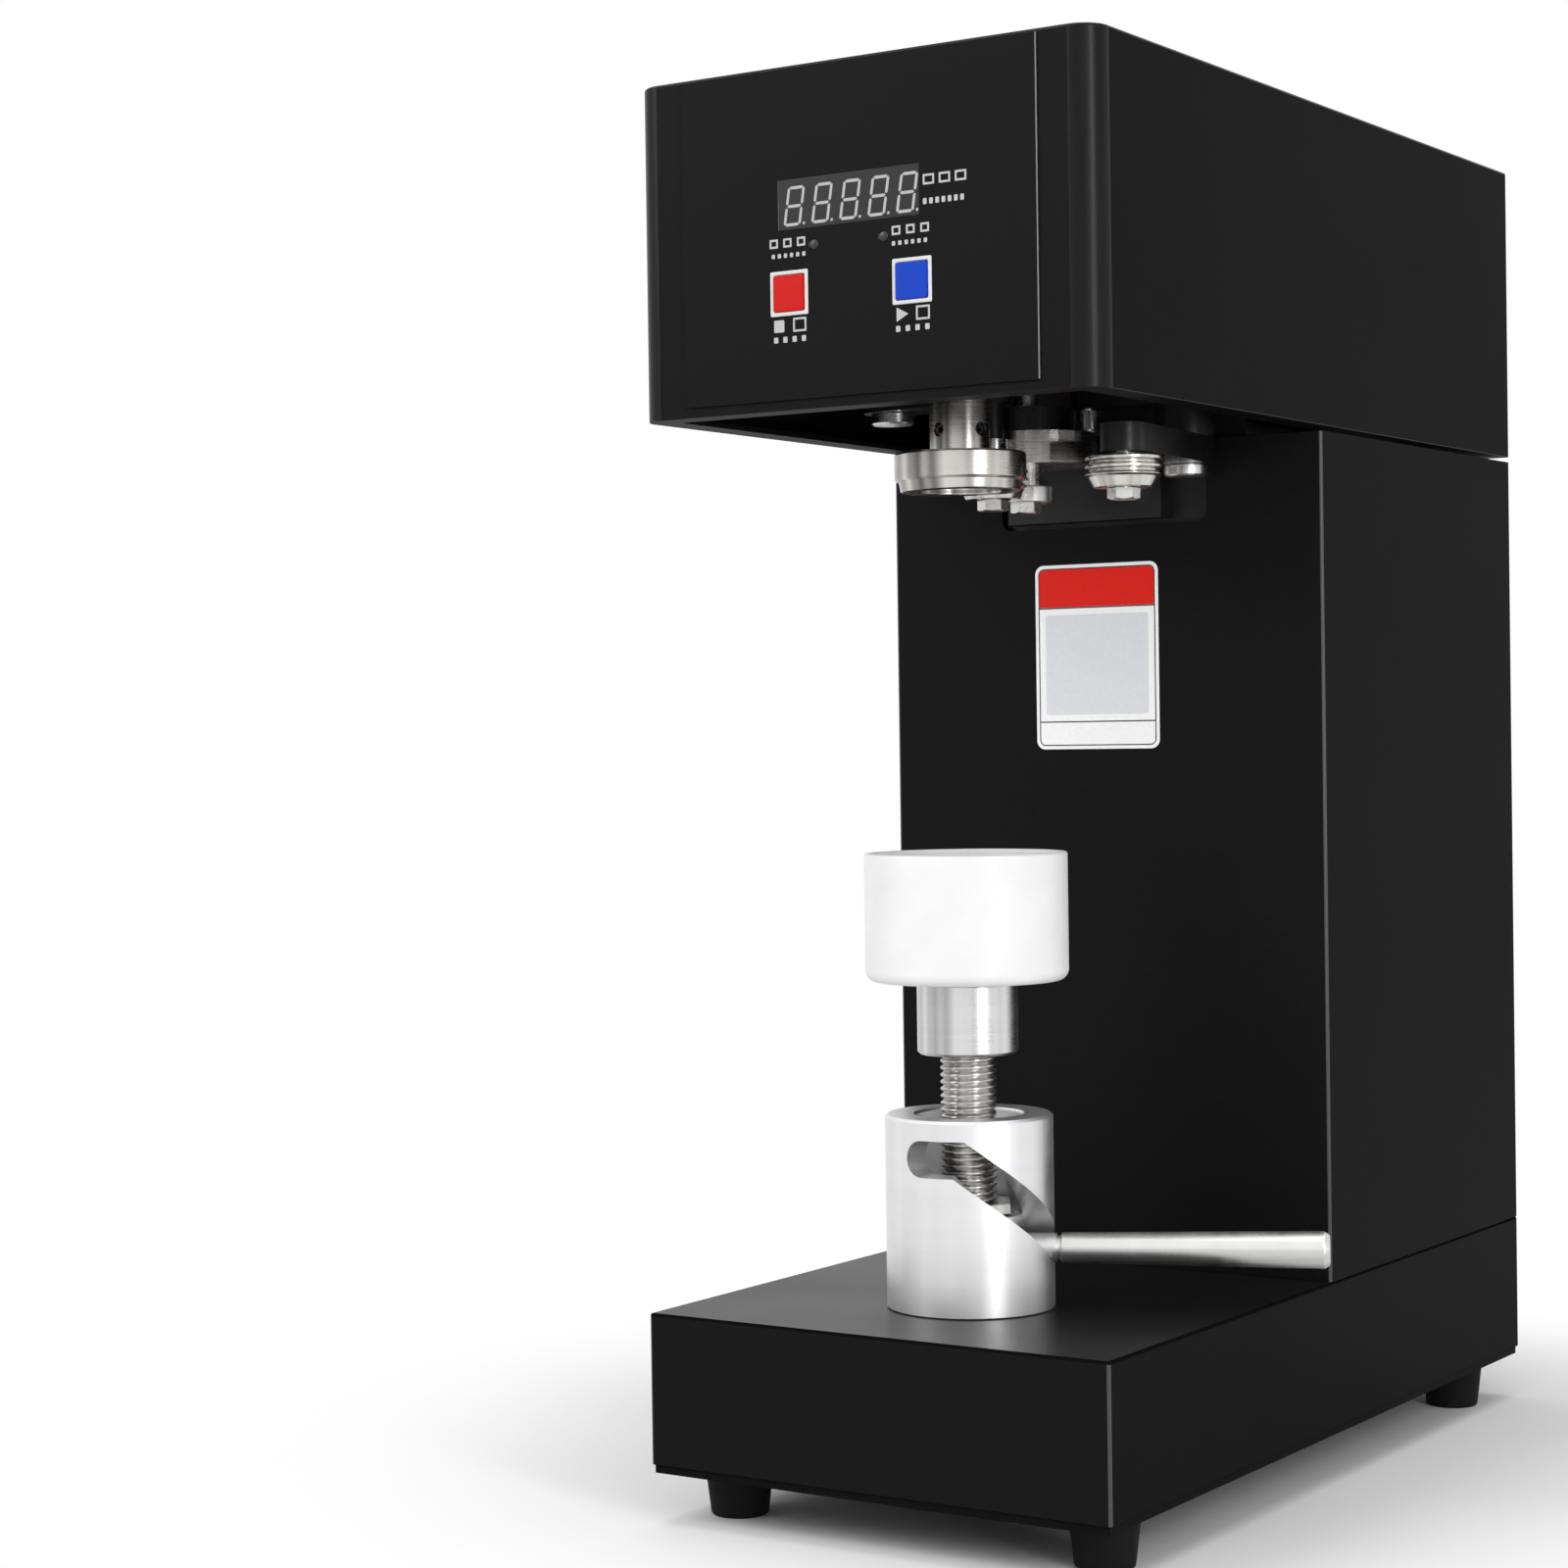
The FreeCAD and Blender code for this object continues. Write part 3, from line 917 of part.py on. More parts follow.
def pulley(name, y, belt_radius, bore):
    """Turn a flanged belt pulley with a hub below it."""
    return turned(name, "0", y, [
        (bore, f"{PULLEY_LOW} - 2.5"), (f"{bore} + 6", f"{PULLEY_LOW} - 2.5"), (f"{bore} + 6", PULLEY_LOW),
        (f"{belt_radius} + 3", PULLEY_LOW), (f"{belt_radius} + 3", f"{PULLEY_LOW} + 1"),
        (belt_radius, f"{PULLEY_LOW} + 1.6"), (belt_radius, f"{PULLEY_TOP} - 1.6"),
        (f"{belt_radius} + 3", f"{PULLEY_TOP} - 1"), (f"{belt_radius} + 3", PULLEY_TOP), (bore, PULLEY_TOP)])


node(pulley("spindle_pulley_turned", SPINDLE_Y, "spindle_pulley_radius", "pulley_bore"), "spindle_pulley")
node(pulley("motor_pulley_turned", MOTOR_Y, "motor_pulley_radius", "pulley_bore"), "motor_pulley")
node(cut("nut_bored", hexagon("nut_blank", "9", "0", SPINDLE_Y, f"{PULLEY_TOP} + 3", "5"),
         [rod("nut_bore", "4", "0", SPINDLE_Y, f"{PULLEY_TOP} + 2", "8")]), "spindle_nut")

BELT_LOW = f"({PULLEY_LOW} + 2)"
BELT_TOP = f"({PULLEY_TOP} - 2)"
belt_outside = link("belt_outside", ("0", SPINDLE_Y), "spindle_pulley_radius + fit_gap + belt_gauge",
                    ("0", MOTOR_Y), "motor_pulley_radius + fit_gap + belt_gauge", BELT_LOW, BELT_TOP)
belt_inside = link("belt_inside", ("0", SPINDLE_Y), "spindle_pulley_radius + fit_gap",
                   ("0", MOTOR_Y), "motor_pulley_radius + fit_gap", f"{BELT_LOW} - 1", f"{BELT_TOP} + 1")
node(cut("belt_cut", belt_outside, [belt_inside]), "drive_belt")

# Drive motor in the column

MOTOR_LOW = f"({HEAD_LOW} - motor_height)"
motor_can = turned("motor_can", "0", MOTOR_Y, [
    ("pulley_bore + slip_fit", f"{MOTOR_LOW} + 20"), ("pulley_bore + slip_fit", HEAD_LOW),
    ("motor_radius", HEAD_LOW),
    ("motor_radius", f"{MOTOR_LOW} + 12"), ("motor_radius - 4", f"{MOTOR_LOW} + 10"),
    ("motor_radius - 4", f"{MOTOR_LOW} + 2"), ("motor_radius - 7", MOTOR_LOW), ("0", MOTOR_LOW),
    ("0", f"{MOTOR_LOW} + 20")])
motor_plate = slab("motor_plate", oblong("-motor_flange / 2", "motor_flange / 2",
                                         f"{MOTOR_Y} - motor_flange / 2",
                                         f"{MOTOR_Y} + motor_flange / 2"), f"{HEAD_LOW} - 8", HEAD_LOW)
soften(motor_plate, "corner_radius", upright)
motor_clear = rod("motor_clear", "pulley_bore + slip_fit", "0", MOTOR_Y, f"{MOTOR_LOW} + 20", "motor_height")
motor_screw_holes = [rod(f"motor_screw_hole_{index}", "3", x, y, f"{HEAD_LOW} - 9", "10")
                     for index, (x, y) in enumerate(motor_screw_places)]
node(cut("motor_bored", joined("motor_blank", [motor_can, motor_plate]), [motor_clear] + motor_screw_holes),
     "drive_motor")
node(rod("motor_shaft_rod", "pulley_bore", "0", MOTOR_Y, f"{MOTOR_LOW} + 20 + fit_gap",
         f"{PULLEY_TOP} + 2 - ({MOTOR_LOW} + 20 + fit_gap)"), "motor_shaft")

# Cam shaft and gearmotor

node(turned("gearmotor_turned", CAM_X, CAM_Y, [
    ("cam_shaft_radius + slip_fit", HEAD_TOP), ("gearmotor_radius", HEAD_TOP),
    ("gearmotor_radius", f"{HEAD_TOP} + 22"),
    ("gearmotor_radius - 1.5", f"{HEAD_TOP} + 22"),
    ("gearmotor_radius - 1.5", f"{HEAD_TOP} + gearmotor_height - 3"),
    ("gearmotor_radius - 5", f"{HEAD_TOP} + gearmotor_height"), ("0", f"{HEAD_TOP} + gearmotor_height"),
    ("0", f"{HEAD_TOP} + 16"), ("cam_shaft_radius + slip_fit", f"{HEAD_TOP} + 16")]), "cam_gearmotor")
node(turned("bush_turned", CAM_X, CAM_Y, [
    ("cam_shaft_radius + slip_fit", f"{HEAD_LOW} - 3"), ("cam_shaft_radius + 5", f"{HEAD_LOW} - 3"),
    ("cam_shaft_radius + 5", HEAD_LOW), ("cam_shaft_radius + 2", HEAD_LOW),
    ("cam_shaft_radius + 2", HEAD_TOP),
    ("cam_shaft_radius + slip_fit", HEAD_TOP)]), "cam_shaft_bush")
node(rod("cam_shaft_rod", "cam_shaft_radius", CAM_X, CAM_Y, CHUCK_TOP,
         f"{HEAD_TOP} + 16 - fit_gap - {CHUCK_TOP}"), "cam_shaft")
cam_washer = turned("cam_washer_turned", CAM_X, CAM_Y, [
    ("0", CHUCK_LOW), ("10", CHUCK_LOW), ("10.5", f"{CHUCK_LOW} + 0.6"), ("10.5", f"{CHUCK_LOW} + 5.4"),
    ("10", f"{CHUCK_LOW} + 6"), ("5.3", f"{CHUCK_LOW} + 6"), ("5.3", CHUCK_TOP), ("0", CHUCK_TOP)])
cam_bolt = hexagon("cam_bolt_head", "bolt_head_radius", CAM_X, CAM_Y, f"{CHUCK_LOW} - bolt_head", "bolt_head")
node(group("cam_bolt_set", [cam_washer, cam_bolt]), "cam_bolt")


def turned_about(x, y, centre, angle):
    """Turn a point about a centre by an angle in radians."""
    dx, dy = x - centre[0], y - centre[1]
    return (centre[0] + dx * math.cos(angle) - dy * math.sin(angle),
            centre[1] + dx * math.sin(angle) + dy * math.cos(angle))


def working_swing(pivot, roller, distance):
    """Find how far an arm swings, clockwise seen from above, to bring its roller to a distance."""
    spindle = (0.0, number(SPINDLE_Y))
    arm = math.dist(pivot, roller)
    base = math.dist(pivot, spindle)

    def angle_at_pivot(reach):
        return math.acos((arm ** 2 + base ** 2 - reach ** 2) / (2 * arm * base))

    return angle_at_pivot(math.dist(roller, spindle)) - angle_at_pivot(distance)


def shaft_disc(points, low, high):
    """Build a cam from a closed outline of short flats about the shaft, with the shaft's hole."""
    corners = [FreeCAD.Vector(x, y, low) for x, y in points]
    blank = Part.Face(Part.makePolygon(corners + corners[:1])).extrude(FreeCAD.Vector(0, 0, high - low))
    hole = Part.makeCylinder(number("cam_shaft_radius"), high - low, FreeCAD.Vector(0, 0, low))
    return blank.cut(hole)


def smooth_step(share):
    """Rise from 0 to 1 with level ends."""
    return (1 - math.cos(math.pi * share)) / 2


first_pivot = (number(FIRST_PIVOT_X), number(FIRST_PIVOT_Y))
first_roller = (number(FIRST_ROLLER_X), number(FIRST_ROLLER_Y))
first_swing = working_swing(first_pivot, first_roller, number("chuck_radius + roller_radius + fit_gap"))
cam_centre = (number(CAM_X), number(CAM_Y))
second_pivot = (number(SECOND_PIVOT_X), number(SECOND_PIVOT_Y))
second_roller = (number(SECOND_ROLLER_X), number(SECOND_ROLLER_Y))
second_swing = working_swing(second_pivot, second_roller,
                             number("chuck_radius + second_roller_radius + fit_gap"))


def first_cam_outline():
    """Trace the first cam.

    The cam turns clockwise while the first arm swings in step with it, so in the cam's own frame the
    follower's middle runs along a spiral. Its distance from the shaft less the follower's radius and
    gap, both corrected for the slope of the spiral, is the flank. A smooth fall closes the outline.
    """
    turn = math.radians(number("cam_turn"))
    keep_off = number("follower_radius + fit_gap")
    steps = 14
    overrun = 2
    track = []
    for step in range(-overrun, steps + overrun + 1):
        share = step / steps
        held = min(max(share, 0.0), 1.0)
        x, y = turned_about(*first_roller, first_pivot, -first_swing * held)
        track.append(turned_about(x - cam_centre[0], y - cam_centre[1], (0, 0), turn * share))
    flank = []
    for before, here, after in zip(track, track[1:], track[2:]):
        slope = math.atan2(after[1] - before[1], after[0] - before[0])
        flank.append((here[0] - keep_off * math.sin(slope), here[1] + keep_off * math.cos(slope)))
    first_angle = math.atan2(flank[-1][1], flank[-1][0])
    fall = math.tau - (first_angle - math.atan2(flank[0][1], flank[0][0])) % math.tau
    high, low = math.hypot(*flank[-1]), math.hypot(*flank[0])
    closing = []
    points = 36
    for step in range(1, points):
        share = step / points
        radius = high + (low - high) * smooth_step(min(1.0, share * 1.6))
        closing.append((radius * math.cos(first_angle + fall * share),
                        radius * math.sin(first_angle + fall * share)))
    return flank + closing


def second_cam_outline():
    """Trace the second cam: a base circle with one lobe that rises and falls smoothly."""
    low, high = number("second_cam_low"), number("second_cam_high")
    middle, spread = number("second_cam_lobe"), number("second_cam_spread")
    points = []
    for angle in range(0, 360, 6):
        away = abs((angle - middle + 180) % 360 - 180)
        lift = smooth_step(1 - away / spread) if away < spread else 0.0
        radius = low + (high - low) * lift
        points.append((radius * math.cos(math.radians(angle)), radius * math.sin(math.radians(angle))))
    return points


for name, points, low, high in (("first_cam", first_cam_outline(), CHUCK_TOP, CAM_MIDDLE),
                                ("second_cam", second_cam_outline(), CAM_MIDDLE, CAM_TOP)):
    cam = doc.addObject("Part::Feature", f"{name}_disc")
    cam.Shape = shaft_disc(points, number(low), number(high))
    cam.Placement = FreeCAD.Placement(FreeCAD.Vector(*cam_centre, 0), FreeCAD.Rotation())
    node(cam, name)

# Arms, pivots, followers and rollers

ROLLER_TOP = f"({CHUCK_LOW} + roller_height)"
FOLLOWER_LOW = f"({CHUCK_TOP} + 1.5)"
first_bar = link("first_bar", (FIRST_PIVOT_X, FIRST_PIVOT_Y), "arm_hub_radius",
                 (FIRST_ROLLER_X, FIRST_ROLLER_Y), "arm_tip_radius", ARM_LOW, ARM_TOP)
first_boss = rod("first_boss", "roller_bolt + 1.5", FIRST_ROLLER_X, FIRST_ROLLER_Y,
                 f"{FOLLOWER_LOW} + follower_width + fit_gap",
                 f"{ARM_LOW} + 1 - ({FOLLOWER_LOW} + follower_width + fit_gap)")
node(cut("first_arm_drilled", joined("first_arm_blank", [first_bar, first_boss]), [
    rod("first_arm_bore", "pivot_radius + slip_fit", FIRST_PIVOT_X, FIRST_PIVOT_Y, f"{ARM_LOW} - 1",
        "arm_gauge + 2"),
    rod("first_bolt_hole", "roller_bolt", FIRST_ROLLER_X, FIRST_ROLLER_Y, CHUCK_TOP,
        f"{ARM_TOP} + 1 - {CHUCK_TOP}")]), "first_arm")

LOWER_BAR = f"({CHUCK_TOP} - 1)"
LOWER_BAR_TOP = f"({LOWER_BAR} + lower_bar_gauge)"
lower_bar = link("lower_bar", (SECOND_PIVOT_X, SECOND_PIVOT_Y), "arm_hub_radius",
                 (SECOND_ROLLER_X, SECOND_ROLLER_Y), "arm_tip_radius", LOWER_BAR, LOWER_BAR_TOP)
tall_hub = rod("tall_hub", "arm_hub_radius", SECOND_PIVOT_X, SECOND_PIVOT_Y, LOWER_BAR,
               f"{ARM_TOP} - {LOWER_BAR}")
upper_lug = link("upper_lug", (SECOND_PIVOT_X, SECOND_PIVOT_Y), "arm_hub_radius",
                 (SECOND_FOLLOWER_X, SECOND_FOLLOWER_Y), "arm_tip_radius - 2", ARM_LOW, ARM_TOP)
node(cut("second_arm_drilled", joined("second_arm_blank", [lower_bar, tall_hub, upper_lug]), [
    rod("second_arm_bore", "pivot_radius + slip_fit", SECOND_PIVOT_X, SECOND_PIVOT_Y, f"{LOWER_BAR} - 1",
        f"{ARM_TOP} + 2 - {LOWER_BAR}"),
    rod("second_bolt_hole", "roller_bolt", SECOND_ROLLER_X, SECOND_ROLLER_Y, f"{LOWER_BAR} - 1",
        "lower_bar_gauge + 2"),
    rod("second_follower_hole", "roller_bolt", SECOND_FOLLOWER_X, SECOND_FOLLOWER_Y, f"{ARM_LOW} - 1",
        "arm_gauge + 2")]), "second_arm")


def pivot_bolt(name, x, y, underside):
    """Turn the shoulder bolt that an arm swings on, screwed up into the head plate."""
    top = f"({underside} - fit_gap)"
    return turned(name, x, y, [
        ("0", f"{top} - bolt_head"), ("pivot_head_radius - 0.6", f"{top} - bolt_head"),
        ("pivot_head_radius", f"{top} - bolt_head + 0.6"), ("pivot_head_radius", top), ("pivot_radius", top),
        ("pivot_radius", HEAD_TOP), ("0", HEAD_TOP)])


node(group("pivot_set", [
    pivot_bolt("first_pivot_turned", FIRST_PIVOT_X, FIRST_PIVOT_Y, ARM_LOW),
    pivot_bolt("second_pivot_turned", SECOND_PIVOT_X, SECOND_PIVOT_Y, LOWER_BAR)]), "arm_pivots")


def return_spring(name, x, y):
    """Turn the closed coils of a torsion spring that lies round a pivot bolt, above its arm."""
    low = f"({ARM_TOP} + fit_gap)"
    coil = f"(({HEAD_LOW} - {ARM_TOP} - 2 * fit_gap) / spring_turns)"
    inner = "(pivot_radius + 1)"
    outer = f"({inner} + 2 * spring_wire)"
    profile = [(inner, low)]
    for turn in range(int(number("spring_turns"))):
        profile += [(f"{outer} - spring_wire", f"{low} + {turn} * {coil}"),
                    (outer, f"{low} + {turn + 0.5} * {coil}")]
    profile += [(f"{outer} - spring_wire", f"{HEAD_LOW} - fit_gap"), (inner, f"{HEAD_LOW} - fit_gap")]
    return turned(name, x, y, profile)


node(group("spring_set", [
    return_spring("first_spring", FIRST_PIVOT_X, FIRST_PIVOT_Y),
    return_spring("second_spring", SECOND_PIVOT_X, SECOND_PIVOT_Y)]), "arm_springs")


def roller(name, x, y, radius, neck_top):
    """Turn a seaming roller: a rim over a taper, with a neck up to its arm or follower."""
    return turned(name, x, y, [
        ("roller_bolt + slip_fit", CHUCK_LOW), (f"{radius} - 3", CHUCK_LOW), (radius, f"{CHUCK_LOW} + 4.4"),
        (radius, ROLLER_TOP), ("roller_neck", ROLLER_TOP), ("roller_neck", neck_top),
        ("roller_bolt + slip_fit", neck_top)])


def roller_bolt(name, x, y, top):
    """Make the hexagon bolt that a roller turns on."""
    head = hexagon(f"{name}_head", "bolt_head_radius", x, y, f"{CHUCK_LOW} - fit_gap - bolt_head",
                   "bolt_head")
    shank = rod(f"{name}_shank", "roller_bolt", x, y, f"{CHUCK_LOW} - fit_gap",
                f"{top} - ({CHUCK_LOW} - fit_gap)")
    return joined(name, [head, shank])


node(roller("first_roller_turned", FIRST_ROLLER_X, FIRST_ROLLER_Y, "roller_radius",
            f"{FOLLOWER_LOW} - fit_gap"),
     "first_roller")
node(roller("second_roller_turned", SECOND_ROLLER_X, SECOND_ROLLER_Y, "second_roller_radius",
            f"{LOWER_BAR} - fit_gap"), "second_roller")
node(roller_bolt("first_bolt", FIRST_ROLLER_X, FIRST_ROLLER_Y, ARM_TOP), "first_roller_bolt")
node(ring("first_follower_ring", FIRST_ROLLER_X, FIRST_ROLLER_Y, "roller_bolt + slip_fit", "follower_radius",
          FOLLOWER_LOW, f"{FOLLOWER_LOW} + follower_width"), "first_follower")
SECOND_FOLLOWER_LOW = f"({CAM_MIDDLE} + 2)"
node(ring("second_follower_ring", SECOND_FOLLOWER_X, SECOND_FOLLOWER_Y, "roller_bolt + slip_fit",
          "second_follower_radius", SECOND_FOLLOWER_LOW, f"{SECOND_FOLLOWER_LOW} + follower_width"),
     "second_follower")
follower_head = rod("follower_head", "roller_bolt + 1.6", SECOND_FOLLOWER_X, SECOND_FOLLOWER_Y,
                    f"{SECOND_FOLLOWER_LOW} - fit_gap - 1.2", "1.2")
follower_shank = rod("follower_shank", "roller_bolt", SECOND_FOLLOWER_X, SECOND_FOLLOWER_Y,
                     f"{SECOND_FOLLOWER_LOW} - fit_gap", f"{ARM_TOP} - ({SECOND_FOLLOWER_LOW} - fit_gap)")
node(group("second_bolt_set", [
    roller_bolt("second_bolt", SECOND_ROLLER_X, SECOND_ROLLER_Y, LOWER_BAR_TOP),
    joined("follower_pin", [follower_head, follower_shank])]), "second_arm_bolts")

# Cam barrel with its helical slot

barrel_blank = turned("barrel_turned", "0", SPINDLE_Y, [
    ("0", BASE_TOP), ("barrel_radius - 0.5", BASE_TOP), ("barrel_radius", f"{BASE_TOP} + 0.5"),
    ("barrel_radius", f"{BARREL_TOP} - 1"), ("barrel_radius - 1", BARREL_TOP),
    ("barrel_bore + 0.8", BARREL_TOP),
    ("barrel_bore", f"{BARREL_TOP} - 0.8"), ("barrel_bore", f"{BASE_TOP} + barrel_floor"),
    ("0", f"{BASE_TOP} + barrel_floor")])


def cam_slot():
    """Build the cutters for the cam slot.

    The climbing stretch is a strip of the slot's width carried along a helix, square to the helix. It
    runs on past the bend and is trimmed at the level stretch's upper edge, so the edges meet in sharp
    corners. The level stretch is a sector of a ring. A round cutter closes each end.
    """
    reach = number("barrel_radius")
    width = number("slot_width")
    rise = number("slot_rise")
    swing = math.radians(number("lever_swing"))
    start = math.radians(number("lever_angle"))
    low = number(LEVER_Z)
    high = number(DWELL_Z)
    inner, outer = number("barrel_bore") - 2, reach + 2
    middle = (inner + outer) / 2
    pitch = rise * math.tau / swing
    slope = math.atan2(rise, middle * swing)
    past_bend = math.radians(11)
    helix = Part.makeHelix(pitch, rise * (1 + past_bend / swing), middle, 0, True)
    across = FreeCAD.Vector(0, math.sin(slope), math.cos(slope)) * (width / 2)
    corners = [FreeCAD.Vector(radius, 0, 0) + across * way
               for radius, way in ((inner, -1), (outer, -1), (outer, 1), (inner, 1))]
    sweep = Part.BRepOffsetAPI.MakePipeShell(helix)
    sweep.setFrenetMode(True)
    sweep.add(Part.makePolygon(corners + corners[:1]))
    sweep.build()
    sweep.makeSolid()
    climb = sweep.shape()
    climb.rotate(FreeCAD.Vector(), FreeCAD.Vector(0, 0, 1), math.degrees(start))
    climb.translate(FreeCAD.Vector(0, 0, low))
    climb = climb.common(Part.makeCylinder(outer * 2, high + width / 2))
    dwell = math.radians(number("slot_dwell"))
    bend = start - swing
    across_level = ((inner, -1), (outer, -1), (outer, 1), (inner, 1), (inner, -1))
    section = Part.Face(Part.makePolygon([FreeCAD.Vector(radius, 0, high + way * width / 2)
                                          for radius, way in across_level]))
    section.rotate(FreeCAD.Vector(), FreeCAD.Vector(0, 0, 1), math.degrees(bend))
    level = section.revolve(FreeCAD.Vector(), FreeCAD.Vector(0, 0, 1), -math.degrees(dwell))
    ends = []
    for angle, height in ((start, low), (bend - dwell, high)):
        heading = FreeCAD.Vector(math.cos(angle), math.sin(angle), 0)
        ends.append(Part.makeCylinder(width / 2, outer - inner,
                                      heading * inner + FreeCAD.Vector(0, 0, height), heading))
    return [climb, level] + ends


barrel = cut("barrel_drilled", barrel_blank, [
    rod(f"barrel_screw_hole_{index}", "3", *round_barrel(angle), f"{BASE_TOP} - 1", "12")
    for index, angle in enumerate(BARREL_SCREWS)])
for index, shape in enumerate(cam_slot()):
    cutter = doc.addObject("Part::Feature", f"slot_cutter_{index}")
    cutter.Shape = shape
    cutter.Placement = FreeCAD.Placement(FreeCAD.Vector(0, number(SPINDLE_Y), 0), FreeCAD.Rotation())
    barrel = cut(f"barrel_slotted_{index}", barrel, [cutter])
    barrel.Refine = False
node(barrel, "cam_barrel")

# Lift screw, sleeve, lever, collar, bearing and cup

threaded_rod = rod("lift_screw_rod", "screw_radius", "0", SPINDLE_Y, f"{SLEEVE_LOW} + 1",
                   f"{COLLAR_LOW} + collar_engaged - ({SLEEVE_LOW} + 1)")
lock_nut = cut("lock_nut_bored", hexagon("lock_nut_blank", "nut_radius", "0", SPINDLE_Y,
                                         f"{SLEEVE_TOP} + fit_gap", "nut_height"),
               [rod("lock_nut_bore", "screw_radius", "0", SPINDLE_Y, SLEEVE_TOP, "nut_height + 2")])
node(group("lift_screw_set", [threaded_rod, lock_nut]), "lift_screw")
sleeve_blank = ring("sleeve_turned", "0", SPINDLE_Y, "screw_radius + slip_fit", "barrel_bore - slip_fit",
                    SLEEVE_LOW, SLEEVE_TOP)
STUD_RADIUS = "(lever_root - 1.2)"
STUD_INNER = "(screw_radius + 2)"


def pointed(item):
    """Point a rod that was made along X in the direction of the lever."""
    item.Placement = FreeCAD.Placement(FreeCAD.Vector(), FreeCAD.Rotation(FreeCAD.Vector(0, 0, 1), 0))
    item.setExpression("Placement.Rotation.Angle", linked("lever_angle * 1deg"))
    put(item, "0", SPINDLE_Y, LEVER_Z)
    return item


def along_lever(name, profile):
    """Turn a profile of distance and radius pairs about the lever's axis."""
    body = new_body(name)
    sketch = new_sketch(body, "XZ_Plane")
    outline(sketch, profile)
    turn = body.newObject("PartDesign::Revolution", f"{name}_turn")
    turn.Profile = sketch
    turn.ReferenceAxis = (sketch, ["H_Axis"])
    turn.Angle = 360
    return pointed(body)


stud_hole = along_lever("stud_hole", [
    (STUD_INNER, "0"), ("barrel_bore + 2", "0"), ("barrel_bore + 2", STUD_RADIUS), (STUD_INNER, STUD_RADIUS)])
node(cut("sleeve_drilled", sleeve_blank, [stud_hole]), "piston_sleeve")
SHOULDER = "(barrel_bore + fit_gap)"
OUTSIDE = "(barrel_radius + 1)"
node(along_lever("lever_turned", [
    (STUD_INNER, "0"), ("lever_length", "0"), ("lever_length", "lever_thick - 2"),
    ("lever_length - 0.6", "lever_thick - 0.8"), ("lever_length - 2", "lever_thick"),
    (f"{OUTSIDE} + 0.4", "lever_thin"), (OUTSIDE, "lever_root"), (SHOULDER, "lever_root"),
    (SHOULDER, STUD_RADIUS), (STUD_INNER, STUD_RADIUS)]), "lift_lever")

SPIGOT_TOP = f"({COLLAR_TOP} + cup_bearing_height - 1)"
node(turned("collar_turned", "0", SPINDLE_Y, [
    ("screw_radius + slip_fit", COLLAR_LOW), ("collar_radius - 1", COLLAR_LOW),
    ("collar_radius", f"{COLLAR_LOW} + 1"),
    ("collar_radius", f"{COLLAR_TOP} - 1"), ("collar_radius - 1", COLLAR_TOP), ("screw_radius", COLLAR_TOP),
    ("screw_radius", SPIGOT_TOP), ("0", SPIGOT_TOP), ("0", f"{COLLAR_TOP} - 3"),
    ("screw_radius + slip_fit", f"{COLLAR_TOP} - 3")]), "height_collar")
node(ring("cup_bearing_ring", "0", SPINDLE_Y, "screw_radius + slip_fit", "cup_bearing_radius",
          COLLAR_TOP, f"{COLLAR_TOP} + cup_bearing_height"), "cup_bearing")
CUP_CEILING = f"({COLLAR_TOP} + cup_bearing_height)"
node(turned("cup_turned", "0", SPINDLE_Y, [
    ("0", CUP_CEILING), ("cup_bearing_radius + slip_fit", CUP_CEILING),
    ("cup_bearing_radius + slip_fit", f"{COLLAR_TOP} + fit_gap"),
    ("cup_radius - cup_chamfer", f"{COLLAR_TOP} + fit_gap"),
    ("cup_radius - cup_chamfer * 0.3", f"{COLLAR_TOP} + fit_gap + cup_chamfer * 0.3"),
    ("cup_radius", f"{COLLAR_TOP} + fit_gap + cup_chamfer"), ("cup_radius", f"{CUP_TOP} - 0.6"),
    ("cup_radius - 0.6", CUP_TOP), ("cup_bore + 0.6", CUP_TOP), ("cup_bore", f"{CUP_TOP} - 0.6"),
    ("cup_bore", CUP_FLOOR), ("0", CUP_FLOOR)]), "can_cup")

# Check every object and write the sub-parts

doc.recompute()
faults = [item.Label for item in doc.Objects if {"Invalid", "Error"} & set(item.State)]
faults += [item.Label for item in nodes
           if item.Shape.isNull() or not item.Shape.isValid() or not item.Shape.Solids]
if faults:
    raise RuntimeError(f"objects that did not come out: {faults}")
os.makedirs("parts", exist_ok=True)
for item in nodes:
    item.Shape.exportStep(f"parts/{item.Label}.step")
print(f"first arm swings {math.degrees(first_swing):.3f} degrees, second {math.degrees(second_swing):.3f}")
print(f"{len(nodes)} sub-parts, {sum(len(item.Shape.Solids) for item in nodes)} solids")
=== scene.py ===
import json
import logging
import math
from dataclasses import dataclass, field
from enum import Enum
from functools import reduce
from operator import add
from typing import Callable, Iterable, Sequence

import bmesh
import bpy
import numpy as np
from mathutils import Matrix, Vector
from mathutils.geometry import tessellate_polygon

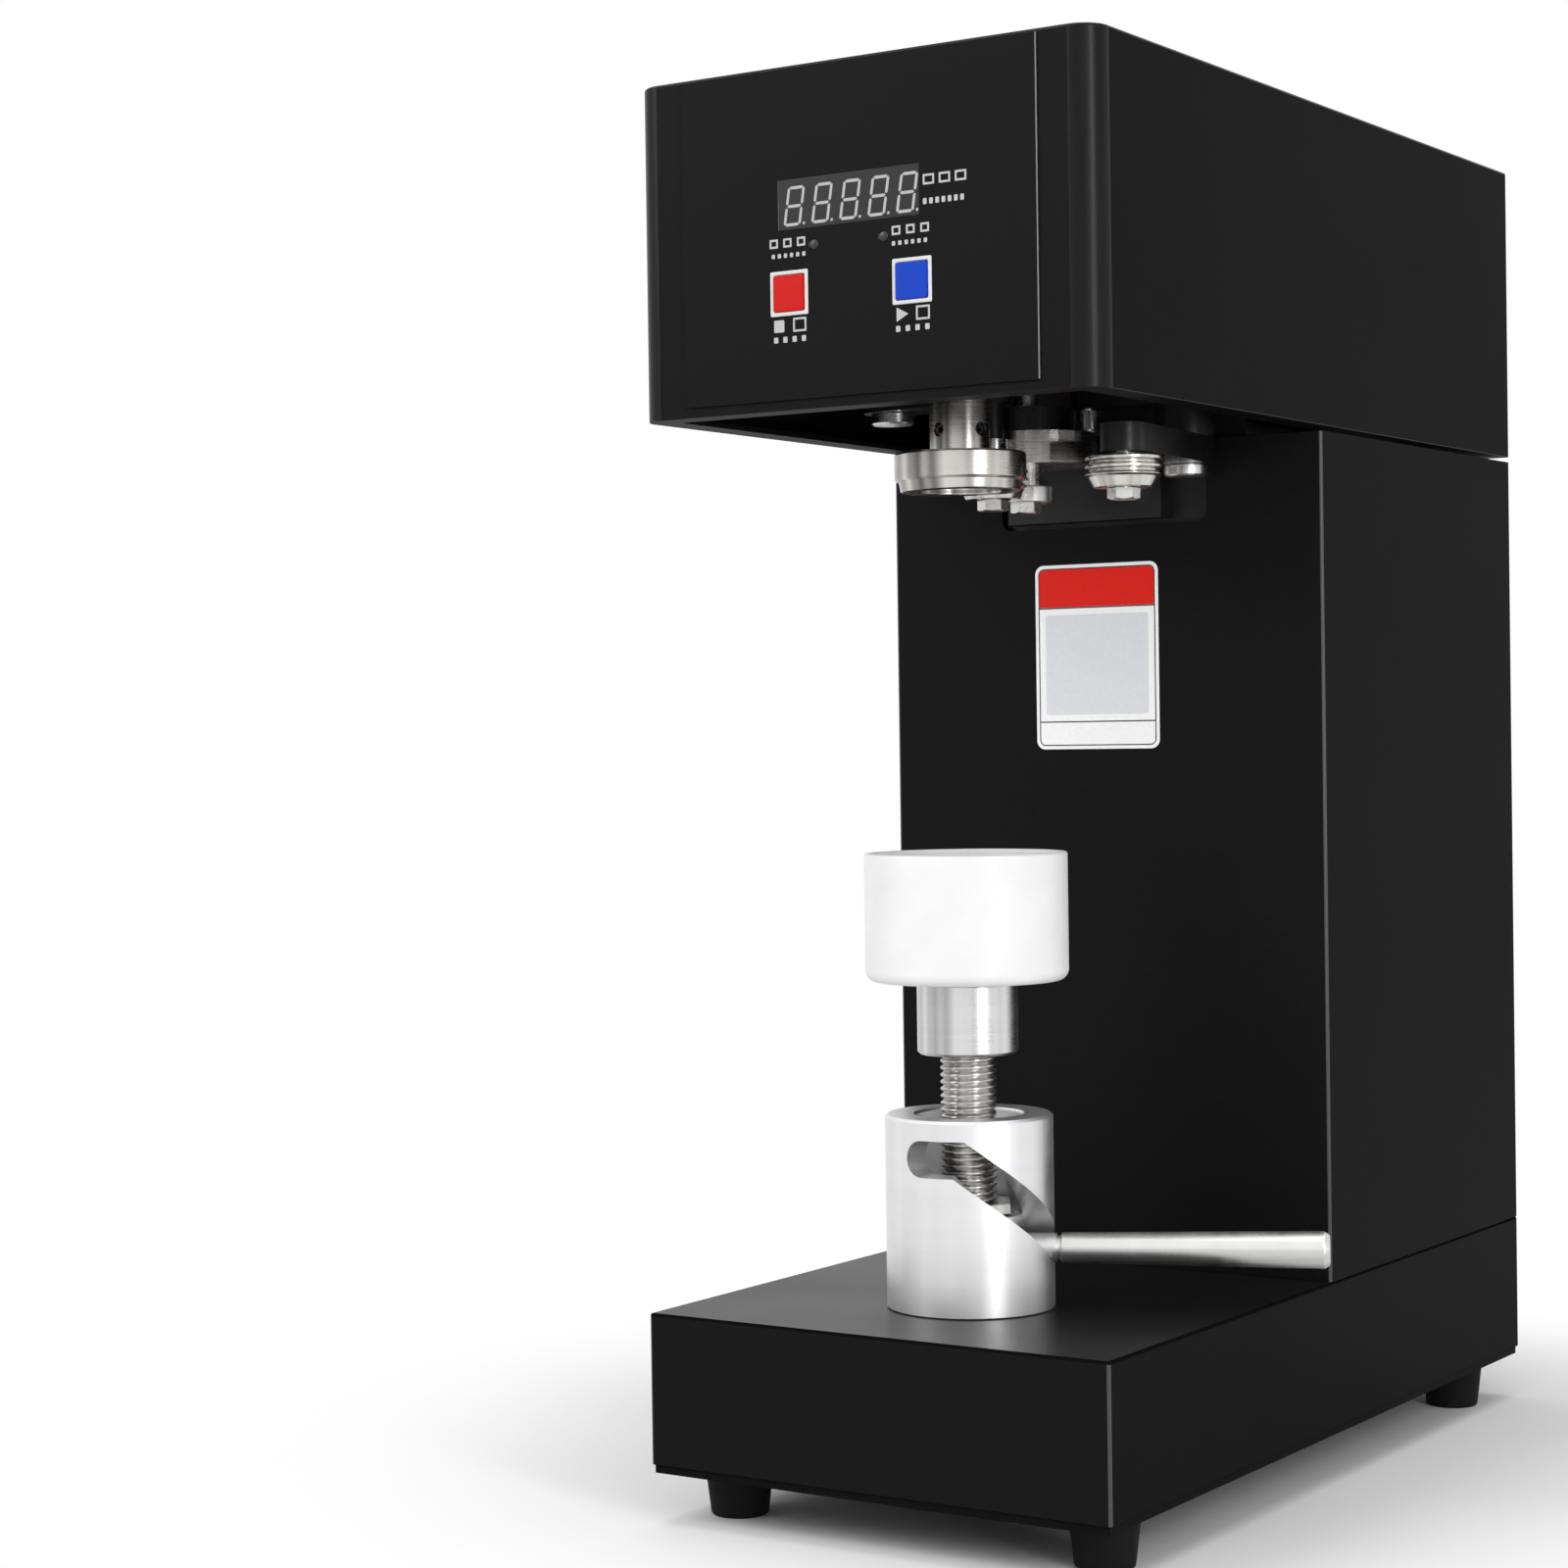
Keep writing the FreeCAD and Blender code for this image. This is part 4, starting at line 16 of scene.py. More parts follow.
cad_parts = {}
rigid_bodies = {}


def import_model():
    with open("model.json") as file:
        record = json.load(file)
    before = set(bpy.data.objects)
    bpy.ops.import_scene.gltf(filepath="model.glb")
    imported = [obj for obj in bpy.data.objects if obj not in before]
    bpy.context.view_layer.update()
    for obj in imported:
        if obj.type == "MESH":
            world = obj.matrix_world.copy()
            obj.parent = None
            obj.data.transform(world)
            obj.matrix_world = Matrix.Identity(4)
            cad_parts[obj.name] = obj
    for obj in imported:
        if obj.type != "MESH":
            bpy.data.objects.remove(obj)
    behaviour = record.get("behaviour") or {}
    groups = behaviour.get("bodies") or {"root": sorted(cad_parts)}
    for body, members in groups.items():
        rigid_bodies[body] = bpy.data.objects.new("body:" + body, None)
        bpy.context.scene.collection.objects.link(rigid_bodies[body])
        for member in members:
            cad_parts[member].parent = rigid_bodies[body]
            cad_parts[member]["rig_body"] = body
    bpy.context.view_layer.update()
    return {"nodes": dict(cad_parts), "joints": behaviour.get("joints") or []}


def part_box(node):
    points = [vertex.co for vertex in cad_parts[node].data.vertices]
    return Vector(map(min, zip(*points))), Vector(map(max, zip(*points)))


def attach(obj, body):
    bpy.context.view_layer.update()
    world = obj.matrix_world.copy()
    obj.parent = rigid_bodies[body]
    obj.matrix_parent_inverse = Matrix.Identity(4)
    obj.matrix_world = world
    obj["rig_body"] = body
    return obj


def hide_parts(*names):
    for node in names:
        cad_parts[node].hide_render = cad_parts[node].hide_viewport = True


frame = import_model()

# A desktop can sealing machine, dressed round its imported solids.
#
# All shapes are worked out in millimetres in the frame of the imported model: X to the right, Y to
# the back, Z up, floor at Z 0. They become metres when their mesh is made. Sizes are read from the
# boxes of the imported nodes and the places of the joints, so a piece always fits its solid.

MM = 0.001
TAU = math.tau
Array = np.ndarray
log = logging.getLogger("can_sealer")


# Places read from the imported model

@dataclass(frozen=True)
class Span:
    """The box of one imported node, in millimetres."""

    left: float
    right: float
    front: float
    back: float
    low: float
    high: float

    @classmethod
    def of(cls, node: str) -> "Span":
        """Read the box of a node.

        Args:
            node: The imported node's name.

        Returns:
            Its box.
        """
        low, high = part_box(node)
        (left, front, bottom), (right, back, top) = (np.array(corner) / MM for corner in (low, high))
        return cls(left, right, front, back, bottom, top)

    @property
    def x(self) -> float:
        """The middle from left to right."""
        return (self.left + self.right) / 2

    @property
    def z(self) -> float:
        """The middle from bottom to top."""
        return (self.low + self.high) / 2

    @property
    def radius(self) -> float:
        """Half of the width, which is the radius of a round node."""
        return (self.right - self.left) / 2

    def face(self, margin: float, radius: float, steps: int = 4) -> Array:
        """Draw the node as it is seen from the front, larger by a margin and with rounded corners."""
        return rounded_box(self.left - margin, self.right + margin, self.low - margin, self.high + margin,
                           radius, steps)


def joint_place(name: str) -> Array:
    """Read where a joint's axis passes, in millimetres."""
    return next(np.array(joint["pos_m"]) / MM for joint in frame["joints"] if joint["name"] == name)


# Surfaces

# The rounding, in millimetres, of an edge that stays crisp.
CRISP = 0.001


@dataclass(frozen=True)
class Surface:
    """Points in millimetres and the faces that join them."""

    points: Array
    faces: list[Sequence[int]]

    def __add__(self, other: "Surface") -> "Surface":
        """Put two surfaces into one.

        Args:
            other: The surface to add.

        Returns:
            Both, with the other's faces counted on from this surface's points.
        """
        shift = len(self.points)
        moved = [[corner + shift for corner in face] for face in other.faces]
        return Surface(np.vstack([self.points, other.points]), list(self.faces) + moved)

    def moved(self, x: float = 0.0, y: float = 0.0, z: float = 0.0) -> "Surface":
        """Shift the surface."""
        return Surface(self.points + np.array([x, y, z]), self.faces)

    def turned(self, axis: str, degrees: float) -> "Surface":
        """Turn the surface about an axis through the origin."""
        turn = np.array(Matrix.Rotation(math.radians(degrees), 3, axis))
        return Surface(self.points @ turn.T, self.faces)


def all_of(surfaces: Iterable[Surface]) -> Surface:
    """Put several surfaces into one."""
    return reduce(add, surfaces)


def arc(x: float, y: float, radius: float, start: float, end: float, steps: int) -> Array:
    """Points on an arc: centre plus radius times cosine and sine of evenly spaced angles in degrees."""
    angles = np.radians(np.linspace(start, end, steps))
    return np.column_stack([x + radius * np.cos(angles), y + radius * np.sin(angles)])


def circle(radius: float, steps: int = 48, x: float = 0.0, y: float = 0.0) -> Array:
    """Points round a whole circle, counter-clockwise."""
    return arc(x, y, radius, 0, 360 * (1 - 1 / steps), steps)


def polygon(sides: int, corner_radius: float, turn: float = 0.0) -> Array:
    """The corners of a regular polygon."""
    return circle(corner_radius, sides) @ np.array(Matrix.Rotation(math.radians(-turn), 2))


def rounded_box(left: float, right: float, low: float, high: float, radii: float | Sequence[float],
                steps: int = 6) -> Array:
    """A rectangle with an arc in each corner, counter-clockwise from the lower right.

    Args:
        left, right, low, high: The sides.
        radii: One radius, or those of the corners lower right, upper right, upper left, lower left.
        steps: Points on each arc.

    Returns:
        The outline's points.
    """
    a, b, c, d = [radii] * 4 if isinstance(radii, (int, float)) else radii
    return np.vstack([
        arc(right - a, low + a, a, -90, 0, steps), arc(right - b, high - b, b, 0, 90, steps),
        arc(left + c, high - c, c, 90, 180, steps), arc(left + d, low + d, d, 180, 270, steps)])


def eased(corners: Sequence[tuple[float, float, float]], steps: int = 5) -> Array:
    """Round the corners of a line.

    Each corner gives its place and the radius of the arc that is tangent to both sides there: the arc
    starts at radius over the tangent of half the corner's angle from the corner.

    Args:
        corners: Radius or x, height or y, and rounding of each corner.
        steps: Points on each arc.

    Returns:
        The points of the rounded line.
    """
    places = np.array([corner[:2] for corner in corners], float)
    line = [places[:1]]
    for before, here, after, (_, _, radius) in zip(places, places[1:], places[2:], corners[1:]):
        to_before, to_after = before - here, after - here
        to_before = to_before / np.linalg.norm(to_before)
        to_after = to_after / np.linalg.norm(to_after)
        half = math.acos(float(np.clip(to_before @ to_after, -1, 1))) / 2
        if radius <= 0 or half > math.radians(89):
            line.append(here[None])
            continue
        inward = (to_before + to_after) / np.linalg.norm(to_before + to_after)
        centre = here + inward * radius / math.sin(half)
        start = here + to_before * radius / math.tan(half) - centre
        end = here + to_after * radius / math.tan(half) - centre
        share = np.linspace(0, 1, steps)[:, None]
        chord = start * (1 - share) + end * share
        line.append(centre + chord / np.linalg.norm(chord, axis=1)[:, None] * radius)
    line.append(places[-1:])
    return np.vstack(line)


def inset(outline: Array, distance: float | Array) -> Array:
    """Move a counter-clockwise outline inwards, each point along the bisector of its two sides.

    Args:
        outline: The outline's points.
        distance: How far to move, where a negative number moves outwards.

    Returns:
        The moved points.
    """
    before, after = outline - np.roll(outline, 1, 0), np.roll(outline, -1, 0) - outline
    normals = [np.column_stack([-side[:, 1], side[:, 0]]) / np.linalg.norm(side, axis=1)[:, None]
               for side in (before, after)]
    bisector = normals[0] + normals[1]
    bisector /= (bisector * normals[0]).sum(1)[:, None]
    return outline + bisector * distance


def grid_faces(rows: int, columns: int, close_rows: bool = False, close_columns: bool = True) -> Array:
    """Join a grid of points by four-sided faces.

    Args:
        rows, columns: The grid's size; points run along a row first.
        close_rows: Whether the last row joins the first.
        close_columns: Whether each row is a closed ring.

    Returns:
        The corners of the faces, one face a row.
    """
    down = np.arange(rows if close_rows else rows - 1)[:, None]
    along = np.arange(columns if close_columns else columns - 1)[None, :]
    next_down, next_along = (down + 1) % rows, (along + 1) % columns
    return np.stack([down * columns + along, down * columns + next_along,
                     next_down * columns + next_along, next_down * columns + along], -1).reshape(-1, 4)


def loft(rings: Array, closed: bool = False) -> Surface:
    """Join rings of points one after another.

    Args:
        rings: An array of rings, points and coordinates.
        closed: Whether the last ring joins the first; otherwise a flat face closes each end.

    Returns:
        The closed surface.
    """
    count, around, _ = rings.shape
    faces = grid_faces(count, around, close_rows=closed).tolist()
    if not closed:
        faces += [list(range(around))[::-1], list(range((count - 1) * around, count * around))]
    return Surface(rings.reshape(-1, 3), faces)


def lathe(profile: Array, segments: int = 96, closed: bool = False) -> Surface:
    """Turn a line of radius and height pairs about the vertical axis.

    The point at row i and angle t is radius i times cosine t, radius i times sine t, height i. Points
    on the axis fall together and are merged when the mesh is made.

    Args:
        profile: The line's points.
        segments: Points on each ring.
        closed: Whether the line's last point joins its first.

    Returns:
        The turned surface.
    """
    angles = np.linspace(0, TAU, segments, endpoint=False)
    points = np.stack([profile[:, :1] * np.cos(angles), profile[:, :1] * np.sin(angles),
                       np.repeat(profile[:, 1:], segments, 1)], -1)
    return Surface(points.reshape(-1, 3), grid_faces(len(profile), segments, close_rows=closed).tolist())


def cap(loops: Sequence[Array], height: float, upward: bool) -> Surface:
    """Fill an outline and its holes with flat triangles.

    Args:
        loops: The outline, then its holes.
        height: The height of the flat face.
        upward: Whether the face looks up.

    Returns:
        The flat surface.
    """
    points = np.vstack(loops)
    triangles = tessellate_polygon([[Vector((x, y, 0)) for x, y in loop] for loop in loops])
    faces = [tuple(face) if upward else tuple(face)[::-1] for face in triangles]
    return Surface(np.column_stack([points, np.full(len(points), height)]), faces)


def plate(outline: Array, low: float, high: float, edge: float = 0.3, holes: Sequence[Array] = (),
          steps: int = 3) -> Surface:
    """Make a flat plate with rounded edges and holes.

    Every wall is a stack of copies of its outline. Near both faces a copy moves into the material by
    edge times one minus the cosine of an angle that runs from 90 to 0 degrees.

    Args:
        outline: The outer outline, counter-clockwise.
        low, high: The two faces.
        edge: The radius of the rounded edges.
        holes: The outlines of the holes, counter-clockwise.
        steps: Copies on each rounded edge.

    Returns:
        The closed surface.
    """
    angles = np.linspace(0, math.pi / 2, steps + 1)
    moves = edge * (1 - np.sin(angles))
    heights = edge * (1 - np.cos(angles))
    levels = [*(low + heights), *(high - heights[::-1])]
    shifts = [*moves, *moves[::-1]]
    parts, faces_of = [], []
    for loop, sign in [(outline, 1.0)] + [(hole, -1.0) for hole in holes]:
        rings = np.stack([np.column_stack([inset(loop, sign * shift), np.full(len(loop), level)])
                          for shift, level in zip(shifts, levels)])
        parts.append(Surface(rings.reshape(-1, 3), grid_faces(len(rings), len(loop)).tolist()))
        faces_of.append(rings[0][:, :2])
    parts += [cap(faces_of, low, False), cap(faces_of, high, True)]
    return all_of(parts)


def upright(surface: Surface) -> Surface:
    """Stand a plate up: its outline's second coordinate becomes the height, its thickness runs back."""
    return Surface(surface.points[:, [0, 2, 1]], surface.faces)


def hex_reach(flat: float, angles: Array) -> Array:
    """The radius of a hexagon: its flat's distance over the cosine of the angle folded about a flat."""
    return flat / np.cos((angles + math.pi / 6) % (math.pi / 3) - math.pi / 6)


def hex_head(corner_radius: float, height: float, rings: int = 5, steps: int = 60) -> Surface:
    """Make a hexagon head with a chamfered top, standing on height 0.

    The top drops by a slope times what the radius has beyond a share of the flat's distance, which
    cuts the curved facets of a real head.

    Args:
        corner_radius: The radius over the corners.
        height: The head's height.
        rings: Rings of points on the top.
        steps: Points on each ring.

    Returns:
        The closed surface.
    """
    chamfer_start, chamfer_slope, first_ring = 0.94, 0.55, 0.55
    flat = corner_radius * math.cos(math.pi / 6)
    angles = np.linspace(0, TAU, steps, endpoint=False)
    reach = hex_reach(flat, angles)
    rows = [np.column_stack([0 * angles, 0 * angles, np.full(steps, height)])]
    for share in np.linspace(first_ring, 1, rings):
        radius = np.minimum(reach, corner_radius) * share
        top = height - np.maximum(0, radius - flat * chamfer_start) * chamfer_slope
        rows.append(np.column_stack([radius * np.cos(angles), radius * np.sin(angles), top]))
    wall = np.column_stack([reach * np.cos(angles), reach * np.sin(angles), np.zeros(steps)])
    rows += [wall, wall * [0, 0, 1]]
    return Surface(np.vstack(rows), grid_faces(len(rows), steps).tolist())


def socket_head(radius: float, height: float, socket: float, steps: int = 48) -> Surface:
    """Make a socket screw's head, standing on height 0: a round head with a hexagonal well in its top.

    Args:
        radius: The head's radius.
        height: The head's height.
        socket: The well's radius over its corners.
        steps: Points on each ring.

    Returns:
        The closed surface.
    """
    outer = eased([(radius, 0, 0), (radius, height, 0.5), (socket * 1.15, height, 0)], 4)
    rows = [np.column_stack([circle(ring, steps), np.full(steps, level)]) for ring, level in outer]
    angles = np.radians(np.arange(steps) * 360 / steps)
    well = hex_reach(socket * math.cos(math.pi / 6), angles)
    for depth in (0.0, height * 0.55):
        rows.append(np.column_stack([well * np.cos(angles), well * np.sin(angles),
                                     np.full(steps, height - depth)]))
    return loft(np.stack(rows))


def thread(radius: float, pitch: float, depth: float, low: float, high: float,
           segments: int = 48) -> Surface:
    """Make a screw thread.

    The radius at height z and angle t is the outer radius less depth times a ridge, where the ridge is
    the distance of z over pitch less t over a full turn from its nearest whole number, times a slope
    and less a flat, so that crest and root are flat. It dies out over the last pitch at each end.

    Args:
        radius: The outer radius.
        pitch: The rise of one turn.
        depth: The depth of the groove.
        low, high: The two ends.
        segments: Points on each ring.

    Returns:
        The closed surface.
    """
    rows_in_pitch, slope, flat = 10, 2.6, 0.3
    heights = np.linspace(low, high, int((high - low) / pitch * rows_in_pitch))[:, None]
    angles = np.linspace(0, TAU, segments, endpoint=False)[None, :]
    phase = (heights / pitch - angles / TAU) % 1.0
    ridge = np.clip(np.abs(phase - 0.5) * slope - flat, 0, 1)
    fade = np.clip(np.minimum(heights - low, high - heights) / pitch, 0, 1)
    reach = radius - depth * (ridge * fade + (1 - fade))
    return loft(np.stack([reach * np.cos(angles), reach * np.sin(angles),
                          np.broadcast_to(heights, reach.shape)], -1))


# Finishes

# The range in which most values of a noise lie.
CLOUD_LOW, CLOUD_HIGH = 0.3, 0.7


class Nodes:
    """A node tree of a material or of the world, with short ways to add nodes and join them."""

    def __init__(self, owner: bpy.types.Material | bpy.types.World, output: str = "OutputMaterial") -> None:
        """Start an empty tree with an output.

        Args:
            owner: The material or world.
            output: The output's type without its ShaderNode prefix.
        """
        owner.use_nodes = True
        self.owner, self.tree = owner, owner.node_tree
        self.tree.nodes.clear()
        self.output = self.add(output)

    def add(self, kind: str, settings: dict | None = None, **inputs: object) -> bpy.types.Node:
        """Add a node.

        Args:
            kind: The node's type without its ShaderNode prefix.
            settings: Properties of the node.
            inputs: Values or sockets for its inputs, named with underscores for spaces, or numbered.

        Returns:
            The node.
        """
        node = self.tree.nodes.new(f"ShaderNode{kind}")
        for name, value in (settings or {}).items():
            setattr(node, name, value)
        for name, value in inputs.items():
            key = int(name[1:]) if name[1:].isdigit() else name.replace("_", " ")
            if isinstance(value, bpy.types.NodeSocket):
                self.tree.links.new(value, node.inputs[key])
            else:
                node.inputs[key].default_value = value
        return node

    def place(self, centre: Sequence[float] = (0, 0, 0)) -> bpy.types.NodeSocket:
        """Read the place of a point on the piece.

        Args:
            centre: Where it is counted from, in millimetres.

        Returns:
            The place, in metres.
        """
        shift = tuple(-value * MM for value in centre)
        where = self.add("TexCoord").outputs["Object"]
        return self.add("Mapping", Vector=where, Location=shift).outputs["Vector"]

    def math(self, operation: str, first: object, second: object = 0.0) -> bpy.types.NodeSocket:
        """Work out one number from two."""
        return self.add("Math", {"operation": operation}, _0=first, _1=second).outputs[0]

    def noise(self, where: bpy.types.NodeSocket, scale: float,
              detail: float = 2.0) -> bpy.types.NodeSocket:
        """A cloud of values about one half, with features of one over scale metres."""
        return self.add("TexNoise", Vector=where, Scale=scale, Detail=detail).outputs["Fac"]

    def between(self, value: bpy.types.NodeSocket, low: float, high: float) -> bpy.types.NodeSocket:
        """Spread a cloud's usual values over a range.

        Args:
            value: The cloud.
            low, high: The range.

        Returns:
            The spread value.
        """
        return self.add("MapRange", Value=value, From_Min=CLOUD_LOW, From_Max=CLOUD_HIGH, To_Min=low,
                        To_Max=high).outputs["Result"]

    def tint(self, value: bpy.types.NodeSocket, dark: Sequence[float],
             light: Sequence[float]) -> bpy.types.NodeSocket:
        """Blend two colours by a cloud.

        Args:
            value: The cloud.
            dark, light: The two colours.

        Returns:
            The blend.
        """
        ramp = self.add("ValToRGB", Fac=value)
        low, high = ramp.color_ramp.elements
        low.position, low.color = CLOUD_LOW, (*dark, 1)
        high.position, high.color = CLOUD_HIGH, (*light, 1)
        return ramp.outputs["Color"]

    def bump(self, height: bpy.types.NodeSocket, depth: float) -> bpy.types.NodeSocket:
        """Turn a value into dents of a depth in millimetres."""
        return self.add("Bump", Height=height, Distance=depth * MM, Strength=1.0).outputs["Normal"]

    def seen(self) -> bpy.types.NodeSocket:
        """Tell a direct look from light.

        Returns:
            One where the camera, a mirror or glass looks at the surface, and zero for its light.
        """
        path = self.add("LightPath").outputs
        return self.math("MAXIMUM", path["Is Camera Ray"],
                         self.math("MAXIMUM", path["Is Glossy Ray"], path["Is Transmission Ray"]))

    def blend(self, share: bpy.types.NodeSocket, first: bpy.types.Node, second: bpy.types.Node) -> None:
        """Close the tree with a blend of two shaders.

        Args:
            share: How much of the second shows.
            first, second: The shaders.
        """
        mix = self.add("MixShader", _0=share, _1=first.outputs[0], _2=second.outputs[0])
        self.tree.links.new(mix.outputs[0], self.output.inputs["Surface"])

    def finish(self, **inputs: object) -> bpy.types.Material:
        """Close the tree with the main shader.

        Args:
            inputs: Values or sockets for the shader's inputs.

        Returns:
            The material.
        """
        shader = self.add("BsdfPrincipled", **inputs)
        self.tree.links.new(shader.outputs["BSDF"], self.output.inputs["Surface"])
        return self.owner


Color = tuple[float, float, float]


@dataclass(frozen=True)
class Finish:
    """A surface finish. Its material is made once and shared."""

    name: str
    color: Color
    roughness: float = 0.5
    slot: str = ""

    def make(self, nodes: Nodes) -> bpy.types.Material:
        """Build the material on its empty tree."""
        raise NotImplementedError

    def material(self) -> bpy.types.Material:
        """Give the material, building it the first time."""
        known = bpy.data.materials.get(self.name)
        return known or self.make(Nodes(bpy.data.materials.new(self.name)))

    def shades(self, spread: float) -> tuple[Color, Color]:
        """Give a darker and a lighter version of the colour."""
        return (tuple(value * (1 - spread) for value in self.color),
                tuple(min(1.0, value * (1 + spread)) for value in self.color))

    def gloss(self, nodes: Nodes, cloud: bpy.types.NodeSocket, spread: float) -> bpy.types.NodeSocket:
        """Spread a cloud to either side of the finish's roughness."""
        return nodes.between(cloud, self.roughness - spread, self.roughness + spread)


@dataclass(frozen=True)
class PowderCoat(Finish):
    """Baked powder paint: a fine pebbled skin with slow changes of gloss."""

    grain: float = 1500.0
    depth: float = 0.02
    sheen: float = 0.04
    clouds: float = 15.0

    def make(self, nodes: Nodes) -> bpy.types.Material:
        """Build the material.

        Args:
            nodes: Its empty tree.

        Returns:
            The material.
        """
        where = nodes.place()
        return nodes.finish(Base_Color=nodes.tint(nodes.noise(where, self.grain * 0.7), *self.shades(0.10)),
                            Roughness=self.gloss(nodes, nodes.noise(where, self.clouds), 0.02),
                            Normal=nodes.bump(nodes.noise(where, self.grain, 3.0), self.depth),
                            Specular_IOR_Level=self.sheen)


@dataclass(frozen=True)
class TurnedMetal(Finish):
    """Metal off a lathe: fine rings about an axis, on round walls and on flat faces, and painted reflection
    streaks.
    """

    centre: tuple[float, float, float] = (0.0, 0.0, 0.0)
    axis: tuple[float, float, float] = (0.0, 0.0, 0.0)
    grain: float = 2600.0
    depth: float = 0.004
    spread: float = 0.05
    # Strength of the painted reflection streaks.
    reflection_streaks: float = 0.12
    across: float = 1.0
    handling: float = 60.0
    headings: float = 2.6

    def make(self, nodes: Nodes) -> bpy.types.Material:
        """Build the material.

        The rings read only the distance from the axis and the height. The painted reflection streaks
        read only the direction away from the axis: brightness painted on to stand in for the light
        that turned work reflects, which changes from one side to the next.

        Args:
            nodes: Its empty tree.

        Returns:
            The material.
        """
        turn = tuple(math.radians(angle) for angle in self.axis)
        where = nodes.add("Mapping", Vector=nodes.place(self.centre), Rotation=turn).outputs["Vector"]
        x, y, z = nodes.add("SeparateXYZ", Vector=where).outputs
        level = nodes.add("CombineXYZ", X=x, Y=y).outputs["Vector"]
        away = nodes.add("VectorMath", {"operation": "LENGTH"}, _0=level).outputs["Value"]
        line = nodes.add("CombineXYZ", X=nodes.math("MULTIPLY", away, self.across), Y=z).outputs["Vector"]
        rings, broad = nodes.noise(line, self.grain), nodes.noise(line, self.grain / 9)
        handled = nodes.between(nodes.noise(where, self.handling, 3.0), -0.03, 0.05)
        # Painted reflection streaks: the colour is scaled by a noise of the direction away from the axis.
        heading = nodes.add("VectorMath", {"operation": "NORMALIZE"}, _0=level).outputs["Vector"]
        painted_streak = nodes.between(nodes.noise(heading, self.headings, 1.0), 1 - self.reflection_streaks * 2,
                               1 + self.reflection_streaks)
        color = nodes.add("VectorMath", {"operation": "SCALE"}, Scale=painted_streak,
                          _0=nodes.tint(broad, *self.shades(self.spread))).outputs["Vector"]
        return nodes.finish(Base_Color=color, Metallic=1.0, Normal=nodes.bump(rings, self.depth),
                            Roughness=nodes.math("ADD", self.gloss(nodes, rings, 0.05), handled))


@dataclass(frozen=True)
class MilledMetal(Finish):
    """Ground or milled metal: long fine scratches along one direction and slow clouds of tone."""

    stretch: tuple[float, float, float] = (0.03, 1.0, 1.0)
    grain: float = 900.0
    depth: float = 0.002
    spread: float = 0.10
    metallic: float = 1.0
    clouds: float = 90.0

    def make(self, nodes: Nodes) -> bpy.types.Material:
        """Build the material: the noise is drawn out along the scratches.

        Args:
            nodes: Its empty tree.

        Returns:
            The material.
        """
        where = nodes.place()
        drawn = nodes.add("Mapping", Vector=where, Scale=self.stretch).outputs["Vector"]
        scratches, tone = nodes.noise(drawn, self.grain, 3.0), nodes.noise(where, self.clouds, 4.0)
        gloss = nodes.math("ADD", self.gloss(nodes, scratches, 0.07), nodes.between(tone, -0.04, 0.04))
        return nodes.finish(Base_Color=nodes.tint(tone, *self.shades(self.spread)), Roughness=gloss,
                            Metallic=self.metallic, Normal=nodes.bump(scratches, self.depth))


@dataclass(frozen=True)
class Moulded(Finish):
    """Plastic, rubber or nylon: a soft grain, a little unevenness, and light that enters pale ones."""

    grain: float = 900.0
    depth: float = 0.01
    depth_of_light: float = 0.0
    sheen: float = 0.5
    clouds: float = 45.0

    def make(self, nodes: Nodes) -> bpy.types.Material:
        """Build the material.

        Args:
            nodes: Its empty tree.

        Returns:
            The material.
        """
        where = nodes.place()
        grain = nodes.noise(where, self.grain)
        return nodes.finish(Base_Color=nodes.tint(nodes.noise(where, self.clouds), *self.shades(0.04)),
                            Roughness=self.gloss(nodes, grain, 0.03), Normal=nodes.bump(grain, self.depth),
                            Subsurface_Weight=self.depth_of_light, Subsurface_Scale=0.002,
                            Specular_IOR_Level=self.sheen)


@dataclass(frozen=True)
class Printed(Finish):
    """Ink or film on a flat face."""

    grain: float = 1200.0
    sheen: float = 0.2

    def make(self, nodes: Nodes) -> bpy.types.Material:
        """Build the material.

        Args:
            nodes: Its empty tree.

        Returns:
            The material.
        """
        fleck = nodes.noise(nodes.place(), self.grain)
        return nodes.finish(Base_Color=nodes.tint(fleck, *self.shades(0.03)),
                            Roughness=self.gloss(nodes, fleck, 0.03), Specular_IOR_Level=self.sheen)


def upright_axis(joint: str) -> tuple[float, float, float]:
    """Where a joint's upright axis meets the floor, in millimetres."""
    return float(joint_place(joint)[0]), float(joint_place(joint)[1]), 0.0


AXIS_Y = float(joint_place("chuck_spin")[1])
ON_AXIS = (0.0, AXIS_Y, 0.0)
EVEN = (1.0, 1.0, 1.0)
COAT = "black_powder_coat"
BLACK = PowderCoat("black powder coat", (0.0064, 0.0064, 0.0070), 0.45, COAT, sheen=0.012)
# Painted highlight: a lighter, glossier copy of the black coat on the rounded folds, so that they catch
# light.
BLACK_FOLD_HIGHLIGHT = PowderCoat("black powder coat with painted highlight on folds", (0.0075, 0.0075, 0.0080), 0.28, COAT, sheen=0.12)
# Painted highlight: a copy of the coat far lighter and glossier on the upright folds, standing in for the
# line of light along them.
BLACK_CORNER_HIGHLIGHT = PowderCoat("black powder coat with painted highlight on upright folds", (0.045, 0.045, 0.046), 0.30, COAT,
                          sheen=0.40)
# Painted shade: a darker, matt copy of the coat on the level folds, so that they show no line of light.
BLACK_LEVEL_SHADE = PowderCoat("black powder coat with painted shade on level folds", (0.0050, 0.0050, 0.0052), 0.60, COAT,
                         sheen=0.0)
# Painted light: a lighter, glossier copy of the coat on the top faces.
BLACK_TOP_LIGHTER = PowderCoat("black powder coat painted lighter on top", (0.0080, 0.0080, 0.0080), 0.34, COAT, sheen=0.12)
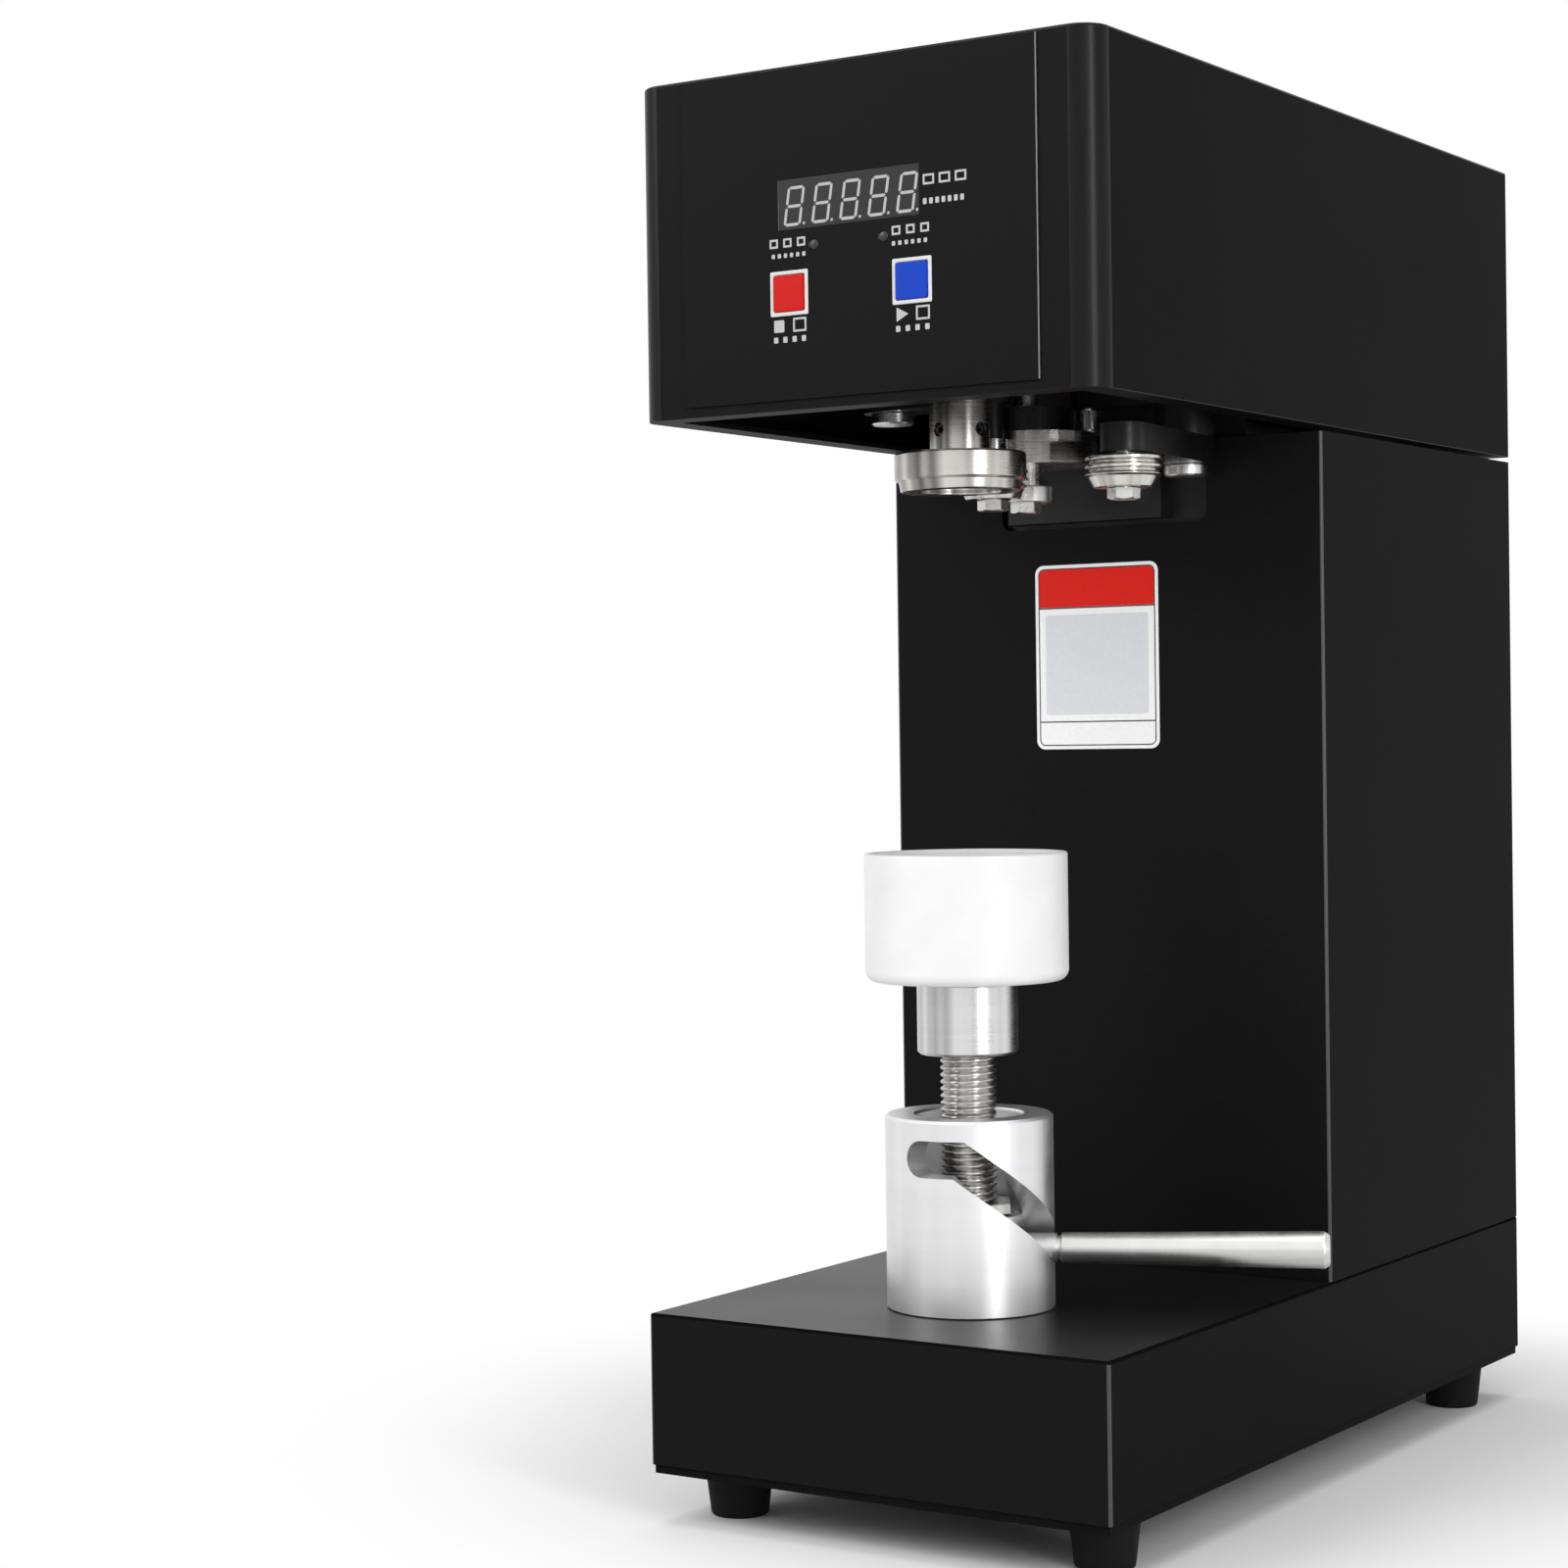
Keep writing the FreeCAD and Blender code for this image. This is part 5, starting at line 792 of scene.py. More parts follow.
# The control plate's own coat. On the casing it is painted light: a lighter, glossier copy than the sides
# get, on faces that look to the front.
PANEL_BLACK_AND_LIT_FRONTS = PowderCoat("panel powder coat, also painted lighter on casing fronts", (0.0070, 0.0070, 0.0076), 0.40, COAT)
# Painted highlight: pale grey on the plate's side edges, standing in for the bright line of light along the
# seam.
PANEL_EDGE_HIGHLIGHT = Printed("painted highlight on panel edge", (0.32, 0.32, 0.33), 0.40, COAT)
# The turned metals below carry painted reflection streaks: brightness that changes with the direction away
# from their axis.
SATIN_ALUMINIUM = TurnedMetal("satin aluminium", (0.78, 0.78, 0.79), 0.38, "satin_aluminium", ON_AXIS,
                              grain=1900.0, depth=0.003, spread=0.02, reflection_streaks=0.03)
TURNED_STEEL = TurnedMetal("turned steel", (0.66, 0.66, 0.66), 0.28, "turned_steel", ON_AXIS,
                           depth=0.002, spread=0.03, reflection_streaks=0.22)
THREAD_STEEL = TurnedMetal("threaded steel", (0.56, 0.55, 0.53), 0.30, "turned_steel", ON_AXIS,
                           spread=0.06, reflection_streaks=0.20)
POLISHED = TurnedMetal("polished lever", (0.66, 0.66, 0.65), 0.38, "polished_lever",
                       tuple(joint_place("lever_swing")), (90.0, -65.0, 0.0),
                       grain=900.0, depth=0.0003, spread=0.02, reflection_streaks=0.10)
CHUCK_STEEL = TurnedMetal("chuck steel", (0.60, 0.57, 0.545), 0.25, "ground_steel", ON_AXIS,
                          depth=0.0006, spread=0.03, reflection_streaks=0.42)
# Painted light: the same ground steel as the chuck and rollers, made far lighter so that the cam shows
# bright in the hood's shade.
CAM_STEEL_LIT = TurnedMetal("cam steel painted light", (0.82, 0.78, 0.75), 0.26, "ground_steel", upright_axis("cam_turn"),
                        depth=0.0003, spread=0.03, reflection_streaks=0.28, across=0.0)
ROLLER_STEEL = {name: TurnedMetal(f"{name} roller steel", (0.64, 0.62, 0.59), 0.22, "ground_steel",
                                  upright_axis(f"{name}_roller_spin"), depth=0.0006, spread=0.03,
                                  reflection_streaks=0.20)
                for name in ("first", "second")}
ARM_STEEL = MilledMetal("blackened arm steel", (0.013, 0.013, 0.0135), 0.36, "arm_steel", (1.0, 0.03, 1.0),
                        metallic=0.6)
FRAME_STEEL = MilledMetal("blackened frame steel", (0.010, 0.010, 0.0105), 0.45, "structural_steel",
                          metallic=0.4)
BOLT_STEEL = MilledMetal("bright bolts", (0.62, 0.62, 0.61), 0.30, "bolt_steel", EVEN, grain=1200.0,
                         depth=0.0004, spread=0.05)
DARK_SCREWS = MilledMetal("blackened screws", (0.06, 0.06, 0.062), 0.38, "dark_screws", EVEN, metallic=0.7)
BEARING_STEEL = MilledMetal("bearing steel", (0.66, 0.66, 0.67), 0.20, "bearing_steel", (1.0, 1.0, 0.05))
BRONZE = MilledMetal("plain bronze", (0.60, 0.40, 0.19), 0.35, "bush_bronze")
MOTOR_ENAMEL = PowderCoat("motor enamel", (0.035, 0.036, 0.040), 0.40, "motor_housing", 800.0)
SUPPLY_METAL = MilledMetal("folded aluminium", (0.66, 0.66, 0.67), 0.38, "supply_case")
NYLON = Moulded("white nylon", (0.80, 0.80, 0.80), 0.45, "white_nylon", 700.0, 0.006, 0.12)
RUBBER = Moulded("foot rubber", (0.007, 0.007, 0.0072), 0.72, "foot_rubber", 700.0, 0.03, sheen=0.12)
BELT_RUBBER = Moulded("belt rubber", (0.015, 0.015, 0.015), 0.65, "belt_rubber", 1500.0, 0.03)
BOARD = Moulded("board laminate", (0.02, 0.13, 0.05), 0.35, "board_laminate", 500.0)
DIGIT_BLOCK = Moulded("digit block", (0.45, 0.45, 0.44), 0.4, "display_block")
WINDOW = Moulded("smoked window", (0.017, 0.0175, 0.019), 0.25, "dark_window", 300.0, 0.001, sheen=0.15)
SEGMENT = Printed("unlit segment", (0.42, 0.42, 0.41), 0.30, "display_block")
RED_CAP = Moulded("red cap", (0.54, 0.007, 0.005), 0.35, "red_cap", 300.0, 0.001, sheen=0.12)
BLUE_CAP = Moulded("blue cap", (0.004, 0.045, 0.44), 0.35, "blue_cap", 300.0, 0.001, sheen=0.12)
PALE_FRAME = Moulded("pale button frame", (0.62, 0.62, 0.60), 0.30, "pale_frame", 300.0, 0.002)
LENS = Moulded("unlit lamp lens", (0.030, 0.030, 0.032), 0.18, "lamp_lens", 300.0, 0.002, sheen=0.3)
ENTRY_PLASTIC = Moulded("entry plastic", (0.020, 0.020, 0.021), 0.45, "entry_plastic", 600.0, 0.02)
PALE_INK = Printed("pale ink", (0.46, 0.46, 0.455), 0.45, "pale_frame")
LABEL_WHITE = Printed("label white", (0.93, 0.93, 0.93), 0.40)
LABEL_DARK = Printed("label dark line", (0.03, 0.03, 0.032), 0.40)
LABEL_RED = Printed("label red", (0.74, 0.010, 0.002), 0.38)
LABEL_GREY = Printed("label grey", (0.72, 0.73, 0.76), 0.42)


# Pieces

# The body that stands still, and the angle in degrees past which an edge is shaded sharp.
FRAME_BODY = "machine_frame"
SHARP = 32.0

# Parts of a face's normal along one axis: from SQUARE it looks squarely that way, from MOSTLY rather
# that way than another, and up to ACROSS it looks across it.
SQUARE, MOSTLY, ACROSS = 0.999, 0.9, 0.1


def piece(name: str, surface: Surface, finish: Finish, body: str,
          replaces: Sequence[str] = ()) -> bpy.types.Object:
    """Make a finished piece: mesh, smooth shading up to sharp edges, finish and body.

    Args:
        name: The piece's name.
        surface: Its surface in millimetres.
        finish: Its finish.
        body: The body that it moves with.
        replaces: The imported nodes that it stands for.

    Returns:
        The object.
    """
    mesh = bpy.data.meshes.new(name)
    mesh.from_pydata((surface.points * MM).tolist(), [], surface.faces)
    tidy = bmesh.new()
    tidy.from_mesh(mesh)
    bmesh.ops.remove_doubles(tidy, verts=tidy.verts, dist=1e-7)
    bmesh.ops.recalc_face_normals(tidy, faces=tidy.faces)
    tidy.to_mesh(mesh)
    tidy.free()
    item = bpy.data.objects.new(name, mesh)
    bpy.context.scene.collection.objects.link(item)
    shade(item)
    item.data.materials.append(finish.material())
    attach(item, body)
    if replaces:
        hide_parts(*replaces)
    log.info("%s: %d faces on %s", item.name, len(item.data.polygons), body)
    return item


def shade(item: bpy.types.Object) -> None:
    """Shade a piece smoothly up to sharp edges, and keep its large flat faces flat.

    Args:
        item: The piece.
    """
    item.data.polygons.foreach_set("use_smooth", np.ones(len(item.data.polygons), bool))
    item.data.set_sharp_from_angle(angle=math.radians(SHARP))
    item.modifiers.new("even shading", "WEIGHTED_NORMAL").keep_sharp = True


def carved(item: bpy.types.Object, cutters: Iterable[Surface]) -> bpy.types.Object:
    """Cut closed surfaces out of a piece and keep the result as its mesh.

    Args:
        item: The piece.
        cutters: The surfaces to cut away.

    Returns:
        The piece.
    """
    item.modifiers.clear()
    for cutter in cutters:
        tool = piece("cutter", cutter, PALE_INK, item["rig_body"])
        tool.modifiers.clear()
        modifier = item.modifiers.new("cut", "BOOLEAN")
        modifier.operation, modifier.solver, modifier.object = "DIFFERENCE", "EXACT", tool
        bpy.context.view_layer.update()
        result = bpy.data.meshes.new_from_object(item.evaluated_get(bpy.context.evaluated_depsgraph_get()))
        item.modifiers.remove(modifier)
        result.name = item.name
        item.data = result
        bpy.data.objects.remove(tool)
    keep = item.data.materials[0]
    item.data.materials.clear()
    item.data.materials.append(keep)
    shade(item)
    return item


def on_folds(normals: Array) -> Array:
    """Choose the rounded folds of a flat-sided piece: they face no side squarely."""
    return np.abs(normals).max(1) < SQUARE


def on_upright_folds(normals: Array) -> Array:
    """Choose the rounded folds that stand upright: their normals are nearly level."""
    return on_folds(normals) & (np.abs(normals[:, 2]) < ACROSS)


def on_front(normals: Array) -> Array:
    """Choose the flat faces that look to the front."""
    return normals[:, 1] < -SQUARE


def on_top(normals: Array) -> Array:
    """Choose the flat faces that look up."""
    return normals[:, 2] > SQUARE


def on_sides(normals: Array) -> Array:
    """Choose the faces that look to the left or right."""
    return np.abs(normals[:, 0]) > MOSTLY


def second_finish(item: bpy.types.Object, finish: Finish, chosen: Callable[[Array], Array]) -> None:
    """Give some faces of a piece a finish of their own.

    Args:
        item: The piece.
        finish: The finish of the chosen faces.
        chosen: Tells from the array of face normals which faces get the finish.
    """
    item.data.materials.append(finish.material())
    normals = np.zeros(len(item.data.polygons) * 3)
    item.data.polygons.foreach_get("normal", normals)
    slots = np.zeros(len(item.data.polygons), np.int32)
    item.data.polygons.foreach_get("material_index", slots)
    slots[chosen(normals.reshape(-1, 3))] = len(item.data.materials) - 1
    item.data.polygons.foreach_set("material_index", slots)


def block(left: float, right: float, front: float, back: float, low: float, high: float) -> Surface:
    """A plain box, for cutting with."""
    return plate(rounded_box(left, right, front, back, CRISP, 2), low, high, CRISP, steps=1)


def kept(finish: Finish, *nodes: str) -> None:
    """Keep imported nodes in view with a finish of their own.

    Args:
        finish: The finish.
        nodes: The nodes' names.
    """
    for node in nodes:
        item = frame["nodes"][node]
        item.data.polygons.foreach_set("use_smooth", np.ones(len(item.data.polygons), bool))
        item.data.materials.clear()
        item.data.materials.append(finish.material())
        log.info("%s: packed node kept", node)


@dataclass
class Casing:
    """The folded steel body: base, column, back cover and hood."""

    base: Span = field(default_factory=lambda: Span.of("base_shell"))
    column: Span = field(default_factory=lambda: Span.of("column_shell"))
    hood: Span = field(default_factory=lambda: Span.of("hood"))
    gauge: float = 2.0
    fold: float = 1.0
    fold_steps: int = 5
    hood_corner: float = 10.0
    lip: float = 9.0
    flange: float = 12.0
    notch: tuple[float, float, float] = (-43.0, 45.0, 31.0)
    notch_corner: float = 4.0
    inlet_margin: tuple[float, float] = (4.0, 3.0)
    switch_margin: tuple[float, float] = (2.5, 2.5)
    control_room: float = 1.5

    def build(self) -> None:
        """Build every panel."""
        self.build_base()
        self.build_column()
        self.build_hood()
        kept(BLACK, "bottom_plate", "back_cover")

    def build_base(self) -> None:
        """Build the base: a box with folded edges, open below, with two openings at its back."""
        span, gauge = self.base, self.gauge
        outline = rounded_box(span.left, span.right, span.front, span.back, self.fold)
        shell = piece("base_casing", self.crowned(outline, span.low, span.high), BLACK, FRAME_BODY,
                      ["base_shell"])
        cutters = [block(span.left + gauge, span.right - gauge, span.front + gauge, span.back - gauge,
                         span.low - 1, span.high - gauge)]
        margins = {"power_inlet": self.inlet_margin, "switch_housing": self.switch_margin}
        for node, (across, up) in margins.items():
            item = Span.of(node)
            cutters.append(block(item.left + across, item.right - across, span.back - 5, span.back + 5,
                                 item.low + up, item.high - up))
        carved(shell, cutters)
        # Painted light on the base: shade on its level folds, a highlight on its upright folds, and its top
        # and front faces lighter than its sides.
        for finish, chosen in ((BLACK_LEVEL_SHADE, on_folds), (BLACK_CORNER_HIGHLIGHT, on_upright_folds),
                               (BLACK_TOP_LIGHTER, on_top), (PANEL_BLACK_AND_LIT_FRONTS, on_front)):
            second_finish(shell, finish, chosen)

    def crowned(self, outline: Array, low: float, high: float) -> Surface:
        """Make a prism whose upper edge is rounded like a fold and whose lower edge is crisp.

        Args:
            outline: The outline, counter-clockwise.
            low, high: The two ends.

        Returns:
            The closed surface.
        """
        crisp = 0.2
        angles = np.linspace(0, math.pi / 2, self.fold_steps)
        levels = [low, low + crisp, *(high - self.fold + self.fold * np.sin(angles))]
        shifts = [crisp, 0.0, *(self.fold * (1 - np.cos(angles)))]
        return loft(np.stack([np.column_stack([inset(outline, shift), np.full(len(outline), level)])
                              for shift, level in zip(shifts, levels)]))

    def build_column(self) -> None:
        """Build the column: a channel open to the back, with a notch at its top."""
        span, gauge, flange = self.column, self.gauge, self.flange
        outline = rounded_box(span.left, span.right, span.front, span.back, self.fold)
        column = piece("column_casing", plate(outline, span.low, span.high, 0.25), BLACK, FRAME_BODY,
                       ["column_shell"])
        left, right, depth = self.notch
        corner, sharp = self.notch_corner, 0.01
        mouth = rounded_box(left, right, span.high - depth, span.high + 8, (corner, sharp, sharp, corner),
                            8)
        sides, ends = (span.left + gauge, span.right - gauge), (span.low - 1, span.high + 1)
        carved(column, [
            block(*sides, span.front + gauge, span.back - 2 * gauge, *ends),
            block(span.left + flange, span.right - flange, span.back - 3 * gauge, span.back + 1, *ends),
            block(*sides, span.back - gauge, span.back + 1, *ends),
            upright(plate(mouth, span.front - 2, span.front + 4, CRISP, steps=1))])
        # Painted highlight along the column's upright folds.
        second_finish(column, BLACK_CORNER_HIGHLIGHT, on_upright_folds)
        # Painted light: the column's front faces lighter than its sides.
        second_finish(column, PANEL_BLACK_AND_LIT_FRONTS, on_front)

    def build_hood(self) -> None:
        """Build the hood: rounded front corners, closed top, a lip folded in below."""
        span, gauge, corner = self.hood, self.gauge, self.hood_corner
        outline = rounded_box(span.left, span.right, span.front, span.back,
                              (corner, self.fold, self.fold, corner), 12)
        hood = piece("hood_casing", self.crowned(outline, span.low, span.high), BLACK, FRAME_BODY, ["hood"])
        hollow = rounded_box(span.left + gauge, span.right - gauge, span.front + gauge, span.back - gauge,
                             (corner - gauge, 0.2, 0.2, corner - gauge), 12)
        reach = gauge + self.lip
        mouth = rounded_box(span.left + reach, span.right - reach, span.front + reach, span.back - reach,
                            1.5)
        cutters = [plate(hollow, span.low + gauge, span.high - gauge, CRISP, steps=1),
                   plate(mouth, span.low - 1, span.low + gauge * 2, CRISP, steps=1)]
        room = self.control_room
        for node in ("display_window", "stop_button", "start_button"):
            item = Span.of(node)
            cutters.append(block(item.left - room, item.right + room, span.front - 2,
                                 span.front + gauge + 2, item.low - room, item.high + room))
        carved(hood, cutters)
        # Painted highlight on the hood's folds and rounded corners.
        second_finish(hood, BLACK_FOLD_HIGHLIGHT, on_folds)
        # Painted light: the hood's front faces lighter than its sides.
        second_finish(hood, PANEL_BLACK_AND_LIT_FRONTS, on_front)


@dataclass(frozen=True)
class MarkRow:
    """A row of equal small marks, placed from a point on the panel, in millimetres."""

    shift: tuple[float, float]
    count: int
    size: tuple[float, float]
    pitch: float = 0.0
    hollow: bool = False
    line: float = 0.7

    def outlines(self, x: float, z: float) -> list[Array]:
        """Draw the marks. A hollow one is four lines round an empty middle.

        Args:
            x, z: The point that the row is placed from.

        Returns:
            The outlines.
        """
        wide, tall = self.size
        thick, low, shapes = self.line, z + self.shift[1], []
        for index in range(self.count):
            left = x + self.shift[0] + index * self.pitch
            if not self.hollow:
                shapes.append(rounded_box(left, left + wide, low, low + tall, 0.25, 3))
                continue
            shapes += [rounded_box(left, left + wide, bottom, bottom + thick, 0.15, 3)
                       for bottom in (low, low + tall - thick)]
            shapes += [rounded_box(side, side + thick, low + thick, low + tall - thick, 0.02, 3)
                       for side in (left, left + wide - thick)]
        return shapes


# The rows beside each lamp and the window and under each button, and the two signs under the buttons:
# a square by its left, right, low and high sides, and a triangle by its corners.
LEFT_LAMP_MARKS = (MarkRow((-18.0, -0.1), 3, (3.4, 3.1), 5.6, hollow=True),
                   MarkRow((-17.2, -3.6), 6, (1.3, 1.5), 2.5))
RIGHT_LAMP_MARKS = (MarkRow((3.4, -0.1), 3, (3.4, 3.1), 5.6, hollow=True),
                    MarkRow((3.4, -3.6), 6, (1.3, 1.5), 2.5))
WINDOW_MARKS = (MarkRow((1.5, -7.7), 3, (4.4, 3.5), 6.2, hollow=True),
                MarkRow((1.5, -14.2), 7, (1.4, 2.0), 2.4))
BUTTON_MARKS = (MarkRow((1.4, -7.2), 1, (5.4, 4.8), hollow=True),
                MarkRow((-6.5, -10.6), 4, (1.7, 2.0), 3.8))
STOP_SQUARE = (-6.4, -2.2, -7.0, -2.8)
START_TRIANGLE = ((-6.2, -7.2), (-1.6, -4.8), (-6.2, -2.4))


@dataclass
class Controls:
    """The control panel on the front of the hood."""

    panel: Span = field(default_factory=lambda: Span.of("front_panel"))
    window: Span = field(default_factory=lambda: Span.of("display_window"))
    frames: Span = field(default_factory=lambda: Span.of("button_frames"))
    lamps: Span = field(default_factory=lambda: Span.of("indicator_lamps"))
    stop: Span = field(default_factory=lambda: Span.of("stop_button"))
    start: Span = field(default_factory=lambda: Span.of("start_button"))
    frame_width: float = 1.5
    lamp_radius: float = 1.8
    stem_radius: float = 2.4
    glass_depth: float = 0.15
    digits: int = 5
    digit_pitch: float = 11.3
    digit_width: float = 7.0
    digit_height: float = 13.5
    digit_shift: tuple[float, float] = (0.9, -0.7)
    stroke: float = 1.0
    stroke_gap: float = 0.22
    slant: float = 9.0
    point_radius: float = 0.5
    point_shift: tuple[float, float] = (1.3, 0.6)

    @property
    def lamp_x(self) -> tuple[float, float]:
        """The middles of both lamps from left to right."""
        return self.lamps.left + self.lamp_radius, self.lamps.right - self.lamp_radius

    def build(self) -> None:
        """Build the plate, display, buttons, lamps and marks."""
        self.build_plate()
        self.build_display()
        self.build_digits(self.panel.front + self.glass_depth)
        self.build_cap("stop", self.stop, RED_CAP)
        self.build_cap("start", self.start, BLUE_CAP)
        piece("button_bezels", all_of(
            upright(plate(item.face(self.frame_width, 0.5), self.frames.front, self.frames.back, 0.3,
                          [item.face(0.12, 0.5)])) for item in (self.stop, self.start)),
              PALE_FRAME, FRAME_BODY, ["button_frames"])
        self.build_lamps()
        self.build_marks()

    def build_plate(self) -> None:
        """Build the raised plate with holes for the window, the buttons and the lamps."""
        span = self.panel
        holes = [self.window.face(0, 0.4)]
        holes += [item.face(self.frame_width, 0.3) for item in (self.stop, self.start)]
        holes += [circle(self.lamp_radius + 0.1, 24, x, self.lamps.z) for x in self.lamp_x]
        top = min(span.high, Span.of("hood").high - 1.0)
        outline = rounded_box(span.left, span.right, span.low, top, 0.3)
        panel = piece("control_plate", upright(plate(outline, span.front, span.back, 0.05, holes)),
                      PANEL_BLACK_AND_LIT_FRONTS, FRAME_BODY, ["front_panel"])
        # Painted highlight on the plate's side edges.
        second_finish(panel, PANEL_EDGE_HIGHLIGHT, on_sides)

    def build_display(self) -> None:
        """Build the smoked window, a little behind the plate's face."""
        front = self.panel.front + self.glass_depth
        glass = plate(self.window.face(-0.05, 0.4), front, self.window.back, 0.15)
        piece("display_glass", upright(glass), WINDOW, FRAME_BODY, ["display_window"])

    def build_lamps(self) -> None:
        """Build both lenses: a low dome on a round body."""
        radius, depth = self.lamp_radius, self.lamps.back - self.lamps.front
        lens = eased([(0, 0, 0), (radius * 0.8, 0, 1.0), (radius, 0.6, 0.3), (radius, depth, 0),
                      (0, depth, 0)], 5)
        lamp = lathe(lens, 32).turned("X", -90)
        piece("lamp_lenses", all_of(lamp.moved(x, self.lamps.front, self.lamps.z) for x in self.lamp_x),
              LENS, FRAME_BODY, ["indicator_lamps"])

    def build_cap(self, name: str, span: Span, finish: Finish) -> None:
        """Build one button: a square cap with a rounded rim, on a round stem.

        The rim is a stack of copies of the cap's outline, each a share of its size and a depth behind
        its face.

        Args:
            name: The button's name.
            span: Its box.
            finish: Its finish.
        """
        rim = ((0.94, 0.0), (0.975, 0.08), (0.995, 0.3), (1.0, 0.6), (1.0, 3.2))
        outline = span.face(0, 0.9, 5)
        middle = np.array([span.x, span.z])
        radius, root, depth = self.stem_radius, 3.0, span.back - span.front
        rows = [np.column_stack([middle + (outline - middle) * share, np.full(len(outline), level)])
                for share, level in rim]
        cap_body = upright(loft(np.stack(rows))).moved(y=span.front)
        stem = lathe(np.array([(0, root), (radius, root), (radius, depth), (0, depth)]), 24)
        piece(f"{name}_cap", cap_body + stem.turned("X", -90).moved(span.x, span.front, span.z), finish,
              f"{name}_button", [f"{name}_button"])

    def build_digits(self, face: float) -> None:
        """Build the unlit segments: seven bars and a point for each digit, leaning to the right.

        Args:
            face: Where the window's face is, from front to back.
        """
        half_w, half_h, stroke = self.digit_width / 2, self.digit_height / 2, self.stroke / 2
        lean = math.tan(math.radians(self.slant))
        middle_z = self.window.z + self.digit_shift[1]
        start = self.window.x - (self.digits - 1) / 2 * self.digit_pitch + self.digit_shift[0]
        point_x, point_z = half_w + self.point_shift[0], -half_h + self.point_shift[1]
        level = [(x, z, True) for x, z in ((0, half_h - stroke), (0, 0), (0, -half_h + stroke))]
        standing = [(side * (half_w - stroke), end * half_h / 2, False)
                    for side in (-1, 1) for end in (-1, 1)]
        digit = []
        for x, z, flat in level + standing:
            long = (half_w - stroke if flat else half_h / 2 - stroke / 2) - self.stroke_gap
            bar = np.array([(-long, 0), (-long + stroke, -stroke), (long - stroke, -stroke), (long, 0),
                            (long - stroke, stroke), (-long + stroke, stroke)])
            digit.append((bar if flat else bar[:, ::-1][::-1]) + [x, z])
        digit.append(circle(self.point_radius, 16, point_x, point_z))
        shapes = []
        for index in range(self.digits):
            x = start + index * self.digit_pitch
            for outline in digit:
                shift = np.column_stack([outline[:, 1] * lean + x, np.full(len(outline), middle_z)])
                shapes.append(self.printed(outline + shift, face, 0.05, 0.1, 0.01))
        piece("display_segments", all_of(shapes), SEGMENT, FRAME_BODY)

    def printed(self, outline: Array, face: float, sunk: float, proud: float, edge: float) -> Surface:
        """Lay a thin upright shape on a face, sunk by a hair and proud by another."""
        return upright(plate(outline, face - sunk, face + proud, edge, steps=1))

    def build_marks(self) -> None:
        """Build the small pale marks of the panel: plain signs and dashes in place of words."""
        window, stop, start = self.window, self.stop, self.start
        (left_lamp, right_lamp), lamp_z = self.lamp_x, self.lamps.z
        places = ((LEFT_LAMP_MARKS, left_lamp, lamp_z), (RIGHT_LAMP_MARKS, right_lamp, lamp_z),
                  (WINDOW_MARKS, window.right, window.high), (BUTTON_MARKS, stop.x, stop.low),
                  (BUTTON_MARKS, start.x, start.low))
        outlines = [outline for rows, x, z in places for row in rows for outline in row.outlines(x, z)]
        left, right, low, high = STOP_SQUARE
        outlines.append(rounded_box(stop.x + left, stop.x + right, stop.low + low, stop.low + high, 0.4, 3))
        outlines.append(np.array(START_TRIANGLE) + [start.x, start.low])
        piece("panel_marks", all_of(self.printed(outline, self.panel.front, 0.04, 0.05, 0.005)
                                    for outline in outlines), PALE_INK, FRAME_BODY)


@dataclass
class ColumnLabel:
    """The bare sticker on the front of the column: colour bands with nothing written on them."""

    left: float = -28.6
    right: float = 24.4
    low: float = 272.8
    high: float = 343.9
    corner: float = 3.5
    margin: float = 1.3
    line: float = 0.45
    band: float = 15.0
    foot: float = 9.0
    field_margin: float = 3.0
    film: float = 0.15
    ink: float = 0.03
    column: Span = field(default_factory=lambda: Span.of("column_shell"))

    def build(self) -> None:
        """Build the film and its printed areas."""
        edge, side = self.margin, self.line + 0.01
        left, right, low, high = self.left + edge, self.right - edge, self.low + edge, self.high - edge
        band, foot, inside = high - self.band, low + self.foot, self.field_margin
        inner, round_top = self.corner - 1, self.corner - 1.4
        frame_line = rounded_box(left, right, low, high, inner, 10)
        self.area("film", rounded_box(self.left, self.right, self.low, self.high, self.corner, 10), 0,
                  LABEL_WHITE)
        self.area("line", frame_line, 1, LABEL_DARK, [inset(frame_line, self.line)])
        left_in, right_in = left + side, right - side
        self.area("band", rounded_box(left_in, right_in, band, high - side,
                                      (0.1, round_top, round_top, 0.1), 8), 1, LABEL_RED)
        self.area("rule", rounded_box(left_in, right_in, band - 0.6, band - 0.05, 0.05, 3), 2, LABEL_DARK)
        self.area("block", rounded_box(left + inside, right - inside, foot + inside, band - inside, 1.2, 5),
                  1, LABEL_GREY)
        self.area("foot_rule", rounded_box(left_in, right_in, foot, foot + 0.5, 0.05, 3), 1, LABEL_DARK)

    def area(self, name: str, outline: Array, step: int, finish: Finish,
             holes: Sequence[Array] = ()) -> None:
        """Lay one printed area, each a hair in front of the one below.

        Args:
            name: The area's name.
            outline: Its outline.
            step: How many areas lie below it.
            finish: Its ink.
            holes: The outlines of its holes.
        """
        face = self.column.front
        film = plate(outline, face - self.film - step * self.ink, face + 0.02, 0.01, holes, steps=1)
        piece(f"label_{name}", upright(film), finish, FRAME_BODY)


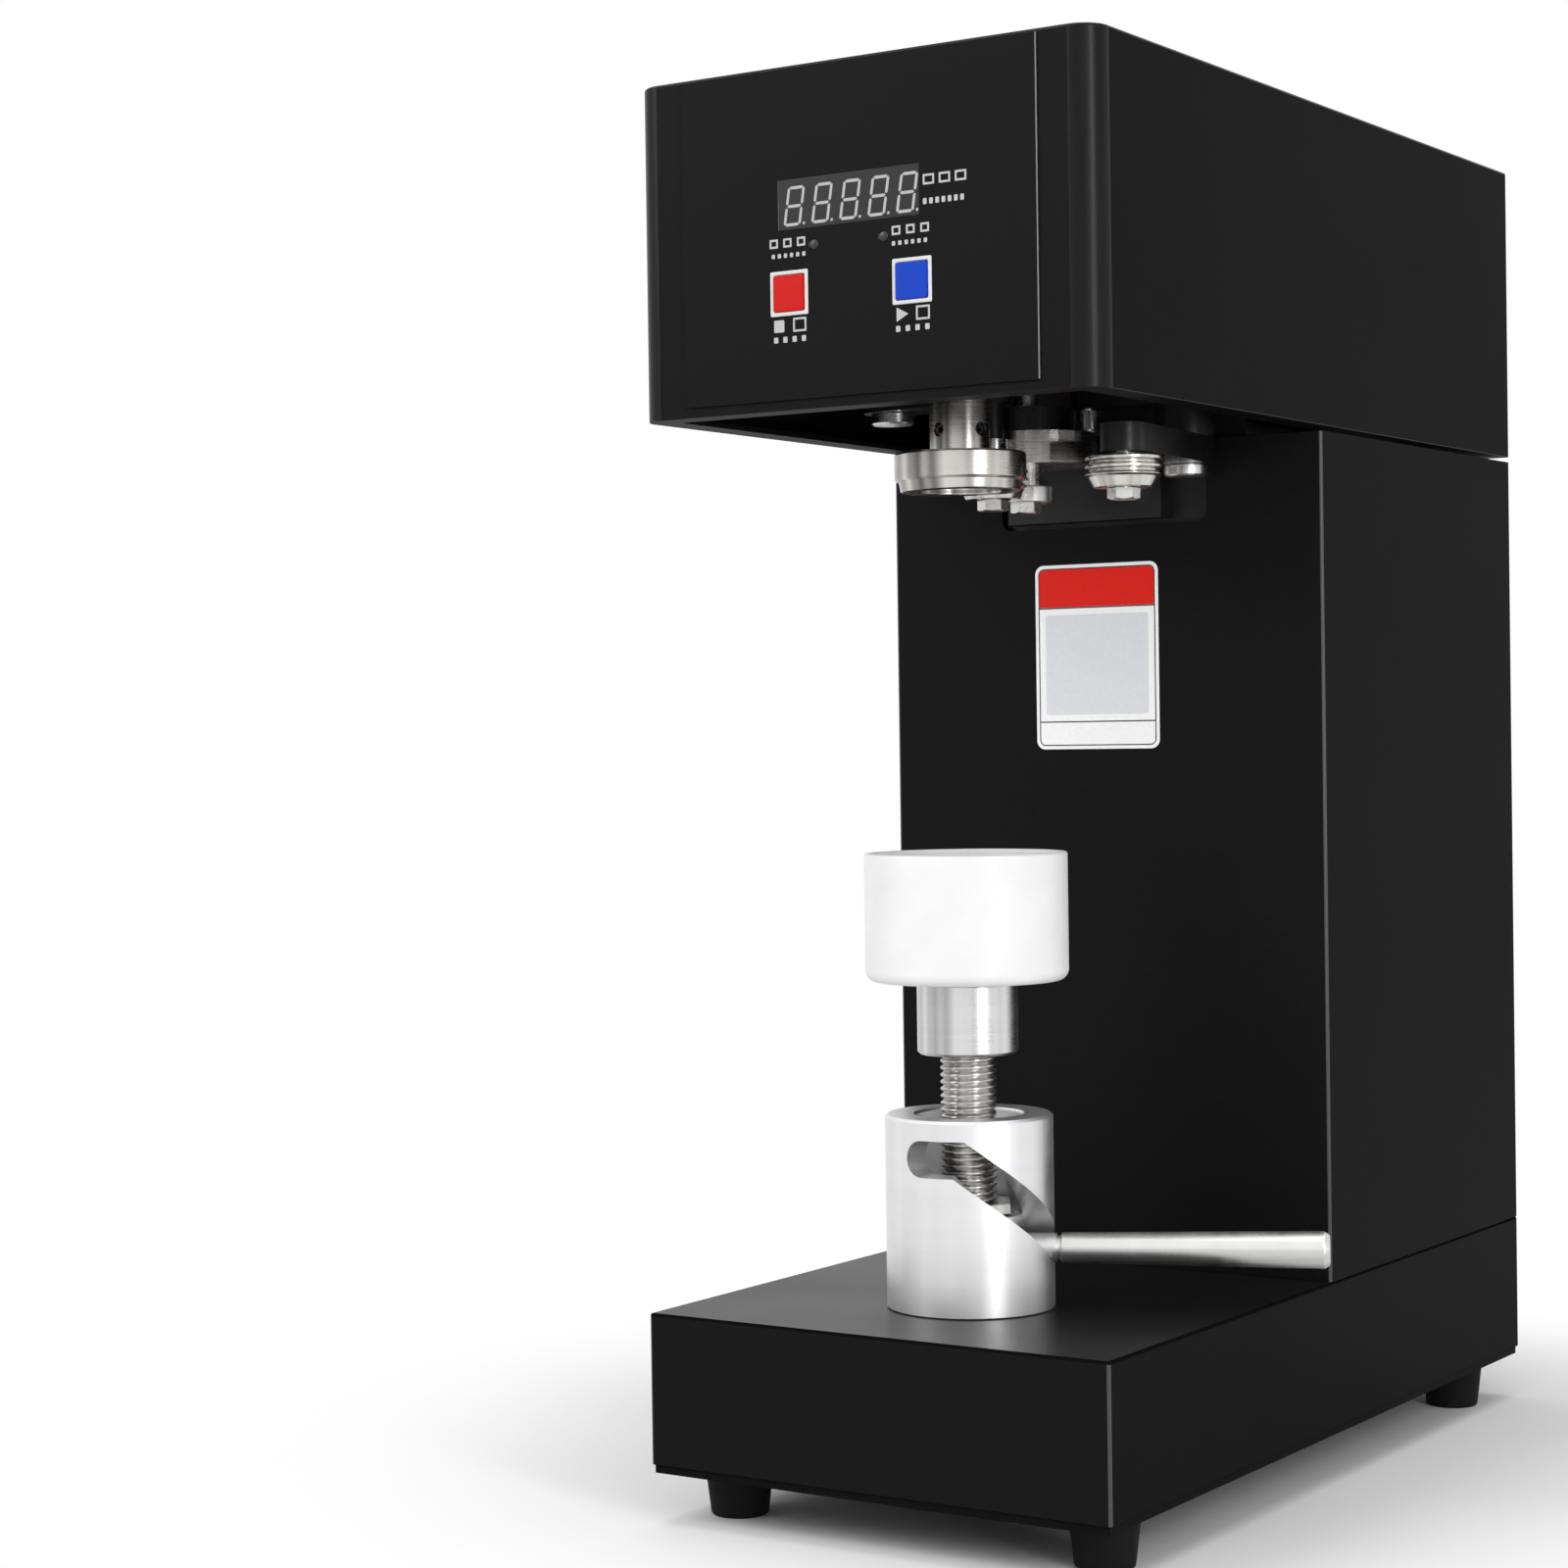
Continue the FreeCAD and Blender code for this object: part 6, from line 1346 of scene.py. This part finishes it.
@dataclass
class Feet:
    """The rubber feet under the base."""

    span: Span = field(default_factory=lambda: Span.of("rubber_feet"))
    top_radius: float = 12.5
    taper: float = 2.2
    recess: float = 4.5
    recess_depth: float = 6.0
    bore: float = 2.2

    def build(self) -> None:
        """Build four turned feet, each with a recess for its screw."""
        span, radius, height, depth = self.span, self.top_radius, self.span.high, self.recess_depth
        profile = eased([
            (self.recess, depth, 0), (self.recess, 0, 0.5), (radius - self.taper, 0, 1.2),
            (radius - 0.35, height * 0.86, 2.0), (radius, height, 0.3), (self.bore, height, 0),
            (self.bore, depth, 0), (self.recess, depth, 0)])[:-1]
        foot = lathe(profile, 72, closed=True)
        places = [(x, y) for x in (span.left + radius, span.right - radius)
                  for y in (span.front + radius, span.back - radius)]
        piece("turned_feet", all_of(foot.moved(x, y) for x, y in places), RUBBER, FRAME_BODY,
              ["rubber_feet"])


@dataclass
class Lift:
    """The lift: barrel, threaded screw, lever, collar, bearing and cup."""

    barrel: Span = field(default_factory=lambda: Span.of("cam_barrel"))
    sleeve: Span = field(default_factory=lambda: Span.of("piston_sleeve"))
    screw: Span = field(default_factory=lambda: Span.of("lift_screw"))
    collar: Span = field(default_factory=lambda: Span.of("height_collar"))
    cup: Span = field(default_factory=lambda: Span.of("can_cup"))
    bearing: Span = field(default_factory=lambda: Span.of("cup_bearing"))
    pitch: float = 2.5
    thread_radius: float = 9.94
    thread_depth: float = 1.3
    nut_radius: float = 16.5
    nut_height: float = 4.0
    running_gap: float = 0.3
    lever_angle: float = 25.0
    lever_length: float = 126.7
    lever_stud: float = 4.0
    lever_shoulder: float = 19.3
    lever_root: float = 5.2
    lever_groove: float = 0.9
    lever_thin: float = 5.4
    lever_thick: float = 6.6
    collar_chamfer: float = 1.0
    cup_bore: float = 33.5
    cup_depth: float = 35.0
    cup_foot: float = 4.0
    cup_rim: float = 0.9

    def build(self) -> None:
        """Build the whole lift."""
        kept(SATIN_ALUMINIUM, "cam_barrel")
        kept(TURNED_STEEL, "piston_sleeve")
        kept(BEARING_STEEL, "cup_bearing")
        self.build_screw()
        self.build_lever()
        self.build_collar()
        self.build_cup()

    def build_screw(self) -> None:
        """Build the threaded screw and its lock nut, a hexagon plate closed round the thread."""
        rod = thread(self.thread_radius, self.pitch, self.thread_depth, self.screw.low, self.screw.high)
        low = self.sleeve.high + self.running_gap
        hole = circle(self.thread_radius - 0.2)
        nut = plate(polygon(6, self.nut_radius), 0, self.nut_height, 0.5, [hole])
        piece("threaded_screw", (rod + nut.moved(z=low)).moved(0, AXIS_Y), THREAD_STEEL, "lift_screw",
              ["lift_screw"])

    def build_lever(self) -> None:
        """Build the polished lever: a stud, a root, a groove outside the barrel and a rod that widens."""
        outside, inner = self.barrel.radius + 1, self.thread_radius + 2
        stud, root, groove = self.lever_stud, self.lever_root, self.lever_root - self.lever_groove
        shoulder, thick, end = self.lever_shoulder, self.lever_thick, self.lever_length
        profile = eased([
            (0, inner, 0), (stud, inner, 0), (stud, shoulder, 0), (root, shoulder, 0.2),
            (root, outside - 0.2, 0.2), (groove, outside + 0.1, 0.2), (groove, outside + 1.0, 0.2),
            (self.lever_thin, outside + 1.8, 0.4), (thick, end - 2, 1.2), (thick - 1.2, end, 1.0),
            (0, end, 0)], 7)
        rod = lathe(profile, 72).turned("Y", 90).turned("Z", self.lever_angle)
        height = float(joint_place("lever_swing")[2])
        piece("polished_lever", rod.moved(0, AXIS_Y, height), POLISHED, "lever", ["lift_lever"])

    def build_collar(self) -> None:
        """Build the height collar: a turned sleeve with a chamfer at both ends and a spigot on top."""
        radius, low, top = self.collar.radius, self.collar.low, self.collar.high
        high, spigot, cut = self.cup.low - self.running_gap, self.thread_radius, self.collar_chamfer
        bore = self.thread_radius + 0.06
        profile = eased([
            (bore, low, 0), (radius - cut, low, 0.2), (radius, low + cut, 0.3), (radius, high - cut, 0.3),
            (radius - cut, high, 0.2), (spigot, high, 0.1), (spigot, top, 0.3), (0, top, 0)], 5)
        inside = np.array([(0.0, high - 3), (bore, high - 3)])
        piece("turned_collar", lathe(np.vstack([profile, inside]), 96, closed=True).moved(0, AXIS_Y),
              TURNED_STEEL, "height_collar", ["height_collar"])

    def build_cup(self) -> None:
        """Build the nylon cup: a wall with rounded rim and foot, a floor, and a seat for the bearing."""
        radius, low, high = self.cup.radius, self.cup.low, self.cup.high
        ceiling, floor, seat = self.bearing.high, high - self.cup_depth, self.bearing.radius + 0.06
        bore, rim = self.cup_bore, self.cup_rim
        profile = eased([
            (0, ceiling, 0), (seat, ceiling, 0.2), (seat, low, 0.4), (radius, low, self.cup_foot),
            (radius, high, rim), (bore, high, rim), (bore, floor, 1.5), (0, floor, 0)], 8)
        piece("nylon_cup", lathe(profile, 128).moved(0, AXIS_Y), NYLON, "can_cup", ["can_cup"])


@dataclass
class SeamingHead:
    """The chuck, the cams, the two arms and their rollers under the hood."""

    chuck: Span = field(default_factory=lambda: Span.of("seaming_chuck"))
    hub: float = 10.7
    nose: float = 22.0
    nose_height: float = 3.6
    flange_height: float = 10.0
    recess: float = 14.0
    recess_depth: float = 2.6
    spigot: float = 6.0
    screw_drop: float = 16.7
    screw_angles: tuple[float, float] = (-105.0, -15.0)
    screw_hole: float = 2.5
    roller_height: float = 11.0
    groove: float = 1.6
    neck: float = 5.0
    bolt: float = 3.0
    bolt_gap: float = 0.3
    head_radius: float = 5.8
    head_height: float = 4.0
    second_bolt_top: float = 388.0
    pin_head: float = 4.6
    spacer: float = 10.5
    spacer_neck: float = 5.3

    def build(self) -> None:
        """Build the head."""
        self.build_chuck()
        self.build_rollers()
        self.build_bolts()
        # The cam's steel is painted lighter, against the hood's shade.
        kept(CAM_STEEL_LIT, "first_cam")
        kept(ARM_STEEL, "second_cam", "first_arm", "second_arm")
        kept(BEARING_STEEL, "first_follower", "second_follower", "spindle_bearings")
        kept(BRONZE, "cam_shaft_bush")
        kept(BOLT_STEEL, "arm_pivots", "arm_springs")
        kept(FRAME_STEEL, "head_plate", "head_bracket")
        kept(TURNED_STEEL, "spindle", "cam_shaft")
        kept(SATIN_ALUMINIUM, "spindle_housing")

    def build_chuck(self) -> None:
        """Build the chuck: a hub with two set screws over a flange and a nose that enters the lid."""
        low, high, wide = self.chuck.low, self.chuck.high, self.chuck.radius
        hub, nose, spigot, recess = self.hub, self.nose, self.spigot, self.recess
        ceiling, ledge = low + self.recess_depth, low + self.nose_height
        top, well = ledge + self.flange_height, low + self.recess_depth + 4
        profile = eased([
            (0, ceiling, 0), (recess, ceiling, 0.8), (recess, low, 0.5), (nose - 0.6, low, 0.5),
            (nose, ledge, 0.2), (wide - 0.8, ledge, 0.2), (wide, ledge + 0.8, 0.3), (wide, top - 0.6, 0.4),
            (wide - 0.6, top, 0.3), (hub, top, 0.9), (hub, high, 0.5), (spigot, high, 0), (spigot, well, 0),
            (0, well, 0)], 6)
        chuck = piece("chuck_body", lathe(profile, 128).moved(0, AXIS_Y), CHUCK_STEEL, "spindle",
                      ["seaming_chuck"])
        level, hole = high - self.screw_drop, self.screw_hole
        bore = lathe(np.array([(0, 5.5), (hole, 5.5), (hole, 12), (0, 12)]), 32)
        screw = socket_head(hole - 0.06, 3.6, 1.3).moved(z=6.05)
        holes, screws = ([shape.turned("Y", 90).turned("Z", angle).moved(0, AXIS_Y, level)
                          for angle in self.screw_angles] for shape in (bore, screw))
        carved(chuck, holes)
        piece("set_screws", all_of(screws), DARK_SCREWS, "spindle", ["chuck_screws"])

    def roller(self, radius: float, low: float, top: float) -> Surface:
        """Make a seaming roller: a taper below, three lands with two grooves between, and a neck.

        Args:
            radius: The radius of the lands.
            low: The underside.
            top: The top of the neck.

        Returns:
            The roller about the vertical axis.
        """
        bore, rim, root = self.bolt + 0.06, low + self.roller_height, radius - self.groove
        line = eased([
            (bore, low, 0), (radius - 3, low, 0.4), (radius - 1.2, low + 3.6, 0.3),
            (radius, low + 4.4, 0.3), (radius - 0.4, low + 5.0, 0.2), (root, low + 5.4, 0.3),
            (root, low + 6.1, 0.3), (radius, low + 6.7, 0.3), (radius, low + 7.7, 0.3),
            (root, low + 8.3, 0.3), (root, low + 9.0, 0.3), (radius, low + 9.6, 0.3), (radius, rim, 0.5),
            (self.neck, rim, 0.5), (self.neck, top, 0.2), (bore, top, 0)], 4)
        return lathe(line, 112, closed=True)

    def build_rollers(self) -> None:
        """Build both rollers on their bolts' axes, each with its rings about its own axis."""
        for name in ("first", "second"):
            span = Span.of(f"{name}_roller")
            x, y, _ = joint_place(f"{name}_roller_spin")
            piece(f"{name}_roller_body", self.roller(span.radius, span.low, span.high).moved(x, y),
                  ROLLER_STEEL[name], f"{name}_roller", [f"{name}_roller"])

    def build_bolts(self) -> None:
        """Build the bolts, whose hexagon heads hang down, the follower's pin and the cam's spacer."""
        low = self.chuck.low
        foot = low - self.bolt_gap
        head = hex_head(self.head_radius, self.head_height).turned("X", 180)
        second = Span.of("second_arm_bolts")
        tops = {"first": Span.of("first_roller_bolt").high, "second": self.second_bolt_top}
        bolts = {}
        for name, top in tops.items():
            shank = lathe(np.array([(0, foot), (self.bolt, foot), (self.bolt, top), (0, top)]), 32)
            x, y, _ = joint_place(f"{name}_roller_spin")
            bolts[name] = (head.moved(z=foot) + shank).moved(x, y)
        x, y, _ = joint_place("second_follower_spin")
        under = Span.of("second_follower").low - self.bolt_gap
        wide, thin = self.pin_head, self.bolt
        pin = lathe(eased([(0, under - 1.2, 0), (wide, under - 1.2, 0.3), (wide, under, 0.2),
                           (thin, under, 0), (thin, second.high, 0.3), (0, second.high, 0)], 3), 32)
        piece("first_bolts", bolts["first"], BOLT_STEEL, "first_arm", ["first_roller_bolt"])
        piece("second_bolts", bolts["second"] + pin.moved(x, y), BOLT_STEEL, "second_arm",
              ["second_arm_bolts"])
        x, y, _ = joint_place("cam_turn")
        wide, thin, step, top = self.spacer, self.spacer_neck, low + 6, low + 13.6
        spacer = lathe(eased([(0, low, 0), (wide, low, 0.6), (wide, step, 0.6), (thin, step, 0.2),
                              (thin, top, 0), (0, top, 0)], 4), 64)
        piece("cam_bolt_head", (head.moved(z=low) + spacer).moved(x, y), BOLT_STEEL, "cam_unit",
              ["cam_bolt"])


@dataclass
class Drive:
    """What is inside the casing: frame, motor, gearmotor, belt, pulleys, supply and board."""

    def build(self) -> None:
        """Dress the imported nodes."""
        kept(FRAME_STEEL, "column_frame", "bed_plate")
        kept(MOTOR_ENAMEL, "drive_motor", "cam_gearmotor")
        kept(BELT_RUBBER, "drive_belt")
        kept(SATIN_ALUMINIUM, "spindle_pulley", "motor_pulley")
        kept(TURNED_STEEL, "motor_shaft")
        kept(BOLT_STEEL, "spindle_nut")
        kept(SUPPLY_METAL, "power_supply")
        kept(BOARD, "control_board")
        kept(DIGIT_BLOCK, "digit_display")


@dataclass
class Fasteners:
    """Screws that hold the casing, the base and the head."""

    def build(self) -> None:
        """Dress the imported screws."""
        kept(DARK_SCREWS, "panel_screws", "base_screws")
        kept(BOLT_STEEL, "head_plate_screws")


@dataclass
class PowerEntry:
    """The mains inlet and the switch at the back of the base."""

    def build(self) -> None:
        """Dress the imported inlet, switch and rocker."""
        kept(ENTRY_PLASTIC, "power_inlet", "switch_housing", "power_rocker")


# Studio

class Lamp(Enum):
    """The soft lamps: place and aim, width and height, all in metres, and power in watts."""

    KEY = ((-1.2, -1.6, 1.5), (0.0, -0.1, 0.25), (1.7, 1.7), 26.0)
    SIDE = ((1.6, -1.2, 1.3), (0.0, 0.0, 0.25), (1.5, 1.5), 6.0)
    TOP = ((0.1, 0.0, 2.2), (0.0, 0.0, 0.3), (1.8, 1.8), 20.0)
    STRIP = ((1.25, -0.72, 0.45), (0.0, -0.11, 0.3), (0.32, 1.3), 8.0)


@dataclass
class Studio:
    """The floor, the lamps, the surroundings and the camera."""

    camera_place: tuple[float, float, float] = (0.585458, -1.108307, 0.278393)
    yaw: float = 0.587
    pitch: float = -0.014
    roll: float = -0.014
    focal_pixels: float = 3301.955
    image_width: float = 1600.0
    sensor: float = 36.0
    floor_size: float = 6.0
    floor_fade: tuple[float, float] = (0.20, 0.38)
    floor_color: tuple[float, float, float, float] = (0.93, 0.93, 0.93, 1.0)
    surround: float = 0.40

    def build(self) -> None:
        """Build the studio."""
        self.build_floor()
        self.build_world()
        for lamp in Lamp:
            self.build_lamp(lamp)
        self.build_camera()
        bpy.context.scene.view_settings.view_transform = "Standard"

    def build_floor(self) -> None:
        """Build a pale floor that fades to plain white away from the machine."""
        nodes = Nodes(bpy.data.materials.new("pale floor"))
        away = nodes.add("VectorMath", {"operation": "LENGTH"}, _0=nodes.place()).outputs["Value"]
        near, far = self.floor_fade
        fade = nodes.add("MapRange", {"interpolation_type": "SMOOTHSTEP"}, Value=away, From_Min=near,
                         From_Max=far).outputs["Result"]
        matt = nodes.add("BsdfPrincipled", Base_Color=self.floor_color, Roughness=0.9,
                         Specular_IOR_Level=0.1)
        white = nodes.add("Emission", Color=(1, 1, 1, 1), Strength=1.0)
        nodes.blend(nodes.math("MULTIPLY", fade, nodes.seen()), matt, white)
        half = self.floor_size / 2
        mesh = bpy.data.meshes.new("floor")
        mesh.from_pydata([(-half, -half, 0), (half, -half, 0), (half, half, 0), (-half, half, 0)], [],
                         [(0, 1, 2, 3)])
        mesh.materials.append(nodes.owner)
        floor = bpy.data.objects.new("floor", mesh)
        bpy.context.scene.collection.objects.link(floor)

    def build_world(self) -> None:
        """Light everything softly, and show white where the surroundings are seen."""
        world = bpy.data.worlds.new("surroundings")
        nodes = Nodes(world, "OutputWorld")
        soft, plain = (nodes.add("Background", Color=(1, 1, 1, 1), Strength=strength)
                       for strength in (self.surround, 1.0))
        nodes.blend(nodes.seen(), soft, plain)
        bpy.context.scene.world = world

    def build_lamp(self, lamp: Lamp) -> None:
        """Build one soft lamp, aimed at the machine.

        Args:
            lamp: Which lamp.
        """
        place, aim, size, power = lamp.value
        data = bpy.data.lights.new(lamp.name.lower(), "AREA")
        data.shape, data.size, data.size_y, data.energy = "ELLIPSE", *size, power
        item = bpy.data.objects.new(lamp.name.lower(), data)
        item.location = place
        item.rotation_euler = (Vector(place) - Vector(aim)).to_track_quat("Z", "Y").to_euler()
        bpy.context.scene.collection.objects.link(item)

    def build_camera(self) -> None:
        """Build the camera at the photograph's angle, from its yaw, pitch and roll."""
        data = bpy.data.cameras.new("camera")
        data.sensor_width = self.sensor
        data.lens = self.focal_pixels / self.image_width * self.sensor
        data.clip_start = 0.01
        ahead = Vector((-math.sin(self.yaw) * math.cos(self.pitch),
                        math.cos(self.yaw) * math.cos(self.pitch), math.sin(self.pitch)))
        right = Vector((math.cos(self.yaw), math.sin(self.yaw), 0))
        up = right.cross(ahead)
        tilted_right = right * math.cos(self.roll) + up * math.sin(self.roll)
        tilted_up = up * math.cos(self.roll) - right * math.sin(self.roll)
        turn = Matrix((tilted_right, tilted_up, -ahead)).transposed().to_4x4()
        item = bpy.data.objects.new("camera", data)
        item.matrix_world = Matrix.Translation(self.camera_place) @ turn
        bpy.context.scene.collection.objects.link(item)
        bpy.context.scene.camera = item


def main() -> None:
    """Build the machine's looks and the studio, in order."""
    logging.basicConfig(level=logging.INFO, format="%(message)s")
    for part in (Casing(), Controls(), ColumnLabel(), Feet(), Lift(), SeamingHead(), Drive(), Fasteners(),
                 PowerEntry()):
        log.info("building %s", type(part).__name__)
        part.build()
    Studio().build()


if __name__ == "__main__":
    main()
